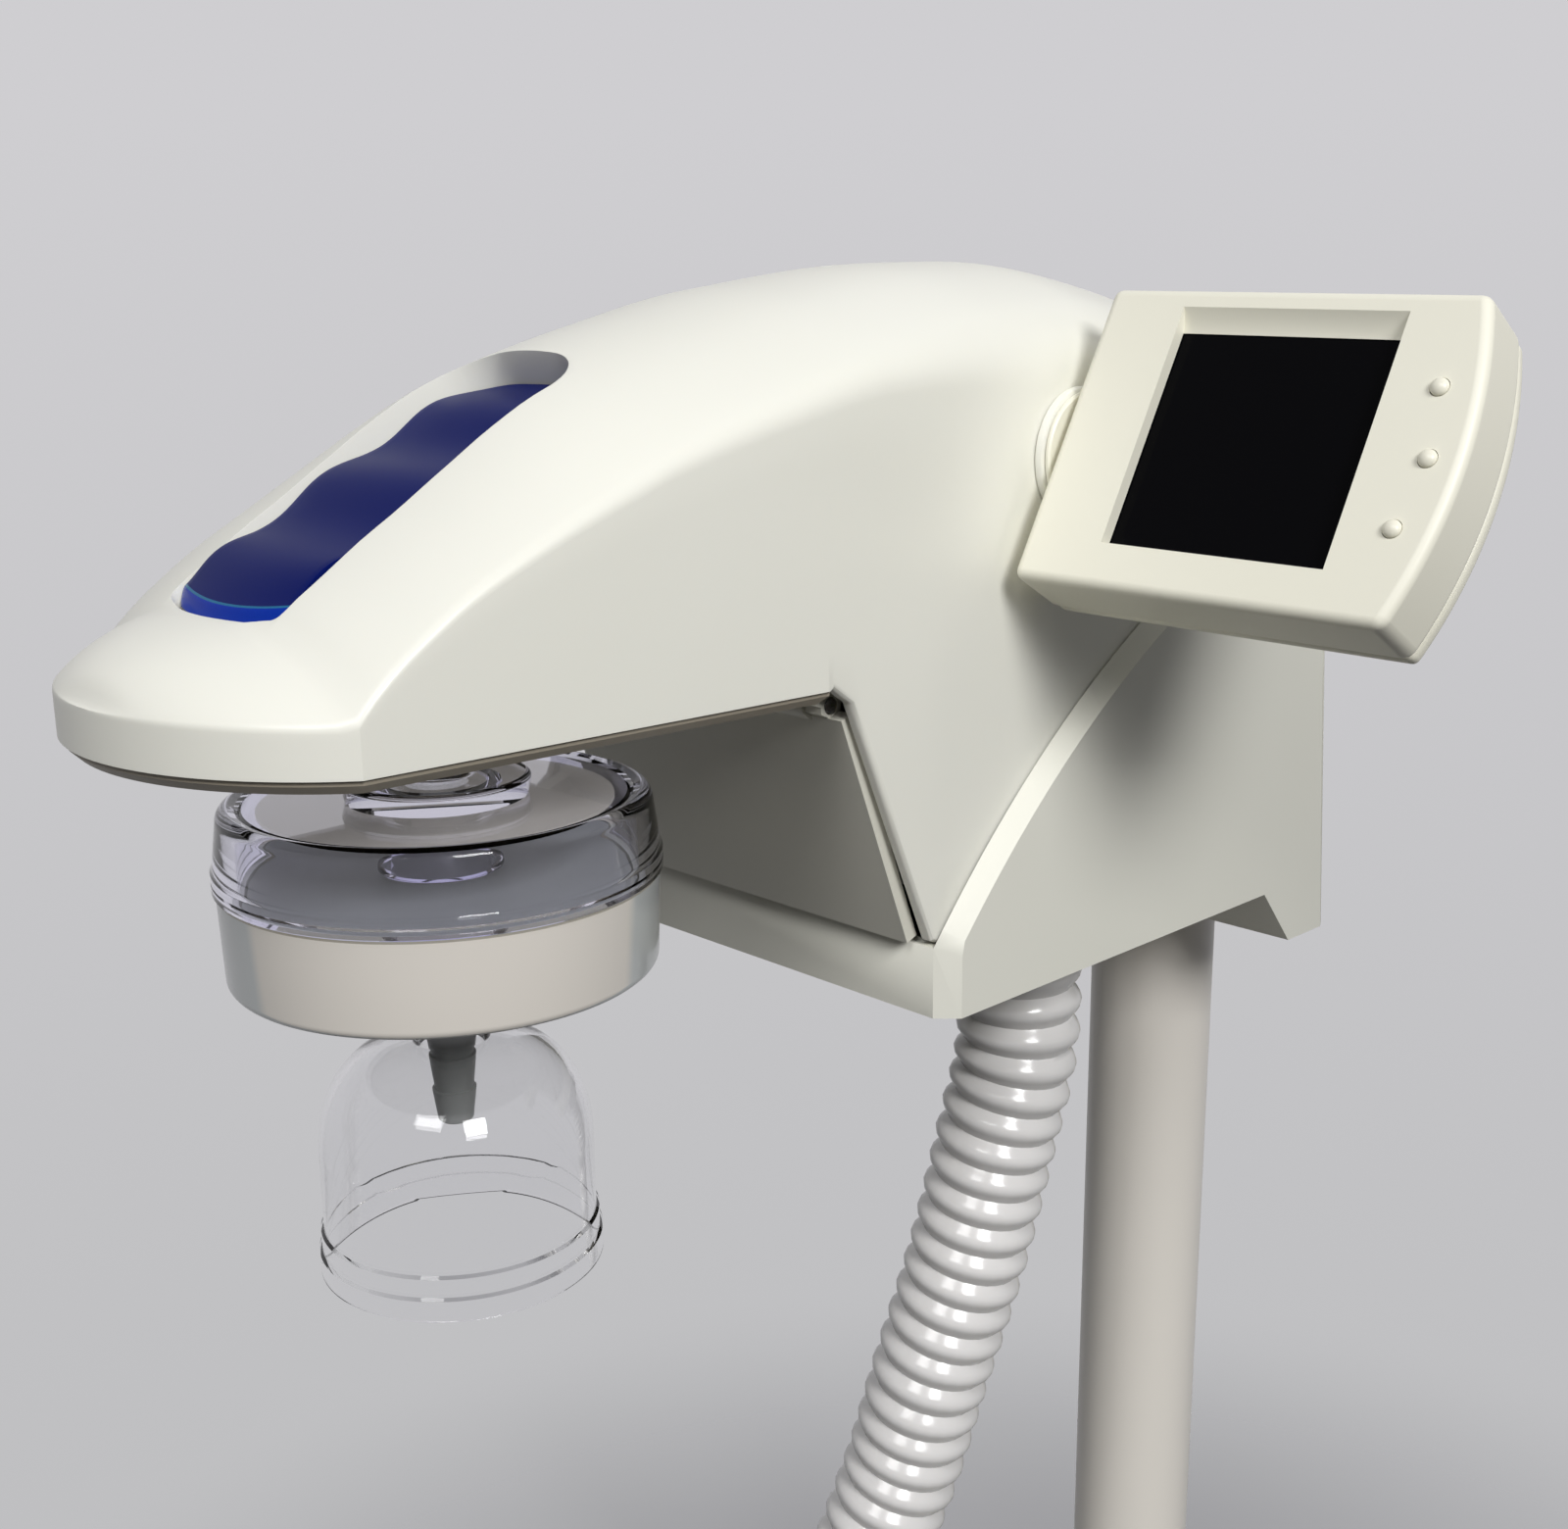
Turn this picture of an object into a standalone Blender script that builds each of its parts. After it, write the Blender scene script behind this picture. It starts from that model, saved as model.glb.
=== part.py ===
"""Point-of-use dispenser of an ultrapure water system.

A moulded head with a wavy dispense plunger, a tilting display, a final filter and a clear
splash bell stands on a pole over a round base. A ribbed hose leaves the head's underside.
Metres, +Z up. The origin is on the bench under the pole; the nose points towards -Y and the
display is on the +X side. Head pieces hang from an empty at the height of the chin's underside.
"""

import math

import bmesh
import bpy
from mathutils import Matrix, Vector

# Clearances shared by all pieces
GAP = 0.0003
OVERRUN = 0.004
WELD = 0.00001

# Stand
CHIN_HEIGHT = 0.440
BASE_RADIUS = 0.118
BASE_SHIFT = 0.038
BASE_HEIGHT = 0.019
BASE_WALL = 0.003
BASE_LIFT = 0.0015
BASE_EDGE = 0.008
MAT_THICKNESS = 0.003
PLATE_THICKNESS = 0.008
SCREW_CIRCLE = 0.070
SCREW_RADIUS = 0.002
SCREW_HEAD_RADIUS = 0.004
SCREW_HEAD_HEIGHT = 0.002
SCREW_BOSS_RADIUS = 0.0045
SCREW_BITE = 0.0035
POLE_RADIUS = 0.0152
POLE_WALL = 0.002
POLE_INSERT = 0.060
POLE_FOOT_HEIGHT = 0.034
POLE_CAP_THICKNESS = 0.003
BOLT_RADIUS = 0.004
BOLT_HEAD_RADIUS = 0.0075
BOLT_HEAD_HEIGHT = 0.003
BOLT_REACH = 0.026
COLLAR_WIDTH = 0.006
COLLAR_HEIGHT = 0.008

# Head: the hood's plan, heights and section
NOSE_REACH = 0.270
REAR_REACH = 0.020
NOSE_HALF_WIDTH = 0.0417
NOSE_SAGITTA = 0.0213
BODY_HALF_WIDTH = 0.0457
REAR_CORNER = -0.008
HOOD_SILL = 0.0654
HOOD_RISE = 0.0716
HOOD_WALL = 0.0025
HOOD_FILLET = 0.012

# Lower housing
HOUSING_HALF_WIDTH = 0.0498
HOUSING_INNER_HALF = 0.0460
CHIN_FRONT = -0.1356
CHIN_TOP = 0.0137
CHIN_WALL = 0.0032
CHIN_CHAMFER = 0.00375
STRIP_CHAMFER = 0.0026
FLOOR_THICKNESS = 0.0025
HOUSING_REAR_TOP = 0.092
HOUSING_REAR_TOP_Y = -0.0149
HOUSING_REAR_FOOT_Y = -0.0052
TAB_DROP = 0.0125
TAB_FRONT = -0.0190
NOTCH_START = -0.0300
NOTCH_RISE = 0.0008
REAR_WALL = 0.0026

# Pole sleeve
SLEEVE_WALL = 0.0016
SLEEVE_TOP = 0.056
SLEEVE_PAD_HALF = 0.007
SLEEVE_PAD_REACH = 0.0085
SLEEVE_PAD_LOW = 0.004
SLEEVE_PAD_HIGH = 0.050
GRUB_RADIUS = 0.0026
GRUB_LOW = 0.014
GRUB_HIGH = 0.040

# Nose underplate and outlet
UNDERPLATE_THICKNESS = 0.002
UNDERPLATE_INSET = 0.0008
UNDERPLATE_REAR = -0.1602
FILTER_FROM_NOSE = 0.0595
FILTER_Y = FILTER_FROM_NOSE - NOSE_REACH
PORT_RADIUS = 0.0070
PORT_FLANGE_RADIUS = 0.0100
PORT_FLANGE_HEIGHT = 0.0026
PORT_HEIGHT = 0.0088
PORT_REACH = 0.0040
SPIGOT_RADIUS = 0.0048
TUBE_RADIUS = 0.0032
VALVE_HALF_WIDTH = 0.0110
VALVE_LENGTH = 0.0290
VALVE_FROM_FILTER = 0.0145
VALVE_FRONT = FILTER_Y + VALVE_FROM_FILTER
VALVE_REAR = VALVE_FRONT + VALVE_LENGTH
VALVE_HEIGHT = 0.0220
COIL_RADIUS = 0.0085
COIL_HEIGHT = 0.0100
SWITCH_SIZE = Vector((0.0200, 0.0064, 0.0100))
SWITCH_FROM_FILTER = 0.0150
SWITCH_PLACE = Vector((0.0100, FILTER_Y - SWITCH_FROM_FILTER, 0.0))
BOARD_SIZE = Vector((0.0600, 0.0300, 0.0016))
BOARD_PLACE = Vector((-0.0060, -0.1155, 0.0))
BOARD_POST_RADIUS = 0.0030
BOARD_POST_HEIGHT = 0.0050
BOARD_RELAY = Vector((0.0150, 0.0100, 0.0120))

# Plunger and its well, in a frame that follows the slope of the hood's top
SLOT_FROM_NOSE = 0.0510
SLOT_Y = SLOT_FROM_NOSE - NOSE_REACH
SLOT_RISE = 0.1060
SLOT_SLOPE = math.radians(29.6)
SLOT_HALF_WIDTH = 0.0173
SLOT_HALF_LENGTH = 0.0380
SLOT_CORNER = 0.0035
SLOT_FRONT_SAGITTA = 0.0028
WELL_WALL = 0.0016
WELL_DEPTH = 0.0135
PLUNGER_CLEARANCE = 0.0005
PLUNGER_FRONT = -0.0368
PLUNGER_REAR = 0.0345
PLUNGER_SET = 0.0029
PLUNGER_SINK = 0.0060
PLUNGER_BODY = 0.0062
WAVE_HEIGHT = 0.0017
WAVE_COUNT = 3
HINGE_ALONG = 0.0255
HINGE_DEPTH = 0.0100
HINGE_PIN_RADIUS = 0.0015
HINGE_BARREL_RADIUS = 0.0026
PLUNGER_TRAVEL = math.radians(4.5)
STEM_ALONG = -0.0180
STEM_RADIUS = 0.0020
SPRING_FROM_SLOT = 0.0172
SPRING_Y = SLOT_Y - SPRING_FROM_SLOT
SPRING_RADIUS = 0.0050
SPRING_WIRE = 0.0006
SPRING_TURNS = 5
SPRING_HEIGHT = 0.0192

# Front door
DOOR_TOP = Vector((0.0, -0.1555, 0.0605))
DOOR_FOOT = Vector((0.0, -0.1378, 0.0142))
DOOR_HALF_WIDTH = 0.0415
DOOR_THICKNESS = 0.0028
DOOR_BARREL_RADIUS = 0.0030
DOOR_BARREL_HALF = 0.0340
DOOR_PIN_RADIUS = 0.0013
LUG_THICKNESS = 0.0040
LUG_RADIUS = 0.0036

# Display, in its own frame: X to its right, Z up its face, Y into it
DISPLAY_CENTRE = Vector((0.0870, -0.1048, 0.1050))
DISPLAY_YAW = math.radians(3.36)
DISPLAY_TILT = math.radians(-28.87)
DISPLAY_ROLL = math.radians(1.9)
TILT_AXIS_Y = -0.0965
TILT_AXIS_Z = 0.1010
DISPLAY_LEFT = 0.0371
DISPLAY_RIGHT = 0.0332
DISPLAY_BULGE = 0.0046
DISPLAY_TOP = 0.0288
DISPLAY_BOTTOM = 0.0284
DISPLAY_DEPTH = 0.0182
BEZEL_DEPTH = 0.0110
CASE_WALL = 0.0020
CASE_BEVEL = 0.0014
BACK_INSET = 0.0008
BACK_TAPER = 0.0040
WINDOW_HALF_WIDTH = 0.0210
WINDOW_HALF_HEIGHT = 0.02005
WINDOW_RECESS = 0.0022
COVE_RISE = 0.0050
GLASS_THICKNESS = 0.0012
GLASS_LIP = 0.0012
SCREEN_THICKNESS = 0.0030
DISPLAY_BOARD_THICKNESS = 0.0014
BUTTON_ACROSS = 0.0300
BUTTON_BOW = 0.0019
BUTTON_PITCH = 0.0121
BUTTON_RADIUS = 0.0019
BUTTON_PROUD = 0.0012
BUTTON_FLANGE = 0.0027
BUTTON_TRAVEL = 0.0008
BUTTON_STEM = 0.0034

# Display pivot on the hood's side
BOSS_RADIUS = 0.0153
BOSS_HEIGHT = 0.0014
HUB_RADIUS = 0.0134
SHAFT_RADIUS = 0.0062
SHAFT_INNER = 0.0350
WASHER_RADIUS = 0.0100
WASHER_THICKNESS = 0.0015
NUT_THICKNESS = 0.0050
CASE_SIDE_GAP = 0.0004

# Final filter and bell
LID_RADIUS = 0.0380
LID_TOP_RADIUS = 0.0366
LID_RIM_RADIUS = 0.0333
LID_TOP = 0.0494
LID_SEAM = 0.0352
LID_BAND = 0.0034
LID_WALL = 0.0022
LID_DECK = 0.0488
LID_DECK_WALL = 0.0012
LID_HUB_RADIUS = 0.0160
LID_HUB_TOP = 0.0525
PORT_RING_RADIUS = 0.0108
PORT_RING_LOW = 0.0356
LABEL_RADIUS = 0.0300
LABEL_THICKNESS = 0.0006
CUP_RADIUS = 0.0374
CUP_FOOT_RADIUS = 0.0369
CUP_BOTTOM = 0.0187
CUP_EDGE = 0.0016
STACK_RADIUS = 0.0330
BARB_TIP = -0.0104
BARB_TIP_RADIUS = 0.0031
BARB_ROOT_RADIUS = 0.0046
BARB_STEP = 0.0006
BARB_COUNT = 4
BARB_BORE = 0.0018
VENT_RADIUS = 0.0035
VENT_HEIGHT = 0.0030
VENT_ACROSS = 0.0200
BELL_RADIUS = 0.0242
BELL_WALL = 0.0011
BELL_BOTTOM = -0.0365
BELL_TOP = 0.0050
BELL_SHOULDER = 0.0195
BELL_STEP = 0.0005
BELL_STEP_HEIGHTS = (0.0078, 0.0040)
BELL_NECK_RADIUS = 0.0068
BELL_NECK_TOP = 0.0100

# Hose
HOSE_RADIUS = 0.0135
HOSE_VALLEY = 0.0116
HOSE_BORE = 0.0096
HOSE_PITCH = 0.00675
HOSE_LENGTH = 1.100
HOSE_EXIT = Vector((0.0210, -0.0800, 0.0))
HOSE_LOOP_RADIUS = 0.150
HOSE_LOOP_Y = -0.038
HOSE_LOOP_Z = 0.0140
HOSE_LOOP_START = math.radians(130)
HOSE_LOOP_STEP = math.radians(12)
HOSE_ROUTE = [
    (0.0210, -0.0800, 0.4397),
    (0.0210, -0.0800, 0.4127),
    (0.0180, -0.0830, 0.3895),
    (0.0137, -0.0873, 0.3606),
    (0.0080, -0.0930, 0.3308),
    (0.0021, -0.0989, 0.2998),
    (-0.0073, -0.1136, 0.2572),
    (-0.0239, -0.1351, 0.2199),
    (-0.0498, -0.1502, 0.1848),
    (-0.0800, -0.1524, 0.1502),
    (-0.1095, -0.1407, 0.1167),
    (-0.1337, -0.1166, 0.0859),
    (-0.1495, -0.0823, 0.0595),
    (-0.1542, -0.0414, 0.0388),
    (-0.1468, 0.0017, 0.0244),
    (-0.1271, 0.0426, 0.0164),
]
GLAND_FLANGE = 0.0035
GLAND_FLANGE_HEIGHT = 0.0022
GLAND_HEIGHT = 0.0120
CUFF_RADIUS = 0.0150
CUFF_LENGTH = 0.036
CUFF_LIP = 0.0015
CUFF_STUB_RADIUS = 0.0060
CUFF_STUB_LENGTH = 0.010
SUPPLY_RISE = 0.0450

# Outlines of the hood, as shares of its length and heights
# Along the length from the nose tip; height of the top edge over the sill, share of the rise
EDGE_SHARES = [
    (0.0, 0.106), (0.072, 0.106), (0.080, 0.119), (0.093, 0.155), (0.114, 0.215), (0.138, 0.286),
    (0.187, 0.405), (0.2655, 0.559),
    (0.352, 0.668), (0.431, 0.749), (0.554, 0.800), (0.629, 0.803), (0.724, 0.751),
    (0.828, 0.609), (0.903, 0.462), (0.959, 0.358), (1.0, 0.260),
]
# Height of the crown over the edge, share of the rise
CROWN_SHARES = [
    (0.0, 0.0), (0.010, 0.060), (0.0276, 0.120), (0.074, 0.174), (0.107, 0.183), (0.172, 0.190),
    (0.227, 0.206), (0.310, 0.200), (0.448, 0.184), (0.586, 0.196), (0.724, 0.203), (0.828, 0.203),
    (0.903, 0.175), (0.959, 0.115), (0.985, 0.060), (1.0, 0.0),
]
# Height of the side wall's lower edge over the chin's underside, share of the sill
LOWER_SHARES = [
    (0.0, 1.0), (0.3800, 1.0), (0.3880, 0.988), (0.3945, 0.955), (0.4635, 0.228),
    (0.4700, 0.216), (0.724, 0.800), (0.903, 1.014), (1.0, 1.014),
]
# The edge fillet, share of HOOD_FILLET
FILLET_SHARES = [(0.0, 0.06), (0.074, 0.10), (0.24, 0.20), (0.42, 0.42), (0.60, 0.85), (0.72, 1.0), (1.0, 1.0)]
# Stations along the straight sides
STATION_SHARES = [
    0.110, 0.145, 0.187, 0.235, 0.290, 0.340, 0.3800, 0.3880, 0.3945, 0.431,
    0.4635, 0.4700, 0.520, 0.575, 0.630, 0.685, 0.735, 0.785, 0.828, 0.866,
]
NOSE_STEPS = 6
REAR_STEPS = 5
CROWN_COLUMNS = 5
FILLET_COLUMNS = 3
# The strip's curve: where its control point lies between the chin and the rear top
STRIP_ALONG_SHARE = 0.395
STRIP_RISE_SHARE = 0.750
STRIP_STEPS = 14
ROUND_STEPS = 24
SMALL_STEPS = 16


# Scene helpers

def empty_scene():
    """Remove every object that is in the file."""
    for item in list(bpy.data.objects):
        bpy.data.objects.remove(item, do_unlink=True)


def new_collection(name):
    """Make a collection in the scene."""
    made = bpy.data.collections.new(name)
    bpy.context.scene.collection.children.link(made)
    return made


def make_material(name, colour, roughness, metallic=0.0, alpha=1.0):
    """A plain Principled material."""
    made = bpy.data.materials.new(name)
    made.use_nodes = True
    shader = made.node_tree.nodes["Principled BSDF"]
    shader.inputs["Base Color"].default_value = (*colour, 1.0)
    shader.inputs["Roughness"].default_value = roughness
    shader.inputs["Metallic"].default_value = metallic
    shader.inputs["Alpha"].default_value = alpha
    made.diffuse_color = (*colour, alpha)
    return made


def make_empty(name, place, parent=None, turn=None):
    """An empty that carries pieces; place is in its parent's frame."""
    made = bpy.data.objects.new(name, None)
    GUIDES.objects.link(made)
    made.parent = parent
    made.matrix_local = Matrix.Translation(place) @ (turn.to_4x4() if turn else Matrix.Identity(4))
    return made


def add_piece(name, mesh, material, parent, place=(0, 0, 0), turn=None):
    """Put a mesh in the model as a named piece."""
    piece = bpy.data.objects.new(name, mesh)
    PARTS.objects.link(piece)
    piece.parent = parent
    piece.matrix_local = Matrix.Translation(place) @ (turn.to_4x4() if turn else Matrix.Identity(4))
    if material:
        piece.data.materials.append(material)
    return piece


def as_cutter(piece):
    """Keep a shape out of the model: it only cuts or joins others."""
    for owner in list(piece.users_collection):
        owner.objects.unlink(piece)
    CUTTERS.objects.link(piece)
    piece.hide_render = True
    piece.display_type = "WIRE"
    return piece


def combine(target, tool, operation="DIFFERENCE"):
    """A Boolean modifier with an exact solver."""
    step = target.modifiers.new(operation.lower(), "BOOLEAN")
    step.operation = operation
    step.solver = "EXACT"
    step.object = as_cutter(tool)
    return target


def bevel(piece, width, segments=2, angle=math.radians(50)):
    """Round the sharp edges of a piece."""
    step = piece.modifiers.new("edges", "BEVEL")
    step.width = width
    step.segments = segments
    step.limit_method = "ANGLE"
    step.angle_limit = angle
    return piece


def smooth(piece, angle=math.radians(40)):
    """Shade a piece smooth, with its sharp edges kept."""
    piece.data.shade_smooth()
    piece.data.set_sharp_from_angle(angle=angle)
    return piece


# Mesh helpers

def mesh_from(bm, name):
    """Write a bmesh to a mesh with its faces pointing outwards."""
    bmesh.ops.remove_doubles(bm, verts=bm.verts, dist=WELD)
    bmesh.ops.recalc_face_normals(bm, faces=bm.faces)
    mesh = bpy.data.meshes.new(name)
    bm.to_mesh(mesh)
    bm.free()
    return mesh


def box(name, low, high, material, parent, turn=None, place=(0, 0, 0)):
    """A block between two corners."""
    low, high = Vector(low), Vector(high)
    bm = bmesh.new()
    bmesh.ops.create_cube(bm, size=1.0)
    size, middle = high - low, (high + low) / 2
    bmesh.ops.scale(bm, vec=size, verts=bm.verts)
    bmesh.ops.translate(bm, vec=middle, verts=bm.verts)
    return add_piece(name, mesh_from(bm, name), material, parent, place, turn)


ALONG_X = Matrix.Rotation(math.radians(90), 3, "Y")
ALONG_Y = Matrix.Rotation(math.radians(-90), 3, "X")
# Local X, Y, Z of a side profile are the world's Y, Z, X
SIDE_PROFILE = Matrix(((0, 0, 1), (1, 0, 0), (0, 1, 0)))


def rod(name, radius, start, length, material, parent, turn=None, steps=SMALL_STEPS):
    """A solid cylinder from a point along +Z, or along the turned axis."""
    bm = bmesh.new()
    bmesh.ops.create_cone(
        bm, cap_ends=True, segments=steps, radius1=radius, radius2=radius, depth=length
    )
    bmesh.ops.translate(bm, vec=(0, 0, length / 2), verts=bm.verts)
    return smooth(add_piece(name, mesh_from(bm, name), material, parent, start, turn))


def turned(name, profile, material, parent, place=(0, 0, 0), turn=None, steps=ROUND_STEPS):
    """A turned shape: (radius, height) points run down the outer side, then up the inner."""
    closed = all(radius > 0 for radius, _ in profile)
    mesh = bpy.data.meshes.new(name)
    count = len(profile)
    edges = [(i, i + 1) for i in range(count - 1)] + ([(count - 1, 0)] if closed else [])
    mesh.from_pydata([(radius, 0, height) for radius, height in profile], edges, [])
    piece = add_piece(name, mesh, material, parent, place, turn)
    step = piece.modifiers.new("turn", "SCREW")
    step.steps = steps
    step.render_steps = steps
    step.use_merge_vertices = True
    step.merge_threshold = WELD
    step.use_smooth_shade = True
    return piece


def curve_mesh(name, curve):
    """Turn a curve into a mesh whose caps are welded, and remove the curve."""
    holder = bpy.data.objects.new(name + "_curve", curve)
    bpy.context.scene.collection.objects.link(holder)
    bpy.context.view_layer.update()
    seen = holder.evaluated_get(bpy.context.evaluated_depsgraph_get())
    mesh = bpy.data.meshes.new_from_object(seen)
    bm = bmesh.new()
    bm.from_mesh(mesh)
    bpy.data.objects.remove(holder, do_unlink=True)
    bpy.data.meshes.remove(mesh)
    return mesh_from(bm, name)


def plate(name, outline, low, high, material, parent, turn=None, place=(0, 0, 0)):
    """A flat outline with a thickness from low to high, as a filled 2D curve."""
    curve = bpy.data.curves.new(name, "CURVE")
    curve.dimensions = "2D"
    curve.fill_mode = "BOTH"
    curve.extrude = (high - low) / 2
    line = curve.splines.new("POLY")
    line.points.add(len(outline) - 1)
    for point, (across, along) in zip(line.points, outline):
        point.co = (across, along, 0, 1)
    line.use_cyclic_u = True
    mesh = curve_mesh(name, curve)
    mesh.transform(Matrix.Translation((0, 0, (low + high) / 2)))
    return add_piece(name, mesh, material, parent, place, turn)


def tube(name, points, radius, material, parent, sides_step=2, radii=None):
    """A round tube along points, with filled caps; radii are factors of the radius."""
    curve = bpy.data.curves.new(name, "CURVE")
    curve.dimensions = "3D"
    curve.bevel_depth = radius
    curve.bevel_resolution = sides_step
    curve.use_fill_caps = True
    line = curve.splines.new("POLY")
    line.points.add(len(points) - 1)
    for index, point in enumerate(points):
        line.points[index].co = (*point, 1)
        if radii:
            line.points[index].radius = radii[index]
    return smooth(add_piece(name, curve_mesh(name, curve), material, parent))


def loft(name, rows, material, parent, caps=False, ring=False, place=(0, 0, 0), turn=None):
    """Faces between rows of points that have one length; ring closes each row on itself."""
    bm = bmesh.new()
    made = [[bm.verts.new(point) for point in row] for row in rows]
    width = len(rows[0])
    for lower, upper in zip(made, made[1:]):
        for i in range(width if ring else width - 1):
            bm.faces.new((lower[i], lower[(i + 1) % width], upper[(i + 1) % width], upper[i]))
    if caps:
        bm.faces.new(made[0])
        bm.faces.new(list(reversed(made[-1])))
    return smooth(add_piece(name, mesh_from(bm, name), material, parent, place, turn))


# Curves in numbers

def smooth_value(table, at):
    """A value between the points of a table, on a smooth monotone-looking curve."""
    places = [place for place, _ in table]
    values = [value for _, value in table]
    if at <= places[0]:
        return values[0]
    if at >= places[-1]:
        return values[-1]
    i = max(k for k, place in enumerate(places) if place <= at)

    def slope(k):
        if k in (0, len(table) - 1):
            return 0.0
        before = (values[k] - values[k - 1]) / (places[k] - places[k - 1])
        after = (values[k + 1] - values[k]) / (places[k + 1] - places[k])
        return 0.0 if before * after <= 0 else 2 * before * after / (before + after)

    step = places[i + 1] - places[i]
    t = (at - places[i]) / step
    start, end = slope(i) * step, slope(i + 1) * step
    return (
        (2 * t**3 - 3 * t**2 + 1) * values[i] + (t**3 - 2 * t**2 + t) * start
        + (3 * t**2 - 2 * t**3) * values[i + 1] + (t**3 - t**2) * end
    )


def straight_value(table, at):
    """A value between the points of a table, on straight lines."""
    for (a, low), (b, high) in zip(table, table[1:]):
        if at <= b:
            return low + (high - low) * max(0.0, at - a) / (b - a)
    return table[-1][1]


def arc(centre, radius, start, end, steps):
    """Points of an arc in a plane, both ends included."""
    return [
        (
            centre[0] + radius * math.cos(start + (end - start) * i / steps),
            centre[1] + radius * math.sin(start + (end - start) * i / steps),
        )
        for i in range(steps + 1)
    ]


def sagitta_radius(half_width, sagitta):
    """The radius of an arc from its half chord and its height."""
    return (half_width**2 + sagitta**2) / (2 * sagitta)


# Materials

def make_materials():
    """The finishes of the object."""
    return {
        "shell": make_material("shell_plastic", (0.86, 0.85, 0.79), 0.42),
        "housing": make_material("housing_plastic", (0.84, 0.84, 0.79), 0.42),
        "trim": make_material("underplate_plastic", (0.50, 0.46, 0.40), 0.55),
        "door": make_material("door_plastic", (0.72, 0.71, 0.64), 0.45),
        "case": make_material("display_plastic", (0.86, 0.85, 0.76), 0.45),
        "pole": make_material("painted_pole", (0.87, 0.86, 0.81), 0.35),
        "blue": make_material("blue_plastic", (0.01, 0.03, 0.25), 0.2),
        "clear": make_material("clear_plastic", (0.82, 0.82, 0.92), 0.05, alpha=0.35),
        "white": make_material("filter_white", (0.88, 0.88, 0.87), 0.4),
        "paper": make_material("label_film", (0.90, 0.90, 0.90), 0.6),
        "grey": make_material("barb_grey", (0.28, 0.29, 0.29), 0.5),
        "hose": make_material("hose_grey", (0.72, 0.72, 0.72), 0.3),
        "rubber": make_material("foot_rubber", (0.05, 0.05, 0.05), 0.8),
        "steel": make_material("bright_steel", (0.60, 0.60, 0.62), 0.3, 1.0),
        "black": make_material("black_glass", (0.01, 0.01, 0.012), 0.05),
        "board": make_material("circuit_board", (0.02, 0.20, 0.08), 0.5),
    }


# Stand

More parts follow.
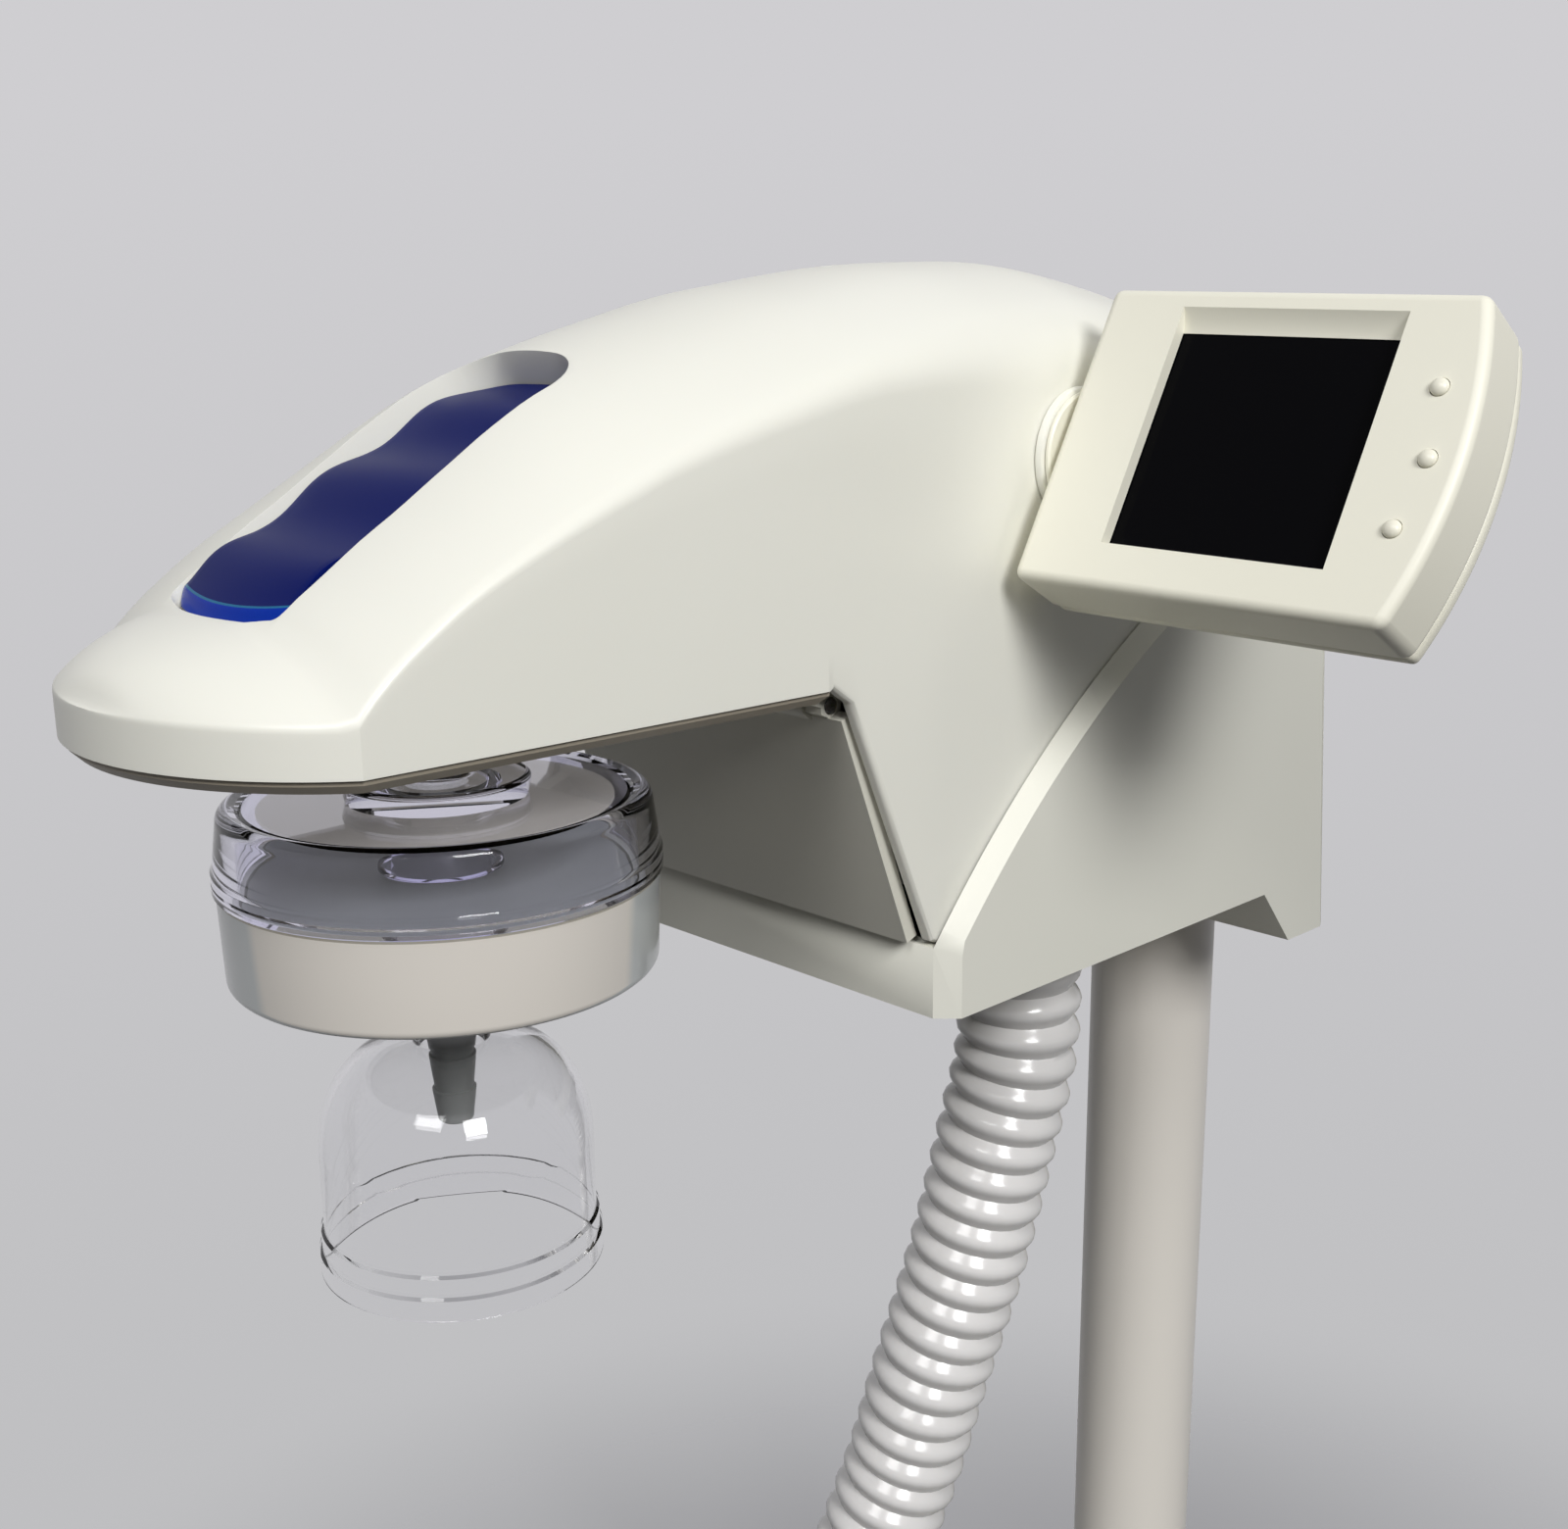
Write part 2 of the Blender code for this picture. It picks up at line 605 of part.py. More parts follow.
def build_stand(mat, stand):
    """Base cover, ballast plate, feet, screws, pole and what holds the pole down."""
    middle = Vector((0, -BASE_SHIFT, 0))
    inner = BASE_RADIUS - BASE_WALL
    plate_low = MAT_THICKNESS + GAP
    plate_high = plate_low + PLATE_THICKNESS
    crown = BASE_HEIGHT - BASE_EDGE
    under = BASE_HEIGHT - BASE_WALL
    rim = arc((BASE_RADIUS - BASE_EDGE, crown), BASE_EDGE, math.radians(90), 0, 3)
    inside = arc((inner - BASE_EDGE, under - BASE_EDGE), BASE_EDGE, 0, math.radians(90), 2)
    profile = [(0, BASE_HEIGHT)] + rim + [(BASE_RADIUS, BASE_LIFT), (inner, BASE_LIFT)] + inside
    cover = turned("base_cover", profile + [(0, under)], mat["shell"], stand, middle, steps=36)
    combine(cover, rod("pole_hole", POLE_RADIUS + GAP, (0, 0, 0), BASE_HEIGHT + OVERRUN, None, stand,
                       steps=ROUND_STEPS))
    plate_radius = inner - GAP - BASE_EDGE / 2
    rod("base_mat", plate_radius, middle, MAT_THICKNESS, mat["rubber"], stand, steps=28)
    ballast = rod("base_plate", plate_radius, middle + Vector((0, 0, plate_low)), PLATE_THICKNESS,
                  mat["steel"], stand, steps=28)
    head_low = plate_low + GAP
    for index in range(3):
        angle = math.radians(-90 + 120 * index)
        spot = middle + SCREW_CIRCLE * Vector((math.cos(angle), math.sin(angle), 0))
        low = plate_high + GAP
        post = rod("post", SCREW_BOSS_RADIUS, spot + Vector((0, 0, low)),
                   BASE_HEIGHT - BASE_WALL / 2 - low, None, stand)
        combine(cover, post, "UNION")
        hole = rod("hole", SCREW_RADIUS + GAP, spot + Vector((0, 0, low - OVERRUN)),
                   OVERRUN + SCREW_BITE + GAP, None, stand)
        combine(cover, hole)
        bolted(ballast, f"base_screw_{index + 1}", spot, head_low, plate_high + SCREW_BITE,
               (SCREW_RADIUS, SCREW_HEAD_RADIUS, SCREW_HEAD_HEIGHT), mat["steel"], stand)

    foot_low = plate_high + GAP
    pole_low = foot_low
    pole_top = CHIN_HEIGHT + POLE_INSERT
    bore = POLE_RADIUS - POLE_WALL
    turned("pole", [(POLE_RADIUS, pole_top), (POLE_RADIUS, pole_low), (bore, pole_low), (bore, pole_top)],
           mat["pole"], stand)
    plug = bore - GAP
    bolt_bore = BOLT_RADIUS + GAP
    bolt_top = foot_low + BOLT_REACH
    turned("pole_foot", [
        (0, foot_low + POLE_FOOT_HEIGHT), (plug, foot_low + POLE_FOOT_HEIGHT), (plug, foot_low),
        (bolt_bore, foot_low), (bolt_bore, bolt_top + GAP), (0, bolt_top + GAP),
    ], mat["steel"], stand, steps=SMALL_STEPS)
    bolted(ballast, "pole_bolt", Vector((0, 0, 0)), head_low, bolt_top,
           (BOLT_RADIUS, BOLT_HEAD_RADIUS, BOLT_HEAD_HEIGHT), mat["steel"], stand)
    collar_in = POLE_RADIUS + GAP
    seat = BASE_HEIGHT + GAP
    turned("pole_collar", [
        (collar_in, seat + COLLAR_HEIGHT), (collar_in + COLLAR_WIDTH / 3, seat + COLLAR_HEIGHT),
        (collar_in + COLLAR_WIDTH / 2, seat + COLLAR_HEIGHT / 3), (collar_in + COLLAR_WIDTH, seat),
        (collar_in, seat),
    ], mat["shell"], stand)
    cap_low = pole_top + GAP
    turned("pole_cap", [
        (0, cap_low + POLE_CAP_THICKNESS), (POLE_RADIUS, cap_low + POLE_CAP_THICKNESS),
        (POLE_RADIUS, cap_low), (bore - GAP, cap_low), (bore - GAP, cap_low - 2 * POLE_CAP_THICKNESS),
        (0, cap_low - 2 * POLE_CAP_THICKNESS),
    ], mat["grey"], stand)


def bolted(ballast, name, spot, head_low, top, sizes, material, stand):
    """A screw from below, with its stepped hole in the ballast plate; sizes are of shank and head."""
    shank, head, height = sizes
    shoulder = head_low + height
    turned(name, [
        (0, top), (shank, top), (shank, shoulder), (head, shoulder), (head, head_low), (0, head_low),
    ], material, stand, spot, steps=10)
    combine(ballast, rod("shank_hole", shank + GAP, spot, top, None, stand, steps=12))
    combine(ballast, rod("head_hole", head + GAP, spot, shoulder + GAP, None, stand, steps=12))


# Hood

HOOD_LENGTH = NOSE_REACH + REAR_REACH


def hood_y(share):
    """The place along Y of a share of the hood's length."""
    return -NOSE_REACH + share * HOOD_LENGTH


def hood_share(y):
    """The share of the hood's length at a place along Y."""
    return (y + NOSE_REACH) / HOOD_LENGTH


def edge_height(share):
    """Height of the hood's side edge over the chin's underside."""
    return HOOD_SILL + HOOD_RISE * smooth_value(EDGE_SHARES, share)


def crown_height(share):
    """Height of the hood's crest over its side edge."""
    return HOOD_RISE * smooth_value(CROWN_SHARES, share)


def hood_row(y, half, inset=0.0):
    """Half of a cross-section, from the lower edge up the side and over to the middle."""
    share = hood_share(y)
    low = HOOD_SILL * straight_value(LOWER_SHARES, share)
    edge = edge_height(share) - inset
    crown = crown_height(share)
    half = max(0.0, half - inset)
    fillet = min(HOOD_FILLET * smooth_value(FILLET_SHARES, share), half / 2)

    def top(x):
        return edge + crown * (1 - (x / half) ** 2) if half > 0 else edge

    row = [Vector((half, y, low)), Vector((half, y, (low + edge - fillet) / 2))]
    start, corner = Vector((half, y, edge - fillet)), Vector((half, y, edge))
    end = Vector((half - fillet, y, top(half - fillet)))
    for i in range(FILLET_COLUMNS + 1):
        t = i / FILLET_COLUMNS
        row.append((1 - t) ** 2 * start + 2 * t * (1 - t) * corner + t * t * end)
    for i in range(1, CROWN_COLUMNS + 1):
        x = end.x * (1 - i / CROWN_COLUMNS)
        row.append(Vector((x, y, top(x))))
    return row


def side_half_width(y):
    """Half-width of the hood where its sides are straight."""
    nose_y = -NOSE_REACH + NOSE_SAGITTA
    t = min(1.0, (y - nose_y) / (CHIN_FRONT - nose_y))
    return NOSE_HALF_WIDTH + (BODY_HALF_WIDTH - NOSE_HALF_WIDTH) * t


def hood_stations():
    """(y, half-width) of every cross-section: nose arc, sides, rear arc."""
    nose_radius = sagitta_radius(NOSE_HALF_WIDTH, NOSE_SAGITTA)
    nose_angle = math.asin(NOSE_HALF_WIDTH / nose_radius)
    stations = []
    for i in range(NOSE_STEPS + 1):
        angle = nose_angle * i / NOSE_STEPS
        y = -NOSE_REACH + nose_radius * (1 - math.cos(angle))
        stations.append((y, nose_radius * math.sin(angle)))
    for share in STATION_SHARES:
        stations.append((hood_y(share), side_half_width(hood_y(share))))
    sagitta = REAR_REACH - REAR_CORNER
    rear_radius = sagitta_radius(BODY_HALF_WIDTH, sagitta)
    rear_angle = math.asin(BODY_HALF_WIDTH / rear_radius)
    for i in range(REAR_STEPS + 1):
        angle = rear_angle * (1 - i / REAR_STEPS)
        stations.append((REAR_REACH - rear_radius * (1 - math.cos(angle)), rear_radius * math.sin(angle)))
    return stations


SLOT_TURN = Matrix.Rotation(SLOT_SLOPE, 3, "X")


def slot_outline(grow=0.0, front=0.0, rear=0.0):
    """The plunger slot's outline: a shallow arc in front, straight sides and a round rear."""
    half = SLOT_HALF_WIDTH + grow
    ahead = -SLOT_HALF_LENGTH - grow + front
    behind = SLOT_HALF_LENGTH + grow - rear
    corner = SLOT_CORNER + max(grow, 0)
    chord = half - corner
    radius = sagitta_radius(chord, SLOT_FRONT_SAGITTA)
    spread = math.asin(chord / radius)
    bow = arc((0, ahead + radius), radius, math.radians(-90) - spread, math.radians(-90) + spread, 6)
    turn_y = ahead + SLOT_FRONT_SAGITTA + corner
    right = arc((chord, turn_y), corner, math.radians(-60), 0, 3)
    back = arc((0, behind - half), half, 0, math.radians(180), 12)
    left = [(-x, y) for x, y in reversed(right)]
    return bow[1:-1] + right + back + left


def build_hood(mat, head):
    """The upper moulding, with the plunger's well and the holes for pivot and pins."""
    rows = [hood_row(y, half) for y, half in hood_stations()]
    hood = loft("hood_shell", rows, mat["shell"], head)
    mirror = hood.modifiers.new("halves", "MIRROR")
    mirror.use_axis = (True, False, False)
    mirror.use_clip = True
    mirror.merge_threshold = WELD
    wall = hood.modifiers.new("wall", "SOLIDIFY")
    wall.thickness = HOOD_WALL
    wall.offset = -1

    slot_place = Vector((0, SLOT_Y, SLOT_RISE))
    reach = SLOT_HALF_LENGTH * 1.35
    front_share, rear_share = hood_share(SLOT_Y - reach), hood_share(SLOT_Y + reach)
    core_rows = []
    for i in range(9):
        y = hood_y(front_share + (rear_share - front_share) * i / 8)
        nose_radius = sagitta_radius(NOSE_HALF_WIDTH, NOSE_SAGITTA)
        on_arc = math.sqrt(max(0.0, nose_radius**2 - (y + NOSE_REACH - nose_radius) ** 2))
        half = on_arc if y < -NOSE_REACH + NOSE_SAGITTA else side_half_width(y)
        side = hood_row(y, half, inset=HOOD_WALL / 2)
        core_rows.append(side + [Vector((-p.x, p.y, p.z)) for p in reversed(side[:-1])])
    core = loft("well_core", core_rows, None, head, caps=True, ring=True)
    well = plate("well_blank", slot_outline(WELL_WALL), -WELL_DEPTH, SLOT_HALF_LENGTH, None, head,
                 SLOT_TURN, slot_place)
    combine(well, core, "INTERSECT")
    combine(hood, well, "UNION")
    well_cut = plate("well_cut", slot_outline(), -WELL_DEPTH - OVERRUN, SLOT_HALF_LENGTH, None, head,
                     SLOT_TURN, slot_place)
    combine(hood, well_cut)
    pin_place = slot_place + SLOT_TURN @ Vector((0, HINGE_ALONG, -HINGE_DEPTH))
    pin_half = SLOT_HALF_WIDTH + WELL_WALL + OVERRUN
    combine(hood, rod("pin_hole", HINGE_PIN_RADIUS + GAP, pin_place - Vector((pin_half, 0, 0)),
                      2 * pin_half, None, head, ALONG_X, 12))
    combine(hood, rod("pivot_hole", SHAFT_RADIUS + GAP,
                      (BODY_HALF_WIDTH - HOOD_WALL - OVERRUN, TILT_AXIS_Y, TILT_AXIS_Z),
                      HOOD_WALL + 2 * OVERRUN, None, head, ALONG_X, SMALL_STEPS))


# Lower housing, rear cover and pole sleeve

def strip_curve():
    """(y, z) points of the strip's inner edge, from the chin up to the rear."""
    start = Vector((CHIN_FRONT, CHIN_TOP))
    end = Vector((HOUSING_REAR_TOP_Y, HOUSING_REAR_TOP))
    bend = Vector((
        start.x + (end.x - start.x) * STRIP_ALONG_SHARE,
        start.y + (end.y - start.y) * STRIP_RISE_SHARE,
    ))
    points = []
    for i in range(STRIP_STEPS + 1):
        t = i / STRIP_STEPS
        points.append((1 - t) ** 2 * start + 2 * t * (1 - t) * bend + t * t * end)
    return points


def housing_profile(outer):
    """The housing's side outline; outer is the one that the chamfer leaves on the panels."""
    curve = strip_curve()
    if outer:
        shifted = []
        for i, point in enumerate(curve):
            a, b = curve[max(0, i - 1)], curve[min(len(curve) - 1, i + 1)]
            along = (b - a).normalized()
            depth = STRIP_CHAMFER
            shifted.append(point + depth * Vector((along.y, -along.x)))
        shifted[0].x = CHIN_FRONT + CHIN_CHAMFER
        shifted[-1].x = curve[-1].x
        curve = shifted
    front = CHIN_FRONT + (CHIN_CHAMFER if outer else 0.0)
    return [
        Vector((front, 0)), *curve, Vector((HOUSING_REAR_FOOT_Y, -TAB_DROP)),
        Vector((TAB_FRONT, -TAB_DROP)), Vector((NOTCH_START, NOTCH_RISE)),
    ]


def build_housing(mat, head):
    """Chin, side panels and tab: a wrap-around moulding, open at the top and the rear."""
    inner, outer = housing_profile(False), housing_profile(True)
    rows = [
        [Vector((-HOUSING_HALF_WIDTH, p.x, p.y)) for p in outer],
        [Vector((-HOUSING_INNER_HALF, p.x, p.y)) for p in inner],
        [Vector((HOUSING_INNER_HALF, p.x, p.y)) for p in inner],
        [Vector((HOUSING_HALF_WIDTH, p.x, p.y)) for p in outer],
    ]
    housing = loft("lower_housing", rows, mat["housing"], head, caps=True, ring=True)
    floor = FLOOR_THICKNESS
    rise = HOUSING_REAR_TOP + OVERRUN
    hollow = [
        (CHIN_FRONT + CHIN_WALL, floor), (CHIN_FRONT + CHIN_WALL, CHIN_TOP),
        (CHIN_FRONT - OVERRUN, CHIN_TOP), (CHIN_FRONT - OVERRUN, rise),
        (HOUSING_REAR_FOOT_Y + OVERRUN, rise), (HOUSING_REAR_FOOT_Y + OVERRUN, floor - TAB_DROP),
        (TAB_FRONT + floor / 2, floor - TAB_DROP), (NOTCH_START + floor / 2, floor),
    ]
    combine(housing, plate("housing_hollow", hollow, -HOUSING_INNER_HALF, HOUSING_INNER_HALF, None, head,
                           SIDE_PROFILE))
    combine(housing, rod("gland_hole", HOSE_RADIUS + GAP, HOSE_EXIT - Vector((0, 0, OVERRUN)),
                         2 * OVERRUN + floor, None, head, steps=ROUND_STEPS))
    sleeve = POLE_RADIUS + GAP + SLEEVE_WALL
    combine(housing, rod("sleeve_hole", sleeve + GAP, (0, 0, -TAB_DROP - OVERRUN),
                         TAB_DROP + OVERRUN, None, head, steps=ROUND_STEPS))
    for x in (-1, 1):
        for y in (-1, 1):
            spot = BOARD_PLACE + Vector((x * BOARD_SIZE.x, y * BOARD_SIZE.y, 0)) * 0.42
            post = rod("board_post", BOARD_POST_RADIUS, spot + Vector((0, 0, floor / 2)),
                       floor / 2 + BOARD_POST_HEIGHT, None, head, steps=10)
            combine(housing, post, "UNION")

    board_low = floor + BOARD_POST_HEIGHT + GAP
    board = box("control_board", BOARD_PLACE - BOARD_SIZE / 2, BOARD_PLACE + BOARD_SIZE / 2, mat["board"],
                head, place=(0, 0, board_low + BOARD_SIZE.z / 2))
    relay = box("relay", -BOARD_RELAY / 2, BOARD_RELAY / 2, None, head,
                place=BOARD_PLACE + Vector((-BOARD_SIZE.x / 4, 0, board_low + BOARD_RELAY.z / 2)))
    combine(board, relay, "UNION")

    cover_low = -TAB_DROP
    cover_high = HOOD_SILL * LOWER_SHARES[-1][1] - GAP
    front_low = HOUSING_REAR_FOOT_Y + GAP
    lean = (HOUSING_REAR_TOP_Y - HOUSING_REAR_FOOT_Y) / (HOUSING_REAR_TOP + TAB_DROP)
    rows = []
    for height in (cover_low, cover_high):
        front = front_low + lean * (height - cover_low)
        plan = rear_arc(HOUSING_HALF_WIDTH, front, 14)
        plan += reversed(rear_arc(HOUSING_HALF_WIDTH - REAR_WALL, front, 14, REAR_WALL))
        rows.append([Vector((x, y, height)) for x, y in plan])
    loft("rear_cover", rows, mat["housing"], head, caps=True, ring=True)

    sleeve_in = POLE_RADIUS + GAP
    flange_half = HOUSING_INNER_HALF - 2 * GAP
    inside = rear_arc(HOUSING_HALF_WIDTH - REAR_WALL - 2 * GAP, front_low, 14, REAR_WALL + 2 * GAP)
    inside = [(max(-flange_half, min(flange_half, x)), y) for x, y in inside]
    flange = plate("pole_sleeve", inside, -TAB_DROP, floor - TAB_DROP, mat["steel"], head)
    combine(flange, rod("sleeve_ring", sleeve, (0, 0, -TAB_DROP), SLEEVE_TOP + TAB_DROP, None, head,
                        steps=ROUND_STEPS), "UNION")
    pad = box("sleeve_pad", (-SLEEVE_PAD_HALF, -sleeve_in - SLEEVE_PAD_REACH, SLEEVE_PAD_LOW),
              (SLEEVE_PAD_HALF, -sleeve_in, SLEEVE_PAD_HIGH), None, head)
    combine(flange, pad, "UNION")
    combine(flange, rod("sleeve_bore", sleeve_in, (0, 0, -TAB_DROP - OVERRUN),
                        SLEEVE_TOP + TAB_DROP + 2 * OVERRUN, None, head, steps=ROUND_STEPS))
    for index, height in enumerate((GRUB_LOW, GRUB_HIGH)):
        start = Vector((0, -POLE_RADIUS - GAP, height))
        hole_start = start + Vector((0, OVERRUN, 0))
        back = Matrix.Rotation(math.radians(90), 3, "X")
        combine(flange, rod("grub_hole", GRUB_RADIUS + GAP, hole_start, SLEEVE_PAD_REACH + 3 * OVERRUN,
                            None, head, back, 12))
        rod(f"grub_screw_{index + 1}", GRUB_RADIUS, start, SLEEVE_PAD_REACH, mat["steel"], head, back, 12)


def rear_arc(half, front, steps, inset=0.0):
    """Plan points of the head's round rear, from +X to -X."""
    apex = REAR_REACH - inset
    sagitta = apex - front
    radius = sagitta_radius(half, sagitta)
    spread = math.asin(half / radius)
    return arc((0, apex - radius), radius, math.radians(90) - spread, math.radians(90) + spread, steps)


# Nose underplate, outlet, valve and supply

def build_underside(mat, head):
    """The plate that closes the nose, with the water path above it."""
    top = HOOD_SILL - GAP
    low = top - UNDERPLATE_THICKNESS
    nose_radius = sagitta_radius(NOSE_HALF_WIDTH, NOSE_SAGITTA)
    spread = math.asin(NOSE_HALF_WIDTH / nose_radius)
    centre = -NOSE_REACH + nose_radius
    bow = arc((0, centre), nose_radius - UNDERPLATE_INSET, math.radians(-90) - spread,
              math.radians(-90) + spread, 12)
    rear_half = side_half_width(UNDERPLATE_REAR) - UNDERPLATE_INSET
    outline = bow + [(rear_half, UNDERPLATE_REAR), (-rear_half, UNDERPLATE_REAR)]
    under = plate("nose_underplate", outline, low, top, mat["trim"], head)
    combine(under, rod("port_hole", PORT_RADIUS + GAP, (0, FILTER_Y, low - OVERRUN),
                       UNDERPLATE_THICKNESS + 2 * OVERRUN, None, head))
    pin = door_pin_place()
    for side in (-1, 1):
        near = DOOR_BARREL_HALF + GAP
        x = near if side > 0 else -near - LUG_THICKNESS
        lug = [
            (pin.y - LUG_RADIUS, pin.z), (pin.y - LUG_RADIUS, pin.z - LUG_RADIUS / 2),
            (pin.y, pin.z - LUG_RADIUS), (pin.y + LUG_RADIUS, pin.z - LUG_RADIUS / 2),
            (pin.y + LUG_RADIUS, pin.z + LUG_RADIUS), (UNDERPLATE_REAR, top), (UNDERPLATE_REAR - LUG_RADIUS, top),
            (UNDERPLATE_REAR - LUG_RADIUS, low),
        ]
        ear = plate("door_lug", lug, 0, LUG_THICKNESS, None, head, SIDE_PROFILE, (x, 0, 0))
        combine(under, ear, "UNION")
        combine(under, rod("lug_hole", DOOR_PIN_RADIUS + GAP, pin + Vector((x - OVERRUN, 0, 0)),
                           LUG_THICKNESS + 2 * OVERRUN, None, head, ALONG_X, 12))

    seat = HOOD_SILL
    bore = SPIGOT_RADIUS + GAP
    port_top = seat + PORT_HEIGHT
    bore_top = seat + PORT_FLANGE_HEIGHT + GAP + TUBE_RADIUS
    port_low = low - PORT_REACH
    turned("outlet_port", [
        (0, port_top), (PORT_RADIUS, port_top), (PORT_RADIUS, seat + PORT_FLANGE_HEIGHT),
        (PORT_FLANGE_RADIUS, seat + PORT_FLANGE_HEIGHT), (PORT_FLANGE_RADIUS, seat),
        (PORT_RADIUS, seat), (PORT_RADIUS, port_low), (bore, port_low), (bore, bore_top), (0, bore_top),
    ], mat["grey"], head, (0, FILTER_Y, 0), steps=SMALL_STEPS)

    valve = box("dispense_valve", (-VALVE_HALF_WIDTH, VALVE_FRONT, seat),
                (VALVE_HALF_WIDTH, VALVE_REAR, seat + VALVE_HEIGHT), mat["grey"], head)
    bevel(valve, VALVE_HALF_WIDTH / 12, 1)
    coil_place = Vector((0, (VALVE_FRONT + VALVE_REAR) / 2, seat + VALVE_HEIGHT / 2))
    coil = rod("valve_coil", COIL_RADIUS, coil_place, VALVE_HEIGHT / 2 + COIL_HEIGHT, None, head)
    combine(valve, coil, "UNION")
    tube_height = seat + VALVE_HEIGHT - TUBE_RADIUS * 2
    elbow = [
        Vector((0, VALVE_FRONT - GAP, tube_height)),
        Vector((0, VALVE_FRONT - TUBE_RADIUS, tube_height)),
        Vector((0, (VALVE_FRONT + FILTER_Y) / 2, tube_height + TUBE_RADIUS / 4)),
        Vector((0, FILTER_Y + TUBE_RADIUS / 2, tube_height - TUBE_RADIUS / 4)),
        Vector((0, FILTER_Y, tube_height - TUBE_RADIUS)),
        Vector((0, FILTER_Y, port_top + GAP)),
    ]
    tube("outlet_elbow", elbow, TUBE_RADIUS, mat["white"], head)
    rise = FLOOR_THICKNESS + GLAND_HEIGHT
    supply = curve_points([
        HOSE_EXIT + Vector((0, 0, 2 * GAP)),
        HOSE_EXIT + Vector((0, 0, rise)),
        HOSE_EXIT + Vector((0, 0, rise + SUPPLY_RISE / 2)),
        HOSE_EXIT + Vector((-HOSE_EXIT.x / 3, -SUPPLY_RISE / 3, rise + SUPPLY_RISE)),
        Vector((HOSE_EXIT.x / 4, VALVE_REAR + SUPPLY_RISE / 2, tube_height - TUBE_RADIUS / 2)),
        Vector((0, VALVE_REAR + SUPPLY_RISE / 5, tube_height)),
        Vector((0, VALVE_REAR + GAP, tube_height)),
    ], 3)
    tube("supply_tube", supply, TUBE_RADIUS, mat["white"], head)

    half = SWITCH_SIZE / 2
    switch = box("dispense_switch", -half, half, mat["black"], head,
                 place=SWITCH_PLACE + Vector((0, 0, seat + half.z)))
    bevel(switch, half.y / 8, 1)


def curve_points(points, steps):
    """A smooth curve through points, with a number of steps between each two."""
    points = [Vector(p) for p in points]
    ends = [2 * points[0] - points[1], *points, 2 * points[-1] - points[-2]]
    made = []
    for a, b, c, d in zip(ends, ends[1:], ends[2:], ends[3:]):
        for i in range(steps):
            t = i / steps
            made.append(0.5 * (
                2 * b + (c - a) * t + (2 * a - 5 * b + 4 * c - d) * t**2 + (3 * b - a - 3 * c + d) * t**3
            ))
    return made + [points[-1]]


# Plunger

def build_plunger(mat, head):
    """The wavy dispense lever, its pin and its return spring."""
    slot_place = Vector((0, SLOT_Y, SLOT_RISE))
    hinge = slot_place + SLOT_TURN @ Vector((0, HINGE_ALONG, -HINGE_DEPTH))
    axis = make_empty("plunger_axis", hinge, head, SLOT_TURN)
    shift = Vector((0, -HINGE_ALONG, HINGE_DEPTH))
    outline = slot_outline(-PLUNGER_CLEARANCE, SLOT_HALF_LENGTH + PLUNGER_FRONT - PLUNGER_CLEARANCE,
                           SLOT_HALF_LENGTH - PLUNGER_REAR - PLUNGER_CLEARANCE)
    half_at = half_widths(outline)
    rows = []
    count = 30
    for i in range(count + 1):
        t = i / count
        along = PLUNGER_FRONT + (PLUNGER_REAR - PLUNGER_FRONT) * (0.5 - 0.5 * math.cos(math.pi * t) * 0.35
                                                                 + (t - 0.5) * 0.65)
        half = max(half_at(along), PLUNGER_CLEARANCE)
        share = (along - PLUNGER_FRONT) / (PLUNGER_REAR - PLUNGER_FRONT)
        crest = -PLUNGER_SET - PLUNGER_SINK * share**3
        top = crest - WAVE_HEIGHT / 2 * (1 + math.cos(2 * math.pi * WAVE_COUNT * share))
        row = []
        for k in range(5):
            x = half * (1 - k / 2)
            row.append(Vector((x, along, top - WAVE_HEIGHT / 6 * (x / SLOT_HALF_WIDTH) ** 2)))
        bottom = -PLUNGER_BODY - PLUNGER_SINK * share * (1 + share) / 2
        row += [Vector((-half, along, bottom)), Vector((half, along, bottom))]
        rows.append([p + shift for p in row])
    plunger = loft("plunger", rows, mat["blue"], axis, caps=True, ring=True)
    barrel_half = SLOT_HALF_WIDTH * 0.80
    barrel = rod("barrel", HINGE_BARREL_RADIUS, (-barrel_half, 0, 0), 2 * barrel_half, None, axis,
                 ALONG_X, 14)
    combine(plunger, barrel, "UNION")
    stem_arm = HINGE_ALONG - STEM_ALONG
    switch_top = HOOD_SILL + SWITCH_SIZE.z
    rest_height = switch_top + GAP + stem_arm * math.sin(PLUNGER_TRAVEL)
    stem_depth = (SLOT_RISE + STEM_ALONG * math.sin(SLOT_SLOPE) - rest_height) / math.cos(SLOT_SLOPE)
    stem = rod("stem", STEM_RADIUS, (SWITCH_PLACE.x, -stem_arm, HINGE_DEPTH - stem_depth),
               stem_depth - PLUNGER_BODY / 2, None, axis, steps=12)
    combine(plunger, stem, "UNION")
    combine(plunger, rod("barrel_bore", HINGE_PIN_RADIUS + GAP, (-barrel_half - OVERRUN, 0, 0),
                         2 * (barrel_half + OVERRUN), None, axis, ALONG_X, 12))
    pin_half = SLOT_HALF_WIDTH + WELL_WALL / 2
    rod("plunger_pin", HINGE_PIN_RADIUS, hinge - Vector((pin_half, 0, 0)), 2 * pin_half, mat["steel"],
        head, ALONG_X, 12)

    low = HOOD_SILL + SPRING_WIRE
    steps = 8
    helix = []
    for i in range(SPRING_TURNS * steps + 1):
        angle = 2 * math.pi * i / steps
        height = low + SPRING_HEIGHT * i / (SPRING_TURNS * steps)
        helix.append(Vector((SPRING_RADIUS * math.cos(angle), SPRING_Y + SPRING_RADIUS * math.sin(angle),
                             height)))
    tube("plunger_spring", helix, SPRING_WIRE, mat["steel"], head, 1)


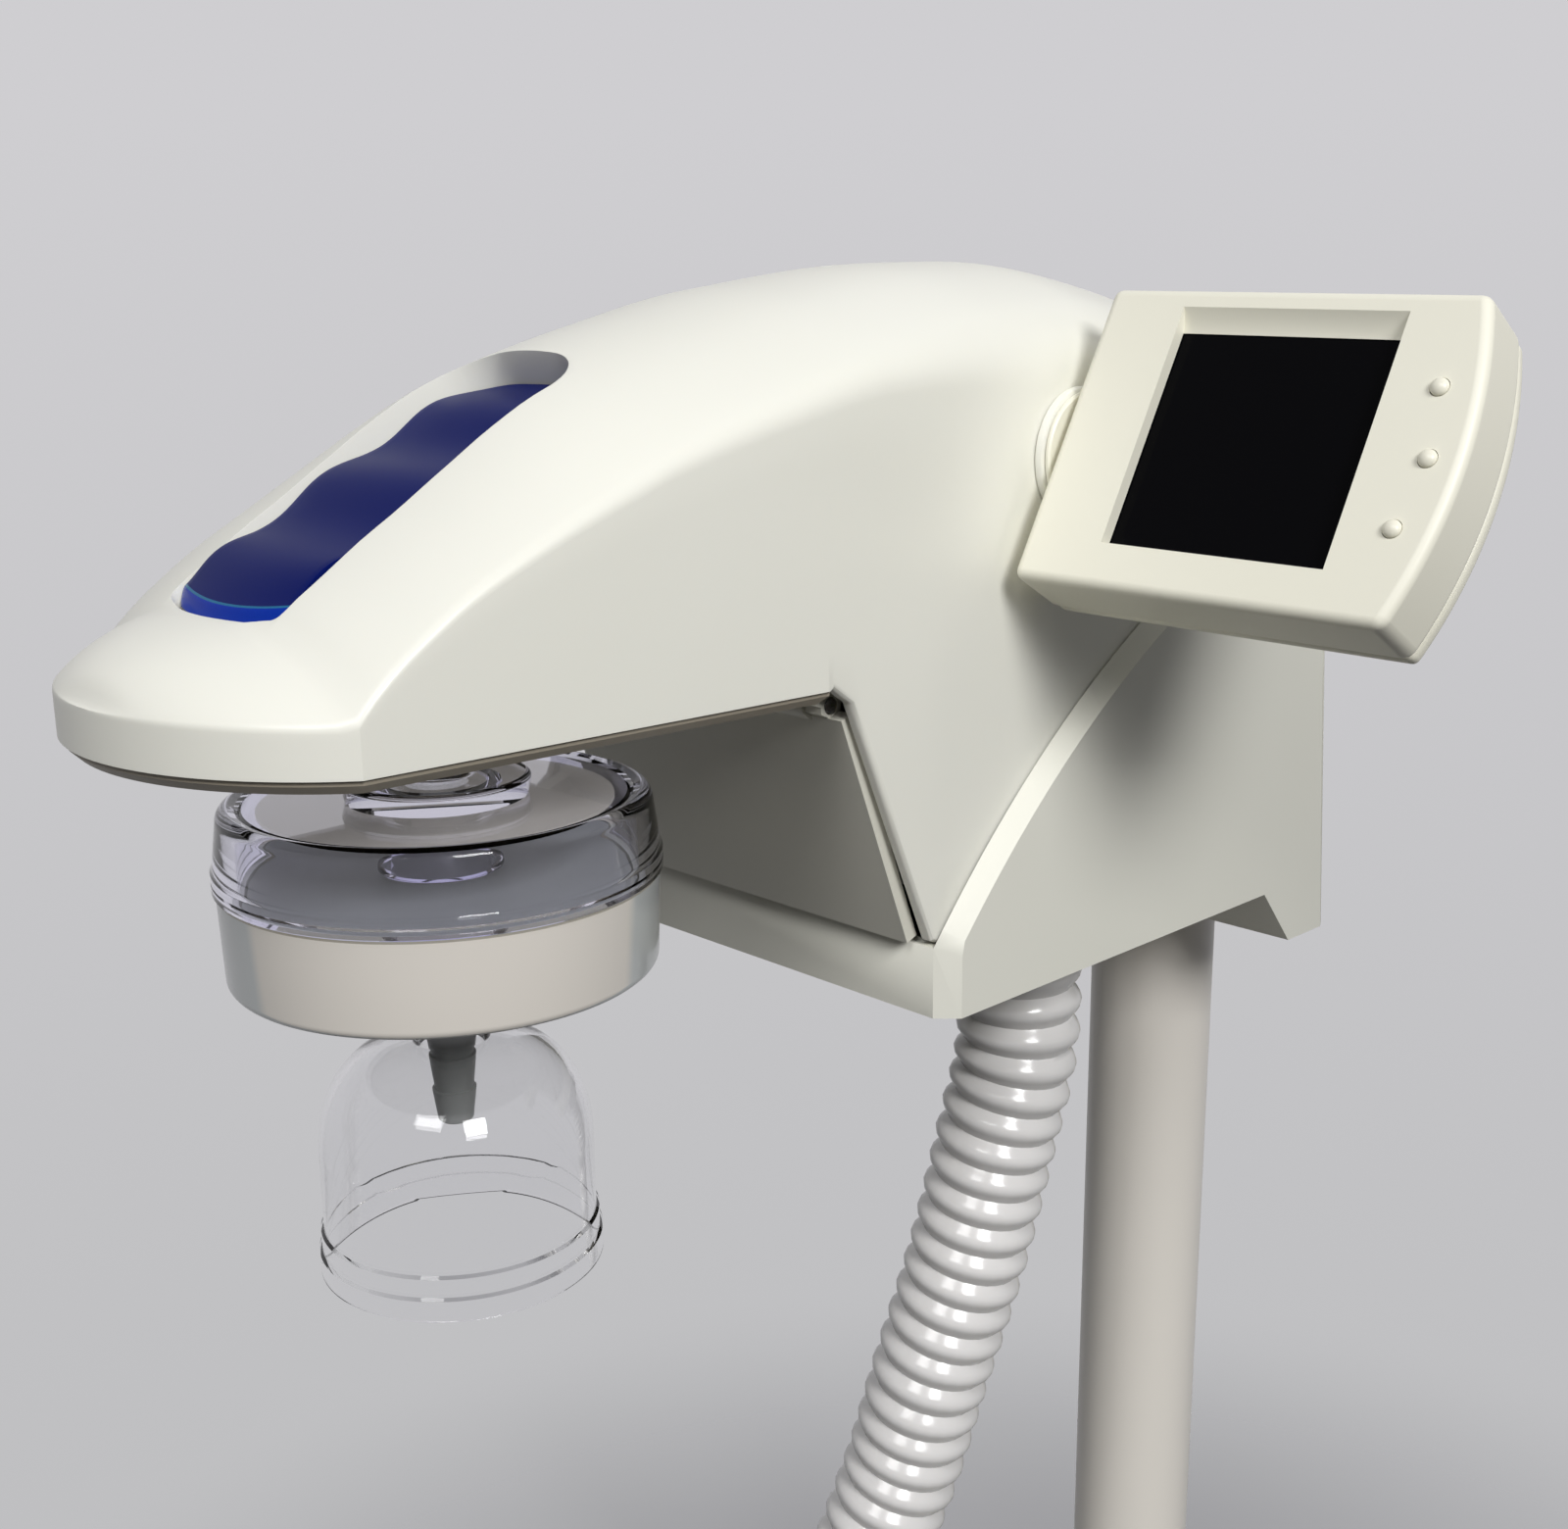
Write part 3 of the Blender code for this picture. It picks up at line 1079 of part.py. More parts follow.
def half_widths(outline):
    """A function that gives an outline's half-width at a place along it."""
    right = sorted(((y, x) for x, y in outline if x >= 0), key=lambda pair: pair[0])
    merged = []
    for y, x in right:
        if merged and y - merged[-1][0] < WELD:
            merged[-1] = (y, max(x, merged[-1][1]))
        else:
            merged.append((y, x))
    return lambda at: straight_value(merged, at)


# Front door

def door_pin_place():
    """The door's pivot, in its upper edge, half a wall behind its face."""
    down = (DOOR_FOOT - DOOR_TOP).normalized()
    inward = Vector((0, -down.z, down.y))
    return DOOR_TOP + inward * DOOR_THICKNESS / 2


def build_door(mat, head):
    """The inclined flap under the hood and its hinge pin."""
    pin = door_pin_place()
    axis = make_empty("door_axis", pin, head)
    down = (DOOR_FOOT - DOOR_TOP).normalized()
    inward = Vector((0, -down.z, down.y))
    length = (DOOR_FOOT - DOOR_TOP).length
    half = DOOR_THICKNESS / 2
    start, end = down * DOOR_BARREL_RADIUS * 0.6, down * length
    side = [start - inward * half, end - inward * half, end + inward * half, start + inward * half]
    door = plate("front_door", [(p.y, p.z) for p in side], -DOOR_HALF_WIDTH, DOOR_HALF_WIDTH,
                 mat["door"], axis, SIDE_PROFILE)
    barrel = rod("door_barrel", DOOR_BARREL_RADIUS, (-DOOR_BARREL_HALF, 0, 0), 2 * DOOR_BARREL_HALF,
                 None, axis, ALONG_X, 16)
    combine(door, barrel, "UNION")
    for sign in (-1, 1):
        near = DOOR_BARREL_HALF - GAP
        far = DOOR_HALF_WIDTH + OVERRUN
        low_x, high_x = sorted((sign * near, sign * far))
        corner = box("lug_room", (low_x, -LUG_RADIUS * 2, -LUG_RADIUS - GAP * 4),
                     (high_x, LUG_RADIUS * 2, LUG_RADIUS * 3), None, axis)
        combine(door, corner)
    combine(door, rod("door_bore", DOOR_PIN_RADIUS + GAP, (-DOOR_BARREL_HALF - OVERRUN, 0, 0),
                      2 * (DOOR_BARREL_HALF + OVERRUN), None, axis, ALONG_X, 12))
    pin_half = DOOR_BARREL_HALF + LUG_THICKNESS + GAP
    rod("door_pin", DOOR_PIN_RADIUS, pin - Vector((pin_half, 0, 0)), 2 * pin_half, mat["steel"], head,
        ALONG_X, 12)


# Display

def display_outline(inset=0.0):
    """The case's outline: straight left, top and bottom edges and a bulging right edge."""
    left, right = -DISPLAY_LEFT + inset, DISPLAY_RIGHT - inset
    top, low = DISPLAY_TOP - inset, -DISPLAY_BOTTOM + inset
    half = (top - low) / 2
    radius = sagitta_radius(half, DISPLAY_BULGE)
    spread = math.asin(half / radius)
    middle = (top + low) / 2
    bow = arc((right + DISPLAY_BULGE - radius, middle), radius, -spread, spread, 8)
    return bow + [(left, top), (left, low)]


# Local X, Y, Z of a face outline are the display's X, Z and -Y
FACE = Matrix(((1, 0, 0), (0, 0, -1), (0, 1, 0)))


def face_plate(name, outline, front, back, material, parent):
    """A plate parallel to the display's face, between two depths behind it."""
    return plate(name, outline, -back, -front, material, parent, FACE)


def build_display(mat, head):
    """Case, window, screen, board and buttons, carried on the tilt shaft."""
    turn = (
        Matrix.Rotation(DISPLAY_YAW, 3, "Z") @ Matrix.Rotation(DISPLAY_TILT, 3, "X")
        @ Matrix.Rotation(DISPLAY_ROLL, 3, "Y")
    )
    pivot = make_empty("tilt_axis", (BODY_HALF_WIDTH, TILT_AXIS_Y, TILT_AXIS_Z), head)
    face = make_empty("display_face", DISPLAY_CENTRE - Vector((BODY_HALF_WIDTH, TILT_AXIS_Y, TILT_AXIS_Z)),
                      pivot, turn)
    window = [
        (-WINDOW_HALF_WIDTH, -WINDOW_HALF_HEIGHT), (WINDOW_HALF_WIDTH, -WINDOW_HALF_HEIGHT),
        (WINDOW_HALF_WIDTH, WINDOW_HALF_HEIGHT), (-WINDOW_HALF_WIDTH, WINDOW_HALF_HEIGHT),
    ]
    bezel = face_plate("display_bezel", display_outline(), 0, BEZEL_DEPTH, mat["case"], face)
    bevel(bezel, CASE_BEVEL, 3, math.radians(35))
    front_wall = WINDOW_RECESS + GAP
    combine(bezel, face_plate("bezel_hollow", display_outline(CASE_WALL), front_wall,
                              BEZEL_DEPTH + OVERRUN, None, face))
    combine(bezel, face_plate("window", window, -OVERRUN, BEZEL_DEPTH, None, face))
    low, high = WINDOW_HALF_HEIGHT - GAP, WINDOW_HALF_HEIGHT + COVE_RISE
    cove = [(-OVERRUN, low), (-OVERRUN, high), (0, high), (WINDOW_RECESS * 0.7, low + COVE_RISE * 0.55),
            (WINDOW_RECESS, low)]
    combine(bezel, plate("cove", cove, -WINDOW_HALF_WIDTH, WINDOW_HALF_WIDTH, None, face, SIDE_PROFILE))

    back = face_plate("display_back", display_outline(BACK_INSET), BEZEL_DEPTH + GAP, DISPLAY_DEPTH,
                      mat["case"], face)
    bevel(back, CASE_BEVEL, 2, math.radians(35))
    combine(back, face_plate("back_hollow", display_outline(BACK_INSET + CASE_WALL), BEZEL_DEPTH - OVERRUN,
                             DISPLAY_DEPTH - CASE_WALL, None, face))

    glass_low = front_wall + GAP
    pane = [(x + math.copysign(GLASS_LIP, x), z + math.copysign(GLASS_LIP, z)) for x, z in window]
    face_plate("display_glass", pane, glass_low, glass_low + GLASS_THICKNESS, mat["black"], face)
    screen_low = glass_low + GLASS_THICKNESS + GAP
    face_plate("screen_module", pane, screen_low, screen_low + SCREEN_THICKNESS, mat["steel"], face)
    stem_end = front_wall + BUTTON_STEM
    board_low = max(screen_low + SCREEN_THICKNESS, stem_end + BUTTON_TRAVEL) + GAP
    board = [
        (-WINDOW_HALF_WIDTH - GLASS_LIP, -WINDOW_HALF_HEIGHT - GLASS_LIP),
        (BUTTON_ACROSS, -WINDOW_HALF_HEIGHT - GLASS_LIP),
        (BUTTON_ACROSS, WINDOW_HALF_HEIGHT + GLASS_LIP),
        (-WINDOW_HALF_WIDTH - GLASS_LIP, WINDOW_HALF_HEIGHT + GLASS_LIP),
    ]
    face_plate("display_board", board, board_low, board_low + DISPLAY_BOARD_THICKNESS, mat["board"], face)

    for index in range(3):
        row = 1 - index
        across = BUTTON_ACROSS + (0 if row else BUTTON_BOW)
        place = Vector((across, 0, row * BUTTON_PITCH))
        axis = make_empty(f"button_axis_{index + 1}", place, face)
        outward = Matrix.Rotation(math.radians(90), 3, "X")
        cap = arc((0, 0), BUTTON_RADIUS, math.radians(90), 0, 3)
        dome = [(0 if i == 0 else x, y * BUTTON_PROUD / BUTTON_RADIUS) for i, (x, y) in enumerate(cap)]
        flange_front = -(front_wall + GAP)
        profile = dome + [
            (BUTTON_RADIUS, flange_front), (BUTTON_FLANGE, flange_front), (BUTTON_FLANGE, flange_front - GAP * 3),
            (BUTTON_RADIUS / 2, flange_front - GAP * 3), (BUTTON_RADIUS / 2, -stem_end), (0, -stem_end),
        ]
        turned(f"button_{index + 1}", profile, mat["case"], axis, turn=outward, steps=12)
        combine(bezel, rod("button_hole", BUTTON_RADIUS + GAP, place + Vector((0, -OVERRUN, 0)),
                           OVERRUN + BEZEL_DEPTH / 2, None, face, ALONG_Y, 16))
    return pivot


def build_pivot(mat, head, pivot):
    """The boss on the hood's side, and the shaft, washer and nut that carry the display."""
    place = Vector((BODY_HALF_WIDTH, TILT_AXIS_Y, TILT_AXIS_Z))
    bore = SHAFT_RADIUS + GAP
    turned("tilt_boss", [
        (bore, GAP + BOSS_HEIGHT), (BOSS_RADIUS - GAP * 2, GAP + BOSS_HEIGHT), (BOSS_RADIUS, GAP), (bore, GAP),
    ], mat["shell"], head, place, ALONG_X)
    hub_low = BOSS_HEIGHT + 2 * GAP
    hub_high = display_side() - CASE_SIDE_GAP
    inner = SHAFT_INNER - BODY_HALF_WIDTH
    turned("tilt_shaft", [
        (0, hub_high), (HUB_RADIUS - GAP * 2, hub_high), (HUB_RADIUS, hub_high - GAP * 2), (HUB_RADIUS, hub_low),
        (SHAFT_RADIUS, hub_low), (SHAFT_RADIUS, inner), (0, inner),
    ], mat["case"], pivot, turn=ALONG_X)
    washer_high = -HOOD_WALL - GAP
    washer_low = washer_high - WASHER_THICKNESS
    turned("friction_washer", [
        (bore, washer_high), (WASHER_RADIUS, washer_high), (WASHER_RADIUS, washer_low), (bore, washer_low),
    ], mat["rubber"], head, place, ALONG_X, SMALL_STEPS)
    nut_high = washer_low - GAP
    nut_low = nut_high - NUT_THICKNESS
    nut = rod("tilt_nut", WASHER_RADIUS, (nut_low, 0, 0), NUT_THICKNESS, mat["steel"], pivot, ALONG_X, 6)
    combine(nut, rod("nut_bore", bore, (nut_low - OVERRUN, 0, 0), NUT_THICKNESS + 2 * OVERRUN, None, pivot,
                     ALONG_X))


def display_side():
    """How far the case's left side stands from the hood, at its nearest corner."""
    turn = (
        Matrix.Rotation(DISPLAY_YAW, 3, "Z") @ Matrix.Rotation(DISPLAY_TILT, 3, "X")
        @ Matrix.Rotation(DISPLAY_ROLL, 3, "Y")
    )
    corners = [
        DISPLAY_CENTRE + turn @ Vector((-DISPLAY_LEFT, depth, height))
        for depth in (0, DISPLAY_DEPTH) for height in (-DISPLAY_BOTTOM, DISPLAY_TOP)
    ]
    return min(corner.x for corner in corners) - BODY_HALF_WIDTH


# Final filter and bell

def build_filter(mat, head):
    """Clear lid, label, white cup, membrane stack, barb and vent cap, then the bell."""
    place = Vector((0, FILTER_Y, 0))
    axis = make_empty("filter_axis", place, head)
    spigot_top = HOOD_SILL + PORT_FLANGE_HEIGHT
    deck_low = LID_DECK - LID_DECK_WALL
    rim = arc((LID_TOP_RADIUS - LID_WALL, LID_TOP - LID_WALL), LID_WALL, math.radians(90), 0, 3)
    inner = LID_TOP_RADIUS - LID_WALL
    turned("filter_lid", [
        (0, spigot_top), (SPIGOT_RADIUS, spigot_top), (SPIGOT_RADIUS, LID_HUB_TOP + LID_WALL / 2),
        (SPIGOT_RADIUS + LID_WALL, LID_HUB_TOP), (LID_HUB_RADIUS - LID_WALL / 2, LID_HUB_TOP),
        (LID_HUB_RADIUS, LID_HUB_TOP - LID_WALL / 2), (LID_HUB_RADIUS - LID_WALL / 4, LID_DECK),
        (LID_RIM_RADIUS - LID_WALL / 2, LID_DECK), (LID_RIM_RADIUS - LID_WALL / 4, LID_DECK - LID_WALL / 6),
        (LID_RIM_RADIUS, LID_TOP), *rim,
        (LID_RADIUS - LID_WALL / 6, LID_SEAM + LID_BAND + LID_WALL / 3), (LID_RADIUS, LID_SEAM + LID_BAND),
        (LID_RADIUS, LID_SEAM + GAP), (inner, LID_SEAM + GAP), (inner - LID_WALL / 3, deck_low),
        (PORT_RING_RADIUS, deck_low), (PORT_RING_RADIUS, PORT_RING_LOW),
        (PORT_RING_RADIUS - LID_WALL, PORT_RING_LOW), (PORT_RING_RADIUS - LID_WALL, deck_low), (0, deck_low),
    ], mat["clear"], axis, steps=28)
    label_top = deck_low - GAP
    label_inner = PORT_RING_RADIUS + GAP
    turned("filter_label", [
        (label_inner, label_top), (LABEL_RADIUS, label_top), (LABEL_RADIUS, label_top - LABEL_THICKNESS),
        (label_inner, label_top - LABEL_THICKNESS),
    ], mat["paper"], axis)
    cup_top = LID_SEAM
    edge = arc((CUP_FOOT_RADIUS - CUP_EDGE, CUP_BOTTOM + CUP_EDGE), CUP_EDGE, 0, math.radians(-90), 3)
    barb_seat = BARB_ROOT_RADIUS + GAP
    wall = LID_WALL
    turned("filter_cup", [
        (CUP_RADIUS, cup_top), *edge, (barb_seat, CUP_BOTTOM), (barb_seat, CUP_BOTTOM + wall),
        (STACK_RADIUS + GAP, CUP_BOTTOM + wall), (STACK_RADIUS + GAP, cup_top),
    ], mat["white"], axis, steps=28)
    rod("membrane_stack", STACK_RADIUS, (0, 0, CUP_BOTTOM + wall + GAP),
        LID_SEAM - CUP_BOTTOM - wall - 2 * GAP, mat["paper"], axis, steps=ROUND_STEPS)
    root = CUP_BOTTOM + wall
    pitch = (CUP_BOTTOM - BARB_TIP) / (BARB_COUNT + 2)
    side = [(BARB_ROOT_RADIUS, CUP_BOTTOM - pitch)]
    for i in range(BARB_COUNT):
        share = (i + 1) / BARB_COUNT
        radius = BARB_ROOT_RADIUS + (BARB_TIP_RADIUS - BARB_ROOT_RADIUS) * share
        height = CUP_BOTTOM - pitch * (i + 2)
        side += [(radius, height + pitch * 0.7), (radius + BARB_STEP, height + pitch * 0.3), (radius, height)]
    turned("outlet_barb", [
        (BARB_BORE, root), (BARB_ROOT_RADIUS, root), *side, (BARB_TIP_RADIUS, BARB_TIP), (BARB_BORE, BARB_TIP),
    ], mat["grey"], axis, steps=SMALL_STEPS)
    vent_low = CUP_BOTTOM - GAP - VENT_HEIGHT
    rod("vent_cap", VENT_RADIUS, (0, VENT_ACROSS, vent_low), VENT_HEIGHT, mat["white"], axis)

    bell_axis = make_empty("bell_axis", (0, 0, 0), axis)
    build_bell(mat, bell_axis)


def build_bell(mat, axis):
    """The clear splash bell, held by its neck on the barb."""
    shoulder = BELL_TOP - BELL_SHOULDER
    outer = []
    for i in range(5):
        angle = math.radians(90) * (1 - i / 4)
        radius = BELL_NECK_RADIUS + (BELL_RADIUS - BELL_NECK_RADIUS) * math.cos(angle) ** 0.9
        outer.append((radius, shoulder + BELL_SHOULDER * math.sin(angle) ** 0.9))
    first, second = BELL_BOTTOM + BELL_STEP_HEIGHTS[0], BELL_BOTTOM + BELL_STEP_HEIGHTS[1]
    outer += [
        (BELL_RADIUS, first + BELL_STEP), (BELL_RADIUS + BELL_STEP, first),
        (BELL_RADIUS + BELL_STEP, second + BELL_STEP), (BELL_RADIUS + 2 * BELL_STEP, second),
        (BELL_RADIUS + 2 * BELL_STEP, BELL_BOTTOM),
    ]
    bore = BARB_ROOT_RADIUS + BARB_STEP + GAP
    inner = [(radius - BELL_WALL, height) for radius, height in reversed(outer[4:])]
    for radius, height in reversed(outer[:4]):
        inner.append((max(bore, radius - BELL_WALL), height - BELL_WALL))
    turned("splash_bell", [(bore, BELL_NECK_TOP), (BELL_NECK_RADIUS, BELL_NECK_TOP), *outer, *inner[:-1],
                           (bore, BELL_TOP - BELL_WALL)], mat["clear"], axis, steps=28)


# Hose

def hose_line():
    """The hose's centreline: the chosen points, then the loop on the bench."""
    points = [Vector(p) for p in HOSE_ROUTE]
    angle = HOSE_LOOP_START
    while angle > HOSE_LOOP_START - math.radians(300):
        points.append(Vector((HOSE_LOOP_RADIUS * math.cos(angle),
                              HOSE_LOOP_Y + HOSE_LOOP_RADIUS * math.sin(angle), HOSE_LOOP_Z)))
        angle -= HOSE_LOOP_STEP
    fine = curve_points(points, 12)
    lengths = [0.0]
    for a, b in zip(fine, fine[1:]):
        lengths.append(lengths[-1] + (b - a).length)
    return fine, lengths


def at_length(line, distance):
    """The point at a distance along a measured line."""
    fine, lengths = line
    low, high = 0, len(lengths) - 1
    while high - low > 1:
        middle = (low + high) // 2
        if lengths[middle] <= distance:
            low = middle
        else:
            high = middle
    t = (distance - lengths[low]) / (lengths[high] - lengths[low])
    return fine[low].lerp(fine[high], t)


def hose_point(line, distance):
    """A point of the hose, whose two ends run straight for one diameter."""
    straight = 2 * HOSE_RADIUS
    end = HOSE_LENGTH - straight
    if distance <= end:
        return at_length(line, distance)
    start = at_length(line, end)
    along = (start - at_length(line, end - HOSE_PITCH)).normalized()
    return start + along * (distance - end)


def least_gap(points):
    """The hose's least gap to itself, between points more than three diameters apart along it."""
    skip = round(6 * HOSE_RADIUS / (HOSE_PITCH / 2))
    distances = [
        (points[i] - points[j]).length
        for i in range(0, len(points), 3) for j in range(i + skip, len(points), 3)
    ]
    return min(distances) - 2 * HOSE_RADIUS


def build_hose(mat, stand, head):
    """Gland, ribbed hose with its bore, and the cuff on its far end."""
    line = hose_line()
    ribs = round(HOSE_LENGTH / HOSE_PITCH)
    count = 2 * ribs
    points = [hose_point(line, HOSE_LENGTH * i / count) for i in range(count + 1)]
    valley = HOSE_VALLEY / HOSE_RADIUS
    radii = [valley if i % 2 == 0 else 1.0 for i in range(count + 1)]
    hose = tube("ribbed_hose", points, HOSE_RADIUS, mat["hose"], stand, 2, radii)
    print(f"ribbed hose: {ribs} ribs, least gap to itself {least_gap(points) * 1000:.1f} mm")
    bore_count = 40
    bore = [hose_point(line, HOSE_LENGTH * i / bore_count) for i in range(bore_count + 1)]
    first, last = (bore[0] - bore[1]).normalized(), (bore[-1] - bore[-2]).normalized()
    bore = [bore[0] + first * OVERRUN, *bore[1:-1], bore[-1] + last * OVERRUN]
    combine(hose, tube("hose_bore", bore, HOSE_BORE, None, stand, 2))

    gland_low = 0.0
    seat = FLOOR_THICKNESS + GAP
    turned("hose_gland", [
        (HOSE_BORE, gland_low + GLAND_HEIGHT), (HOSE_RADIUS, gland_low + GLAND_HEIGHT),
        (HOSE_RADIUS, seat + GLAND_FLANGE_HEIGHT), (HOSE_RADIUS + GLAND_FLANGE, seat + GLAND_FLANGE_HEIGHT),
        (HOSE_RADIUS + GLAND_FLANGE, seat), (HOSE_RADIUS, seat), (HOSE_RADIUS, gland_low),
        (HOSE_BORE, gland_low),
    ], mat["grey"], head, HOSE_EXIT)

    end = points[-1]
    direction = (points[-1] - points[-2]).normalized()
    turn = Vector((0, 0, 1)).rotation_difference(direction).to_matrix()
    lip = CUFF_RADIUS - CUFF_LIP
    drop = Vector((0, 0, max(0.0, CUFF_RADIUS + GAP - end.z)))
    turned("hose_end_cuff", [
        (0, CUFF_LENGTH + CUFF_STUB_LENGTH), (CUFF_STUB_RADIUS, CUFF_LENGTH + CUFF_STUB_LENGTH),
        (CUFF_STUB_RADIUS, CUFF_LENGTH), (lip - CUFF_LIP, CUFF_LENGTH), (lip, CUFF_LENGTH - CUFF_LIP),
        (lip, GAP + CUFF_LENGTH / 3), (HOSE_RADIUS, GAP + CUFF_LENGTH / 4), (HOSE_RADIUS, GAP), (0, GAP),
    ], mat["grey"], stand, end + drop * 0, turn, SMALL_STEPS)


empty_scene()
PARTS = new_collection("water_dispenser")
CUTTERS = new_collection("cutters")
GUIDES = new_collection("axes")


def main():
    """Build every piece."""
    mat = make_materials()
    stand = make_empty("stand_origin", (0, 0, 0))
    head = make_empty("head_origin", (0, 0, CHIN_HEIGHT))
    build_stand(mat, stand)
    build_hood(mat, head)
    build_housing(mat, head)
    build_underside(mat, head)
    build_plunger(mat, head)
    build_door(mat, head)
    pivot = build_display(mat, head)
    build_pivot(mat, head, pivot)
    build_filter(mat, head)
    build_hose(mat, stand, head)


main()
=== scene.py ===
"""Looks of a pole-mounted dispenser of an ultrapure water system.

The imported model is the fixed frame. Each sub-assembly is a class that builds its fine meshes
from bmesh operators and dresses them. Metres, +Z up, nose towards -Y, display on the +X side.
"""

from __future__ import annotations

import logging
import math
from collections.abc import Callable, Iterable, Sequence
from dataclasses import dataclass, field
from enum import Enum

import bmesh
import bpy
from mathutils import Matrix, Vector

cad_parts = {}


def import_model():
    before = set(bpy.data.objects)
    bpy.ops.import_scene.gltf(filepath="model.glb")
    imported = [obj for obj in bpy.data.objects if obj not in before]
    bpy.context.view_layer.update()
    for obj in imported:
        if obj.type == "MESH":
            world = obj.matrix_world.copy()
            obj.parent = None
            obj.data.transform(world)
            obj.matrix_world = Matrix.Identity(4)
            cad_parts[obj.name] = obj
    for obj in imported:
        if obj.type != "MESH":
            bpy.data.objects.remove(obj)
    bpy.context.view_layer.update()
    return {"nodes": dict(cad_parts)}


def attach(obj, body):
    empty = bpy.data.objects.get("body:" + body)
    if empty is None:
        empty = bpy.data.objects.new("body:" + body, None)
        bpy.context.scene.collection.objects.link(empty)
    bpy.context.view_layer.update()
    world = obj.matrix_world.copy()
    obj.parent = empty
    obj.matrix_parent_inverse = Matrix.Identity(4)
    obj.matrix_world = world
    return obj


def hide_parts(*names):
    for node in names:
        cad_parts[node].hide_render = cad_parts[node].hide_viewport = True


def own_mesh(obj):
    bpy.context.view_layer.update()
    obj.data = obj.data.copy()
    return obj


LOG = logging.getLogger("dispenser")

Pair = tuple[float, float]
Table = Sequence[Pair]

MM = 0.001
CHIN = 0.440
GAP = 0.3 * MM
WELD = 0.01 * MM
OVERRUN = 4 * MM
HEAD = Matrix.Translation((0, 0, CHIN))
ALONG_X = Matrix.Rotation(math.radians(90), 4, "Y")
# Lays an outline of (y, z) points in the side plane and its thickness along X
SIDE_ON = Matrix(((0, 0, 1, 0), (1, 0, 0, 0), (0, 1, 0, 0), (0, 0, 0, 1)))
# Lays an outline of (x, z) points in the front plane and its thickness along Y
FACE_ON = Matrix(((1, 0, 0, 0), (0, 0, -1, 0), (0, 1, 0, 0), (0, 0, 0, 1)))


class Body(Enum):
    """The moving bodies of the frame."""

    STAND = "stand"
    LEVER = "plunger_lever"
    DOOR = "door"
    DISPLAY = "display"
    BUTTON_UPPER = "button_upper"
    BUTTON_MIDDLE = "button_middle"
    BUTTON_LOWER = "button_lower"
    FILTER = "final_filter"
    BELL = "bell"


# Colours and nodes

def linear(code: str) -> tuple[float, float, float, float]:
    """Turn an sRGB hex code to linear values.

    Args:
        code: six hex digits after a hash.

    Returns:
        Red, green, blue and an alpha of one.
    """
    parts = [int(code[i:i + 2], 16) / 255 for i in (1, 3, 5)]
    red, green, blue = (c / 12.92 if c <= 0.04045 else ((c + 0.055) / 1.055) ** 2.4 for c in parts)
    return (red, green, blue, 1.0)


def add_node(
    tree: bpy.types.NodeTree,
    kind: str,
    settings: dict[str, object] | None = None,
    values: dict[str | int, object] | None = None,
    links: dict[str | int, bpy.types.NodeSocket] | None = None,
) -> bpy.types.Node:
    """Add a node with its settings, socket values and links.

    Args:
        tree: the material's or world's node tree.
        kind: the node's type name.
        settings: attributes of the node.
        values: default values of its inputs.
        links: sockets that feed its inputs.

    Returns:
        The new node.
    """
    node = tree.nodes.new(kind)
    for name, value in (settings or {}).items():
        setattr(node, name, value)
    for socket, value in (values or {}).items():
        node.inputs[socket].default_value = value
    for socket, source in (links or {}).items():
        tree.links.new(source, node.inputs[socket])
    return node


def blank_material(name: str) -> tuple[bpy.types.Material, bpy.types.NodeTree, bpy.types.Node]:
    """Make a material that holds only an output and a Principled shader.

    Args:
        name: the finish's name.

    Returns:
        The material, its tree and the shader.
    """
    made = bpy.data.materials.new(name)
    made.use_nodes = True
    tree = made.node_tree
    tree.nodes.clear()
    shader = add_node(tree, "ShaderNodeBsdfPrincipled")
    output = add_node(tree, "ShaderNodeOutputMaterial")
    tree.links.new(shader.outputs["BSDF"], output.inputs["Surface"])
    return made, tree, shader


@dataclass(frozen=True)
class Pattern:
    """A cloudy pattern on the object's own coordinates, so that it keeps its size in metres."""

    size: float
    detail: float = 2.0
    roughness: float = 0.55

    def amount(self, tree: bpy.types.NodeTree) -> bpy.types.NodeSocket:
        """Lay the pattern in a material.

        Args:
            tree: the material's tree.

        Returns:
            The socket with its value, from zero to one.
        """
        place = add_node(tree, "ShaderNodeTexCoord")
        cloud = add_node(
            tree, "ShaderNodeTexNoise",
            values={"Scale": 1 / self.size, "Detail": self.detail, "Roughness": self.roughness},
            links={"Vector": place.outputs["Object"]},
        )
        return cloud.outputs["Fac"]


# Finishes

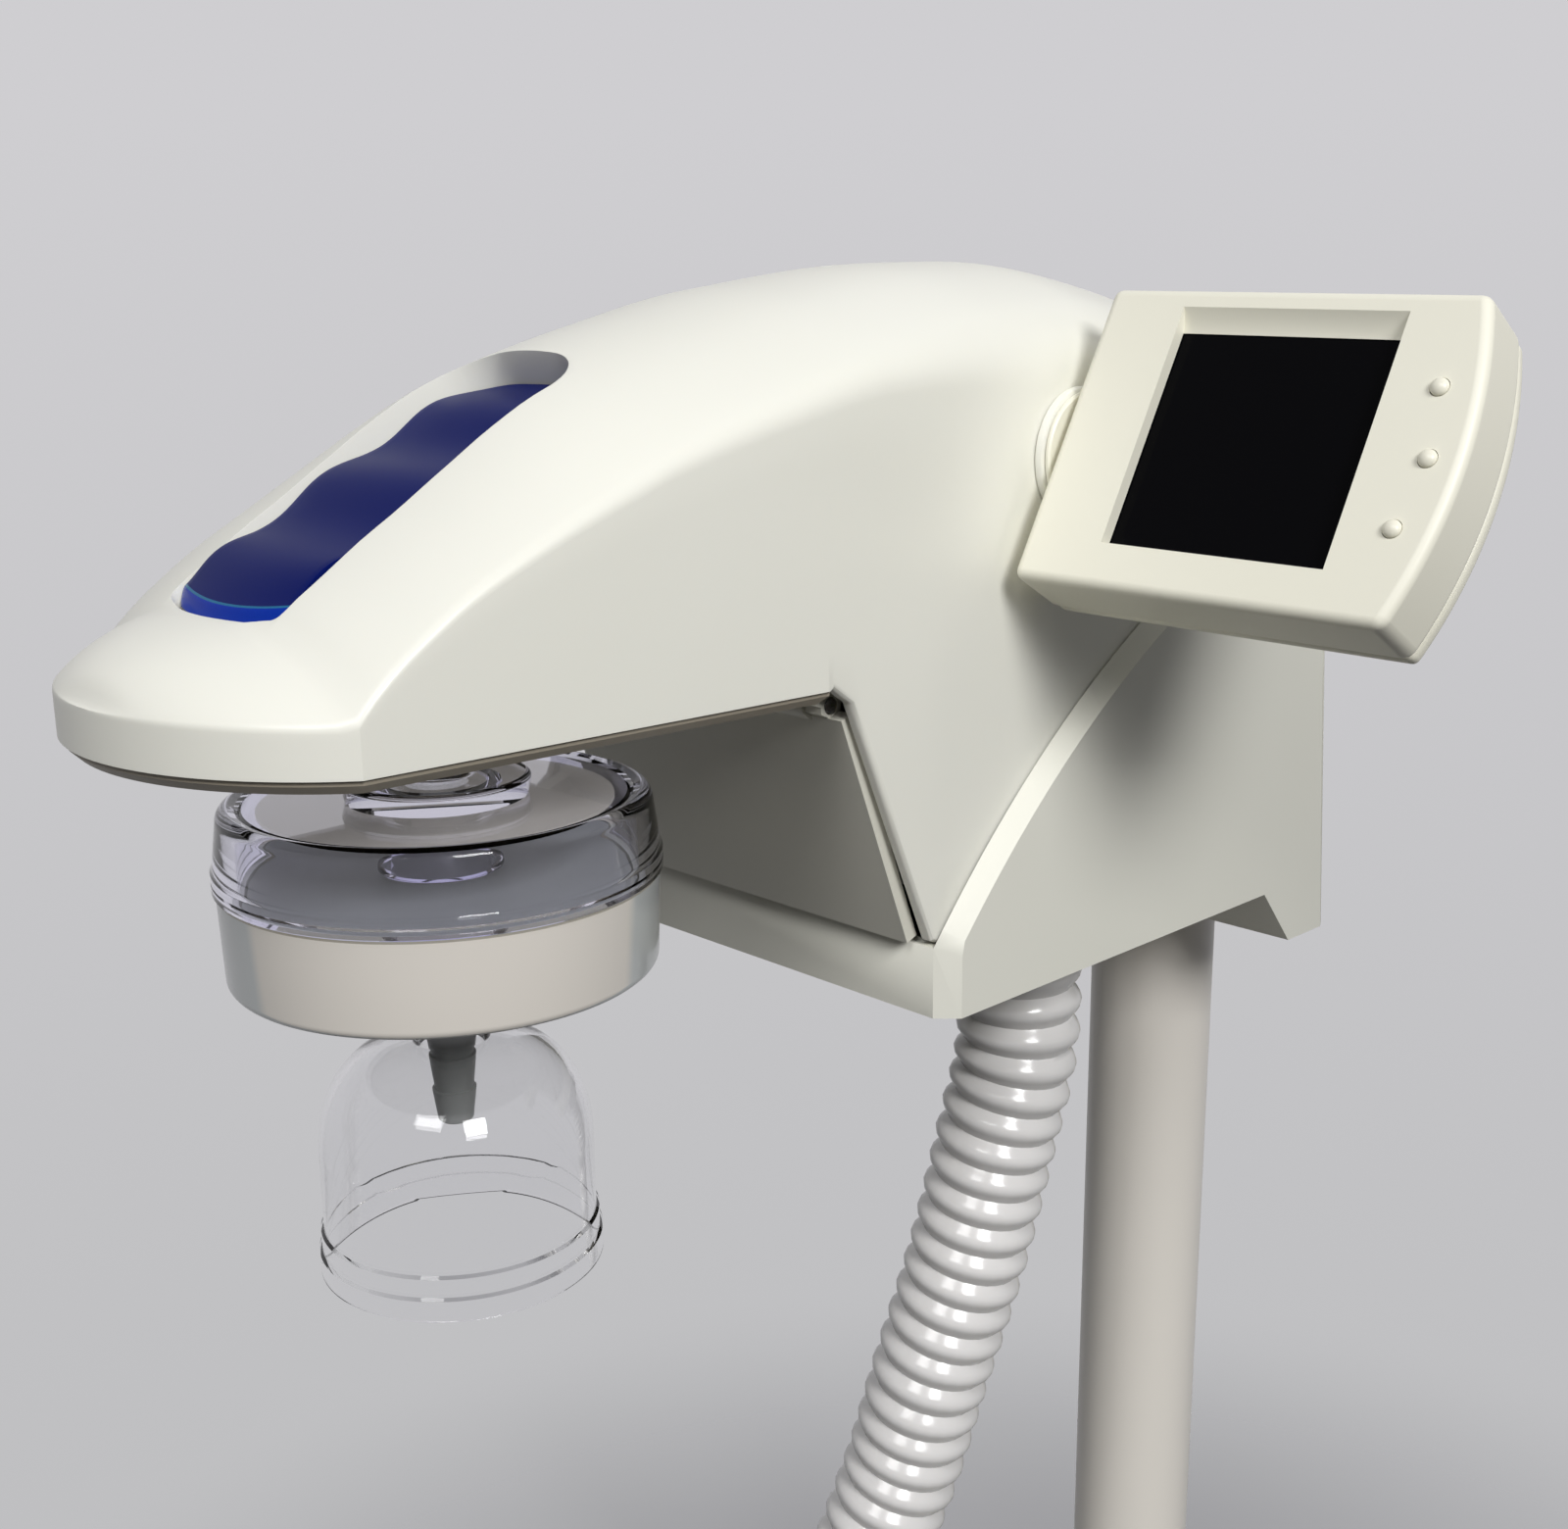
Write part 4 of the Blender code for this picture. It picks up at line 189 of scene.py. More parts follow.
@dataclass(frozen=True)
class Moulded:
    """An opaque injection-moulded plastic: soft sheen, spark-eroded grain, faint flow marks."""

    name: str
    colour: str
    flow_colour: str
    roughness: float = 0.38
    ior: float = 1.53
    # Real spark-eroded grain is about 0.05 mm; it is drawn coarser here so that it shows
    grain: float = 0.45 * MM
    grain_depth: float = 0.012 * MM
    relief: float = 0.35
    flow: float = 60 * MM
    sheen_swing: Pair = (-0.04, 0.05)
    depth_of_light: float = 0.0
    light_reach: Sequence[float] = (1.0, 0.9, 0.75)
    light_scale: float = 2.5 * MM
    glow: float = 0.0

    def material(self) -> bpy.types.Material:
        """The moulded plastic's material."""
        made, tree, shader = blank_material(self.name)
        flow = Pattern(self.flow, 3.0).amount(tree)
        colour = add_node(
            tree, "ShaderNodeMix", {"data_type": "RGBA"},
            {6: linear(self.colour), 7: linear(self.flow_colour)}, {0: flow},
        )
        bump = add_node(
            tree, "ShaderNodeBump", values={"Strength": self.relief, "Distance": self.grain_depth},
            links={"Height": Pattern(self.grain, 1.0).amount(tree)},
        )
        low, high = self.sheen_swing
        sheen = add_node(
            tree, "ShaderNodeMapRange",
            values={"To Min": self.roughness + low, "To Max": self.roughness + high}, links={"Value": flow},
        )
        tree.links.new(colour.outputs[2], shader.inputs["Base Color"])
        tree.links.new(bump.outputs["Normal"], shader.inputs["Normal"])
        tree.links.new(sheen.outputs["Result"], shader.inputs["Roughness"])
        shader.inputs["IOR"].default_value = self.ior
        shader.inputs["Subsurface Weight"].default_value = self.depth_of_light
        shader.inputs["Subsurface Radius"].default_value = self.light_reach
        shader.inputs["Subsurface Scale"].default_value = self.light_scale
        shader.inputs["Emission Color"].default_value = linear(self.colour)
        shader.inputs["Emission Strength"].default_value = self.glow
        return made


@dataclass(frozen=True)
class SkinnedWhite:
    """A white core in a clear skin, which shows where the side turns away."""

    name: str
    colour: str
    skin_colour: str
    roughness: float = 0.26
    turn: Pair = (0.50, 0.58)
    coat: float = 0.4
    coat_roughness: float = 0.05

    def material(self) -> bpy.types.Material:
        """The skinned plastic's material."""
        made, tree, shader = blank_material(self.name)
        facing = add_node(tree, "ShaderNodeLayerWeight", values={"Blend": 0.5})
        amount = add_node(
            tree, "ShaderNodeMapRange", {"interpolation_type": "SMOOTHSTEP"},
            {"From Min": self.turn[0], "From Max": self.turn[1]}, {"Value": facing.outputs["Facing"]},
        )
        colour = add_node(
            tree, "ShaderNodeMix", {"data_type": "RGBA"},
            {6: linear(self.colour), 7: linear(self.skin_colour)}, {0: amount.outputs["Result"]},
        )
        tree.links.new(colour.outputs[2], shader.inputs["Base Color"])
        shader.inputs["Roughness"].default_value = self.roughness
        shader.inputs["Coat Weight"].default_value = self.coat
        shader.inputs["Coat Roughness"].default_value = self.coat_roughness
        return made


@dataclass(frozen=True)
class Clear:
    """A clear polycarbonate or styrene moulding: sharp highlights and a tint at its edges."""

    name: str
    colour: str
    roughness: float = 0.02
    ior: float = 1.46
    ripple: float = 14 * MM
    ripple_depth: float = 0.02 * MM
    relief: float = 0.25
    # The shadow and diffuse rays pass straight through with this share of their light
    shade: float = 0.88

    def material(self) -> bpy.types.Material:
        """The clear plastic's material."""
        made, tree, shader = blank_material(self.name)
        bump = add_node(
            tree, "ShaderNodeBump", values={"Strength": self.relief, "Distance": self.ripple_depth},
            links={"Height": Pattern(self.ripple, 0.0).amount(tree)},
        )
        tree.links.new(bump.outputs["Normal"], shader.inputs["Normal"])
        shader.inputs["Base Color"].default_value = linear(self.colour)
        shader.inputs["Roughness"].default_value = self.roughness
        shader.inputs["IOR"].default_value = self.ior
        shader.inputs["Transmission Weight"].default_value = 1.0
        path = add_node(tree, "ShaderNodeLightPath")
        blocked = add_node(
            tree, "ShaderNodeMath", {"operation": "MAXIMUM"},
            links={0: path.outputs["Is Shadow Ray"], 1: path.outputs["Is Diffuse Ray"]},
        )
        through = add_node(
            tree, "ShaderNodeBsdfTransparent", values={"Color": (self.shade, self.shade, self.shade, 1.0)},
        )
        mix = add_node(
            tree, "ShaderNodeMixShader",
            links={0: blocked.outputs["Value"], 1: shader.outputs["BSDF"], 2: through.outputs["BSDF"]},
        )
        output = next(node for node in tree.nodes if node.type == "OUTPUT_MATERIAL")
        tree.links.new(mix.outputs["Shader"], output.inputs["Surface"])
        return made


@dataclass(frozen=True)
class TintedAcrylic:
    """A deep blue acrylic lever: dark inside, a polished skin and a fine paler mottle, which is dust on the
    lever's top and painted light in the copies for its front.
    """

    name: str
    colour: str
    dust_and_light_colour: str
    roughness: float = 0.22
    # Real dust is finer than a tenth of a millimetre; it is drawn coarser here so that it shows
    dust: float = 0.5 * MM
    dusty: Pair = (0.35, 0.85)
    most_dust: float = 0.35
    ior: float = 1.49
    specular: float = 0.05
    depth_of_light: float = 0.1
    light_reach: Sequence[float] = (0.1, 0.2, 1.0)
    light_scale: float = 4 * MM

    def material(self) -> bpy.types.Material:
        """The tinted acrylic's material."""
        made, tree, shader = blank_material(self.name)
        low, high = self.dusty
        amount = add_node(
            tree, "ShaderNodeMapRange",
            values={"From Min": low, "From Max": high, "To Min": 0.0, "To Max": self.most_dust},
            links={"Value": Pattern(self.dust, 4.0).amount(tree)},
        )
        colour = add_node(
            tree, "ShaderNodeMix", {"data_type": "RGBA"},
            {6: linear(self.colour), 7: linear(self.dust_and_light_colour)}, {0: amount.outputs["Result"]},
        )
        tree.links.new(colour.outputs[2], shader.inputs["Base Color"])
        shader.inputs["Roughness"].default_value = self.roughness
        shader.inputs["IOR"].default_value = self.ior
        shader.inputs["Specular IOR Level"].default_value = self.specular
        shader.inputs["Subsurface Weight"].default_value = self.depth_of_light
        shader.inputs["Subsurface Radius"].default_value = self.light_reach
        shader.inputs["Subsurface Scale"].default_value = self.light_scale
        return made


@dataclass(frozen=True)
class Metal:
    """Bright steel: turned or rolled, with a fine brushed grain."""

    name: str
    colour: str
    roughness: float = 0.28
    # A real turned finish is about 0.02 mm; it is drawn coarser here so that it shows
    brush: float = 0.2 * MM
    sheen_swing: Pair = (-0.08, 0.12)

    def material(self) -> bpy.types.Material:
        """The metal's material."""
        made, tree, shader = blank_material(self.name)
        low, high = self.sheen_swing
        rough = add_node(
            tree, "ShaderNodeMapRange",
            values={"To Min": self.roughness + low, "To Max": self.roughness + high},
            links={"Value": Pattern(self.brush).amount(tree)},
        )
        tree.links.new(rough.outputs["Result"], shader.inputs["Roughness"])
        shader.inputs["Base Color"].default_value = linear(self.colour)
        shader.inputs["Metallic"].default_value = 1.0
        return made


@dataclass(frozen=True)
class ScreenGlass:
    """The black window of a display that is off: a mirror-smooth face over a dark panel."""

    name: str
    colour: str
    smear: float = 30 * MM
    smeared: Pair = (0.4, 0.7)
    roughness: Pair = (0.03, 0.09)
    ior: float = 1.12

    def material(self) -> bpy.types.Material:
        """The window's material."""
        made, tree, shader = blank_material(self.name)
        low, high = self.smeared
        rough = add_node(
            tree, "ShaderNodeMapRange",
            values={
                "From Min": low, "From Max": high, "To Min": self.roughness[0], "To Max": self.roughness[1],
            },
            links={"Value": Pattern(self.smear, 5.0).amount(tree)},
        )
        tree.links.new(rough.outputs["Result"], shader.inputs["Roughness"])
        shader.inputs["Base Color"].default_value = linear(self.colour)
        shader.inputs["IOR"].default_value = self.ior
        return made


# Moulded ABS: a warm off-white whose satin sheen spreads every highlight into a soft gradient.
# The door and the underplate are painted darker: painted shade for the hood's shadow that they lie in.
HOOD_ABS = Moulded("moulded_abs_hood", "#F1F0E6", "#EDECE1", 0.36, depth_of_light=0.05)
HOUSING_ABS = Moulded("moulded_abs_housing", "#ECEBE0", "#E7E6DA", 0.42, grain=0.6 * MM)
SHADED_DOOR_ABS = Moulded("moulded_abs_door_painted_shade", "#DEDCD0", "#D9D7CA", 0.45, grain=0.6 * MM)
SHADED_UNDERPLATE_ABS = Moulded("moulded_abs_underplate_painted_shade", "#9F9686", "#978E7E", 0.5)
CASE_ABS = Moulded("moulded_abs_display_case", "#F2F0E1", "#EEEBDA", 0.42, grain=0.5 * MM)
BUTTON_ABS = Moulded("moulded_abs_buttons", "#F0EDDD", "#EAE7D6", 0.34)
# Powder coat: a pinkish white with a slight orange peel that breaks the pole's long highlight
POLE_PAINT = Moulded("powder_coated_steel_pole", "#F6F0E7", "#F1ECE2", 0.34, grain=0.9 * MM)
# Polyethylene is glossier than ABS, so each rib of the hose carries its own bright line
HOSE_PE = Moulded("corrugated_polyethylene_hose", "#E9E7E5", "#E0DEDC", 0.17, 1.53, depth_of_light=0.06)
# Polypropylene lets a little light in, so the fittings look waxy
# The grey is lightened, partly as painted light for the barb, which lies in the nose's shade.
GREY_PP = Moulded("moulded_polypropylene_grey", "#A9ABAA", "#9EA1A0", 0.4, depth_of_light=0.03)
WHITE_PP = Moulded("moulded_polypropylene_white", "#F1F0EC", "#ECEAE5", 0.32, depth_of_light=0.12)
SEAM_BROWN = Moulded("moulded_polypropylene_seam", "#9A958A", "#928D82", 0.35)
# The label and its port disc glow a little: painted light for the light that bounces between them and the lid
# more often than is traced
LABEL_FILM = Moulded("printed_polyester_label", "#E6E3D8", "#DFDBCE", 0.5, glow=0.22)
PORT_FILM = Moulded("printed_polyester_port", "#F6F6F4", "#F1F1EF", 0.4, glow=0.5)
# The membrane is a dull grey that gives the lid above it its depth
MEMBRANE = Moulded("pleated_membrane", "#9DA1A4", "#94989C", 0.5)
# The white cup has a clear skin, which reads as a grey-blue band down each side
# Its warm white is toned down, partly as painted shade for the nose's shadow over it.
CUP_SKIN = SkinnedWhite("skinned_polypropylene_cup", "#E2DCD3", "#C2C6C6")
RUBBER = Moulded("moulded_nitrile_rubber", "#1C1C1D", "#262627", 0.75)
BOARD_FR4 = Moulded("solder_masked_board", "#1E5B34", "#174A2A", 0.35)
# Clear polycarbonate: crisp highlights, with a bluish tint where the wall is seen edge on
LID_PC = Clear("clear_polycarbonate_lid", "#F1F0FC", ior=1.37)
BELL_PC = Clear("clear_polycarbonate_bell", "#FAFAFB", 0.015)
# Tinted acrylic: nearly black on top, with painted light on its cut front: a lit blue, and a thin painted
# highlight line between
LEVER_ACRYLIC = TintedAcrylic("tinted_acrylic_lever", "#03135A", "#12195A", 0.38)
LEVER_PAINTED_LIGHT = TintedAcrylic("tinted_acrylic_painted_light_front", "#0530A0", "#0A3CB0", 0.12)
LEVER_PAINTED_GLINT = TintedAcrylic("tinted_acrylic_painted_glint", "#256E94", "#10407C", 0.12)
STEEL = Metal("turned_bright_steel", "#B9B9BC")
# A display that is off: a black that mirrors only a breath of the room
SCREEN = ScreenGlass("black_display_window", "#050507")


@dataclass
class Wardrobe:
    """Makes each finish's material once."""

    made: dict[str, bpy.types.Material] = field(default_factory=dict)

    def of(self, finish: object) -> bpy.types.Material:
        """Make a finish's material, or give the one that is made.

        Args:
            finish: the finish.

        Returns:
            Its material.
        """
        if finish.name not in self.made:
            self.made[finish.name] = finish.material()
        return self.made[finish.name]


# Curves in numbers

def smooth_value(table: Table, at: float) -> float:
    """Read a table on a smooth curve that doesn't overshoot its points.

    Args:
        table: rising places with their values.
        at: the place to read.

    Returns:
        The value there.
    """
    places = [place for place, _ in table]
    values = [value for _, value in table]
    if at <= places[0]:
        return values[0]
    if at >= places[-1]:
        return values[-1]
    i = max(k for k, place in enumerate(places) if place <= at)

    def slope(k: int) -> float:
        """The curve's slope at a point of the table."""
        if k in (0, len(table) - 1):
            return 0.0
        before = (values[k] - values[k - 1]) / (places[k] - places[k - 1])
        after = (values[k + 1] - values[k]) / (places[k + 1] - places[k])
        return 0.0 if before * after <= 0 else 2 * before * after / (before + after)

    step = places[i + 1] - places[i]
    t = (at - places[i]) / step
    start, end = slope(i) * step, slope(i + 1) * step
    return (
        (2 * t**3 - 3 * t**2 + 1) * values[i] + (t**3 - 2 * t**2 + t) * start
        + (3 * t**2 - 2 * t**3) * values[i + 1] + (t**3 - t**2) * end
    )


def straight_value(table: Table, at: float) -> float:
    """Read a table on straight lines.

    Args:
        table: rising places with their values.
        at: the place to read.

    Returns:
        The value there.
    """
    for (a, low), (b, high) in zip(table, table[1:]):
        if at <= b:
            return low + (high - low) * max(0.0, at - a) / (b - a)
    return table[-1][1]


def arc(centre: Pair, radius: float, start: float, end: float, steps: int) -> list[Pair]:
    """Points of an arc in a plane.

    Args:
        centre: the arc's centre.
        radius: its radius.
        start: its first angle, in radians.
        end: its last angle.
        steps: the number of chords.

    Returns:
        The points, both ends included.
    """
    return [
        (
            centre[0] + radius * math.cos(start + (end - start) * i / steps),
            centre[1] + radius * math.sin(start + (end - start) * i / steps),
        )
        for i in range(steps + 1)
    ]


def chord_radius(half: float, sagitta: float) -> float:
    """Find an arc's radius.

    Args:
        half: half its chord.
        sagitta: its height over the chord.

    Returns:
        The radius.
    """
    return (half**2 + sagitta**2) / (2 * sagitta)


def curve_through(points: Sequence[Vector], steps: int) -> list[Vector]:
    """A smooth curve through points.

    Args:
        points: the points it passes.
        steps: the number of chords between each two.

    Returns:
        The curve's points.
    """
    ends = [2 * points[0] - points[1], *points, 2 * points[-1] - points[-2]]
    made = []
    for a, b, c, d in zip(ends, ends[1:], ends[2:], ends[3:]):
        for i in range(steps):
            t = i / steps
            made.append(0.5 * (
                2 * b + (c - a) * t + (2 * a - 5 * b + 4 * c - d) * t**2 + (3 * b - a - 3 * c + d) * t**3
            ))
    return made + [points[-1]]


# Mesh operators

def grid(rows: int, columns: int, place: Callable[[int, int], Vector]) -> bmesh.types.BMesh:
    """A grid whose corners are moved to a surface.

    Args:
        rows: the number of faces along its first direction.
        columns: the number of faces along its second direction.
        place: gives the point of a row and a column.

    Returns:
        The grid.
    """
    bm = bmesh.new()
    bmesh.ops.create_grid(bm, x_segments=rows, y_segments=columns, size=1.0)
    for vert in bm.verts:
        i = round((vert.co.x + 1) / 2 * rows)
        j = round((vert.co.y + 1) / 2 * columns)
        vert.co = place(i, j)
    return bm


def spun(profile: Sequence[Pair], steps: int = 96) -> bmesh.types.BMesh:
    """Turn a profile about Z.

    Args:
        profile: (radius, height) points; one that starts and ends off the axis is closed.
        steps: the number of faces round it.

    Returns:
        The turned shape.
    """
    bm = bmesh.new()
    verts = [bm.verts.new((radius, 0, height)) for radius, height in profile]
    pairs = list(zip(verts, verts[1:]))
    if profile[0][0] > 0 and profile[-1][0] > 0:
        pairs.append((verts[-1], verts[0]))
    edges = [bm.edges.new(pair) for pair in pairs]
    bmesh.ops.spin(
        bm, geom=verts + edges, cent=(0, 0, 0), axis=(0, 0, 1), angle=math.radians(360), steps=steps,
        use_merge=True,
    )
    return bm


def slab(outline: Sequence[Pair], low: float, high: float) -> bmesh.types.BMesh:
    """Extrude a flat outline along Z.

    Args:
        outline: the outline's points.
        low: the height of its lower face.
        high: the height of its upper face.

    Returns:
        The closed slab.
    """
    bm = bmesh.new()
    face = bm.faces.new([bm.verts.new((x, y, low)) for x, y in outline])
    grown = bmesh.ops.extrude_face_region(bm, geom=[face])
    lifted = [item for item in grown["geom"] if isinstance(item, bmesh.types.BMVert)]
    bmesh.ops.translate(bm, verts=lifted, vec=(0, 0, high - low))
    bmesh.ops.recalc_face_normals(bm, faces=bm.faces)
    return bm


def block(low: Sequence[float], high: Sequence[float]) -> bmesh.types.BMesh:
    """Make a block.

    Args:
        low: its lowest corner.
        high: its highest corner.

    Returns:
        The block.
    """
    low, high = Vector(low), Vector(high)
    bm = bmesh.new()
    bmesh.ops.create_cube(bm, size=1.0)
    bmesh.ops.scale(bm, vec=high - low, verts=bm.verts)
    bmesh.ops.translate(bm, vec=(low + high) / 2, verts=bm.verts)
    return bm


def rod(radius: float, length: float, steps: int = 48) -> bmesh.types.BMesh:
    """Make a cylinder that stands on the origin.

    Args:
        radius: its radius.
        length: its length along Z.
        steps: the number of faces round it.

    Returns:
        The cylinder.
    """
    bm = bmesh.new()
    bmesh.ops.create_cone(bm, cap_ends=True, segments=steps, radius1=radius, radius2=radius, depth=length)
    bmesh.ops.translate(bm, vec=(0, 0, length / 2), verts=bm.verts)
    return bm


def settle(bm: bmesh.types.BMesh) -> None:
    """Merge doubles and point the faces outwards."""
    bmesh.ops.remove_doubles(bm, verts=bm.verts, dist=WELD)
    bmesh.ops.recalc_face_normals(bm, faces=bm.faces)


def as_object(bm: bmesh.types.BMesh, name: str, matrix: Matrix | None = None) -> bpy.types.Object:
    """Write a mesh to an object whose place is in its mesh.

    Args:
        bm: the mesh, which is freed.
        name: the object's name.
        matrix: where it goes.

    Returns:
        The object, at the origin.
    """
    settle(bm)
    if matrix is not None:
        bmesh.ops.transform(bm, matrix=matrix, verts=bm.verts)
    mesh = bpy.data.meshes.new(name)
    bm.to_mesh(mesh)
    bm.free()
    made = bpy.data.objects.new(name, mesh)
    bpy.context.scene.collection.objects.link(made)
    return made


def apply_modifiers(piece: bpy.types.Object) -> bpy.types.Object:
    """Keep what a piece's modifiers make as its mesh."""
    bpy.context.view_layer.update()
    seen = piece.evaluated_get(bpy.context.evaluated_depsgraph_get())
    mesh = bpy.data.meshes.new_from_object(seen)
    piece.modifiers.clear()
    piece.data = mesh
    return piece


def boolean(
    piece: bpy.types.Object, tool: bpy.types.Object, operation: str = "DIFFERENCE",
) -> bpy.types.Object:
    """Cut or join a piece with a tool, which is then removed.

    Args:
        piece: the piece that stays.
        tool: the shape that works on it.
        operation: DIFFERENCE, UNION or INTERSECT.

    Returns:
        The piece.
    """
    step = piece.modifiers.new(operation.lower(), "BOOLEAN")
    step.operation = operation
    step.solver = "EXACT"
    step.object = tool
    apply_modifiers(piece)
    bpy.data.objects.remove(tool, do_unlink=True)
    return piece


def drill(piece: bpy.types.Object, radius: float, length: float, place: Matrix, steps: int = 48) -> None:
    """Cut a round hole in a piece.

    Args:
        piece: the piece.
        radius: the hole's radius.
        length: how far it goes along the place's Z.
        place: where it starts.
        steps: the number of faces round it.
    """
    boolean(piece, as_object(rod(radius, length, steps), "hole", place))


def soften(
    piece: bpy.types.Object, width: float, segments: int = 3, angle: float = 40.0,
) -> bpy.types.Object:
    """Round a piece's sharp edges with a bevel that keeps its flat faces flat.

    Args:
        piece: the piece.
        width: the bevel's width.
        segments: the number of faces across it.
        angle: the least angle, in degrees.

    Returns:
        The piece.
    """
    step = piece.modifiers.new("edges", "BEVEL")
    step.width = width
    step.segments = segments
    step.limit_method = "ANGLE"
    step.angle_limit = math.radians(angle)
    step.harden_normals = False
    return apply_modifiers(piece)


@dataclass
class Shop:
    """Finishes pieces: material, shading, body and the nodes that they stand for."""

    nodes: dict[str, bpy.types.Object]
    wardrobe: Wardrobe

    def finish(
        self, piece: bpy.types.Object, finish: object, body: Body, slot: str,
        nodes: Iterable[str] = (), angle: float = 35.0, flat: bool = False,
    ) -> bpy.types.Object:
        """Dress a piece and let it ride.

        Args:
            piece: the piece.
            finish: its finish.
            body: the body that carries it.
            slot: not used.
            nodes: the nodes that it stands for.
            angle: edges sharper than this, in degrees, stay sharp.
            flat: keep the shading of large flat faces even.

        Returns:
            The piece.
        """
        piece.data.materials.clear()
        piece.data.materials.append(self.wardrobe.of(finish))
        piece.data.shade_smooth()
        piece.data.set_sharp_from_angle(angle=math.radians(angle))
        if flat:
            step = piece.modifiers.new("normals", "WEIGHTED_NORMAL")
            step.keep_sharp = True
            step.weight = 100
            apply_modifiers(piece)
        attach(piece, body.value)
        if nodes:
            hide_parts(*nodes)
        LOG.info("%s: %d faces", piece.name, len(piece.data.polygons))
        return piece

    def turned(
        self, name: str, profile: Sequence[Pair], place: Matrix | None, finish: object, body: Body, slot: str,
        node: str, steps: int = 96, angle: float = 35.0, flat: bool = False,
    ) -> bpy.types.Object:
        """Turn a profile about an axis and finish what it makes.

        Args:
            name: the piece's name.
            profile: (radius, height) points.
            place: the frame whose Z is the axis.
            finish: its finish.
            body: the body that carries it.
            slot: not used; it is only handed on to finish.
            node: the node that it stands for.
            steps: the number of faces round it.
            angle: edges sharper than this, in degrees, stay sharp.
            flat: keep the shading of large flat faces even.

        Returns:
            The piece.
        """
        piece = as_object(spun(profile, steps), name, place)
        return self.finish(piece, finish, body, slot, [node], angle, flat)

    def paint(self, piece: bpy.types.Object, finish: object, chosen: Callable[[Vector], bool]) -> None:
        """Give some of a piece's faces another finish.

        Args:
            piece: the piece.
            finish: the finish of those faces.
            chosen: tells from a face's centre whether the face takes it.
        """
        piece.data.materials.append(self.wardrobe.of(finish))
        for face in piece.data.polygons:
            if chosen(face.center):
                face.material_index = len(piece.data.materials) - 1

    def dress(self, names: Iterable[str], finish: object, angle: float = 35.0) -> None:
        """Give a finish to nodes that stay as they are.

        Args:
            names: the nodes' names.
            finish: their finish.
            angle: edges sharper than this, in degrees, stay sharp.
        """
        for name in names:
            node = self.nodes[name]
            node.data.materials.clear()
            node.data.materials.append(self.wardrobe.of(finish))
            node.data.shade_smooth()
            node.data.set_sharp_from_angle(angle=math.radians(angle))


# Head

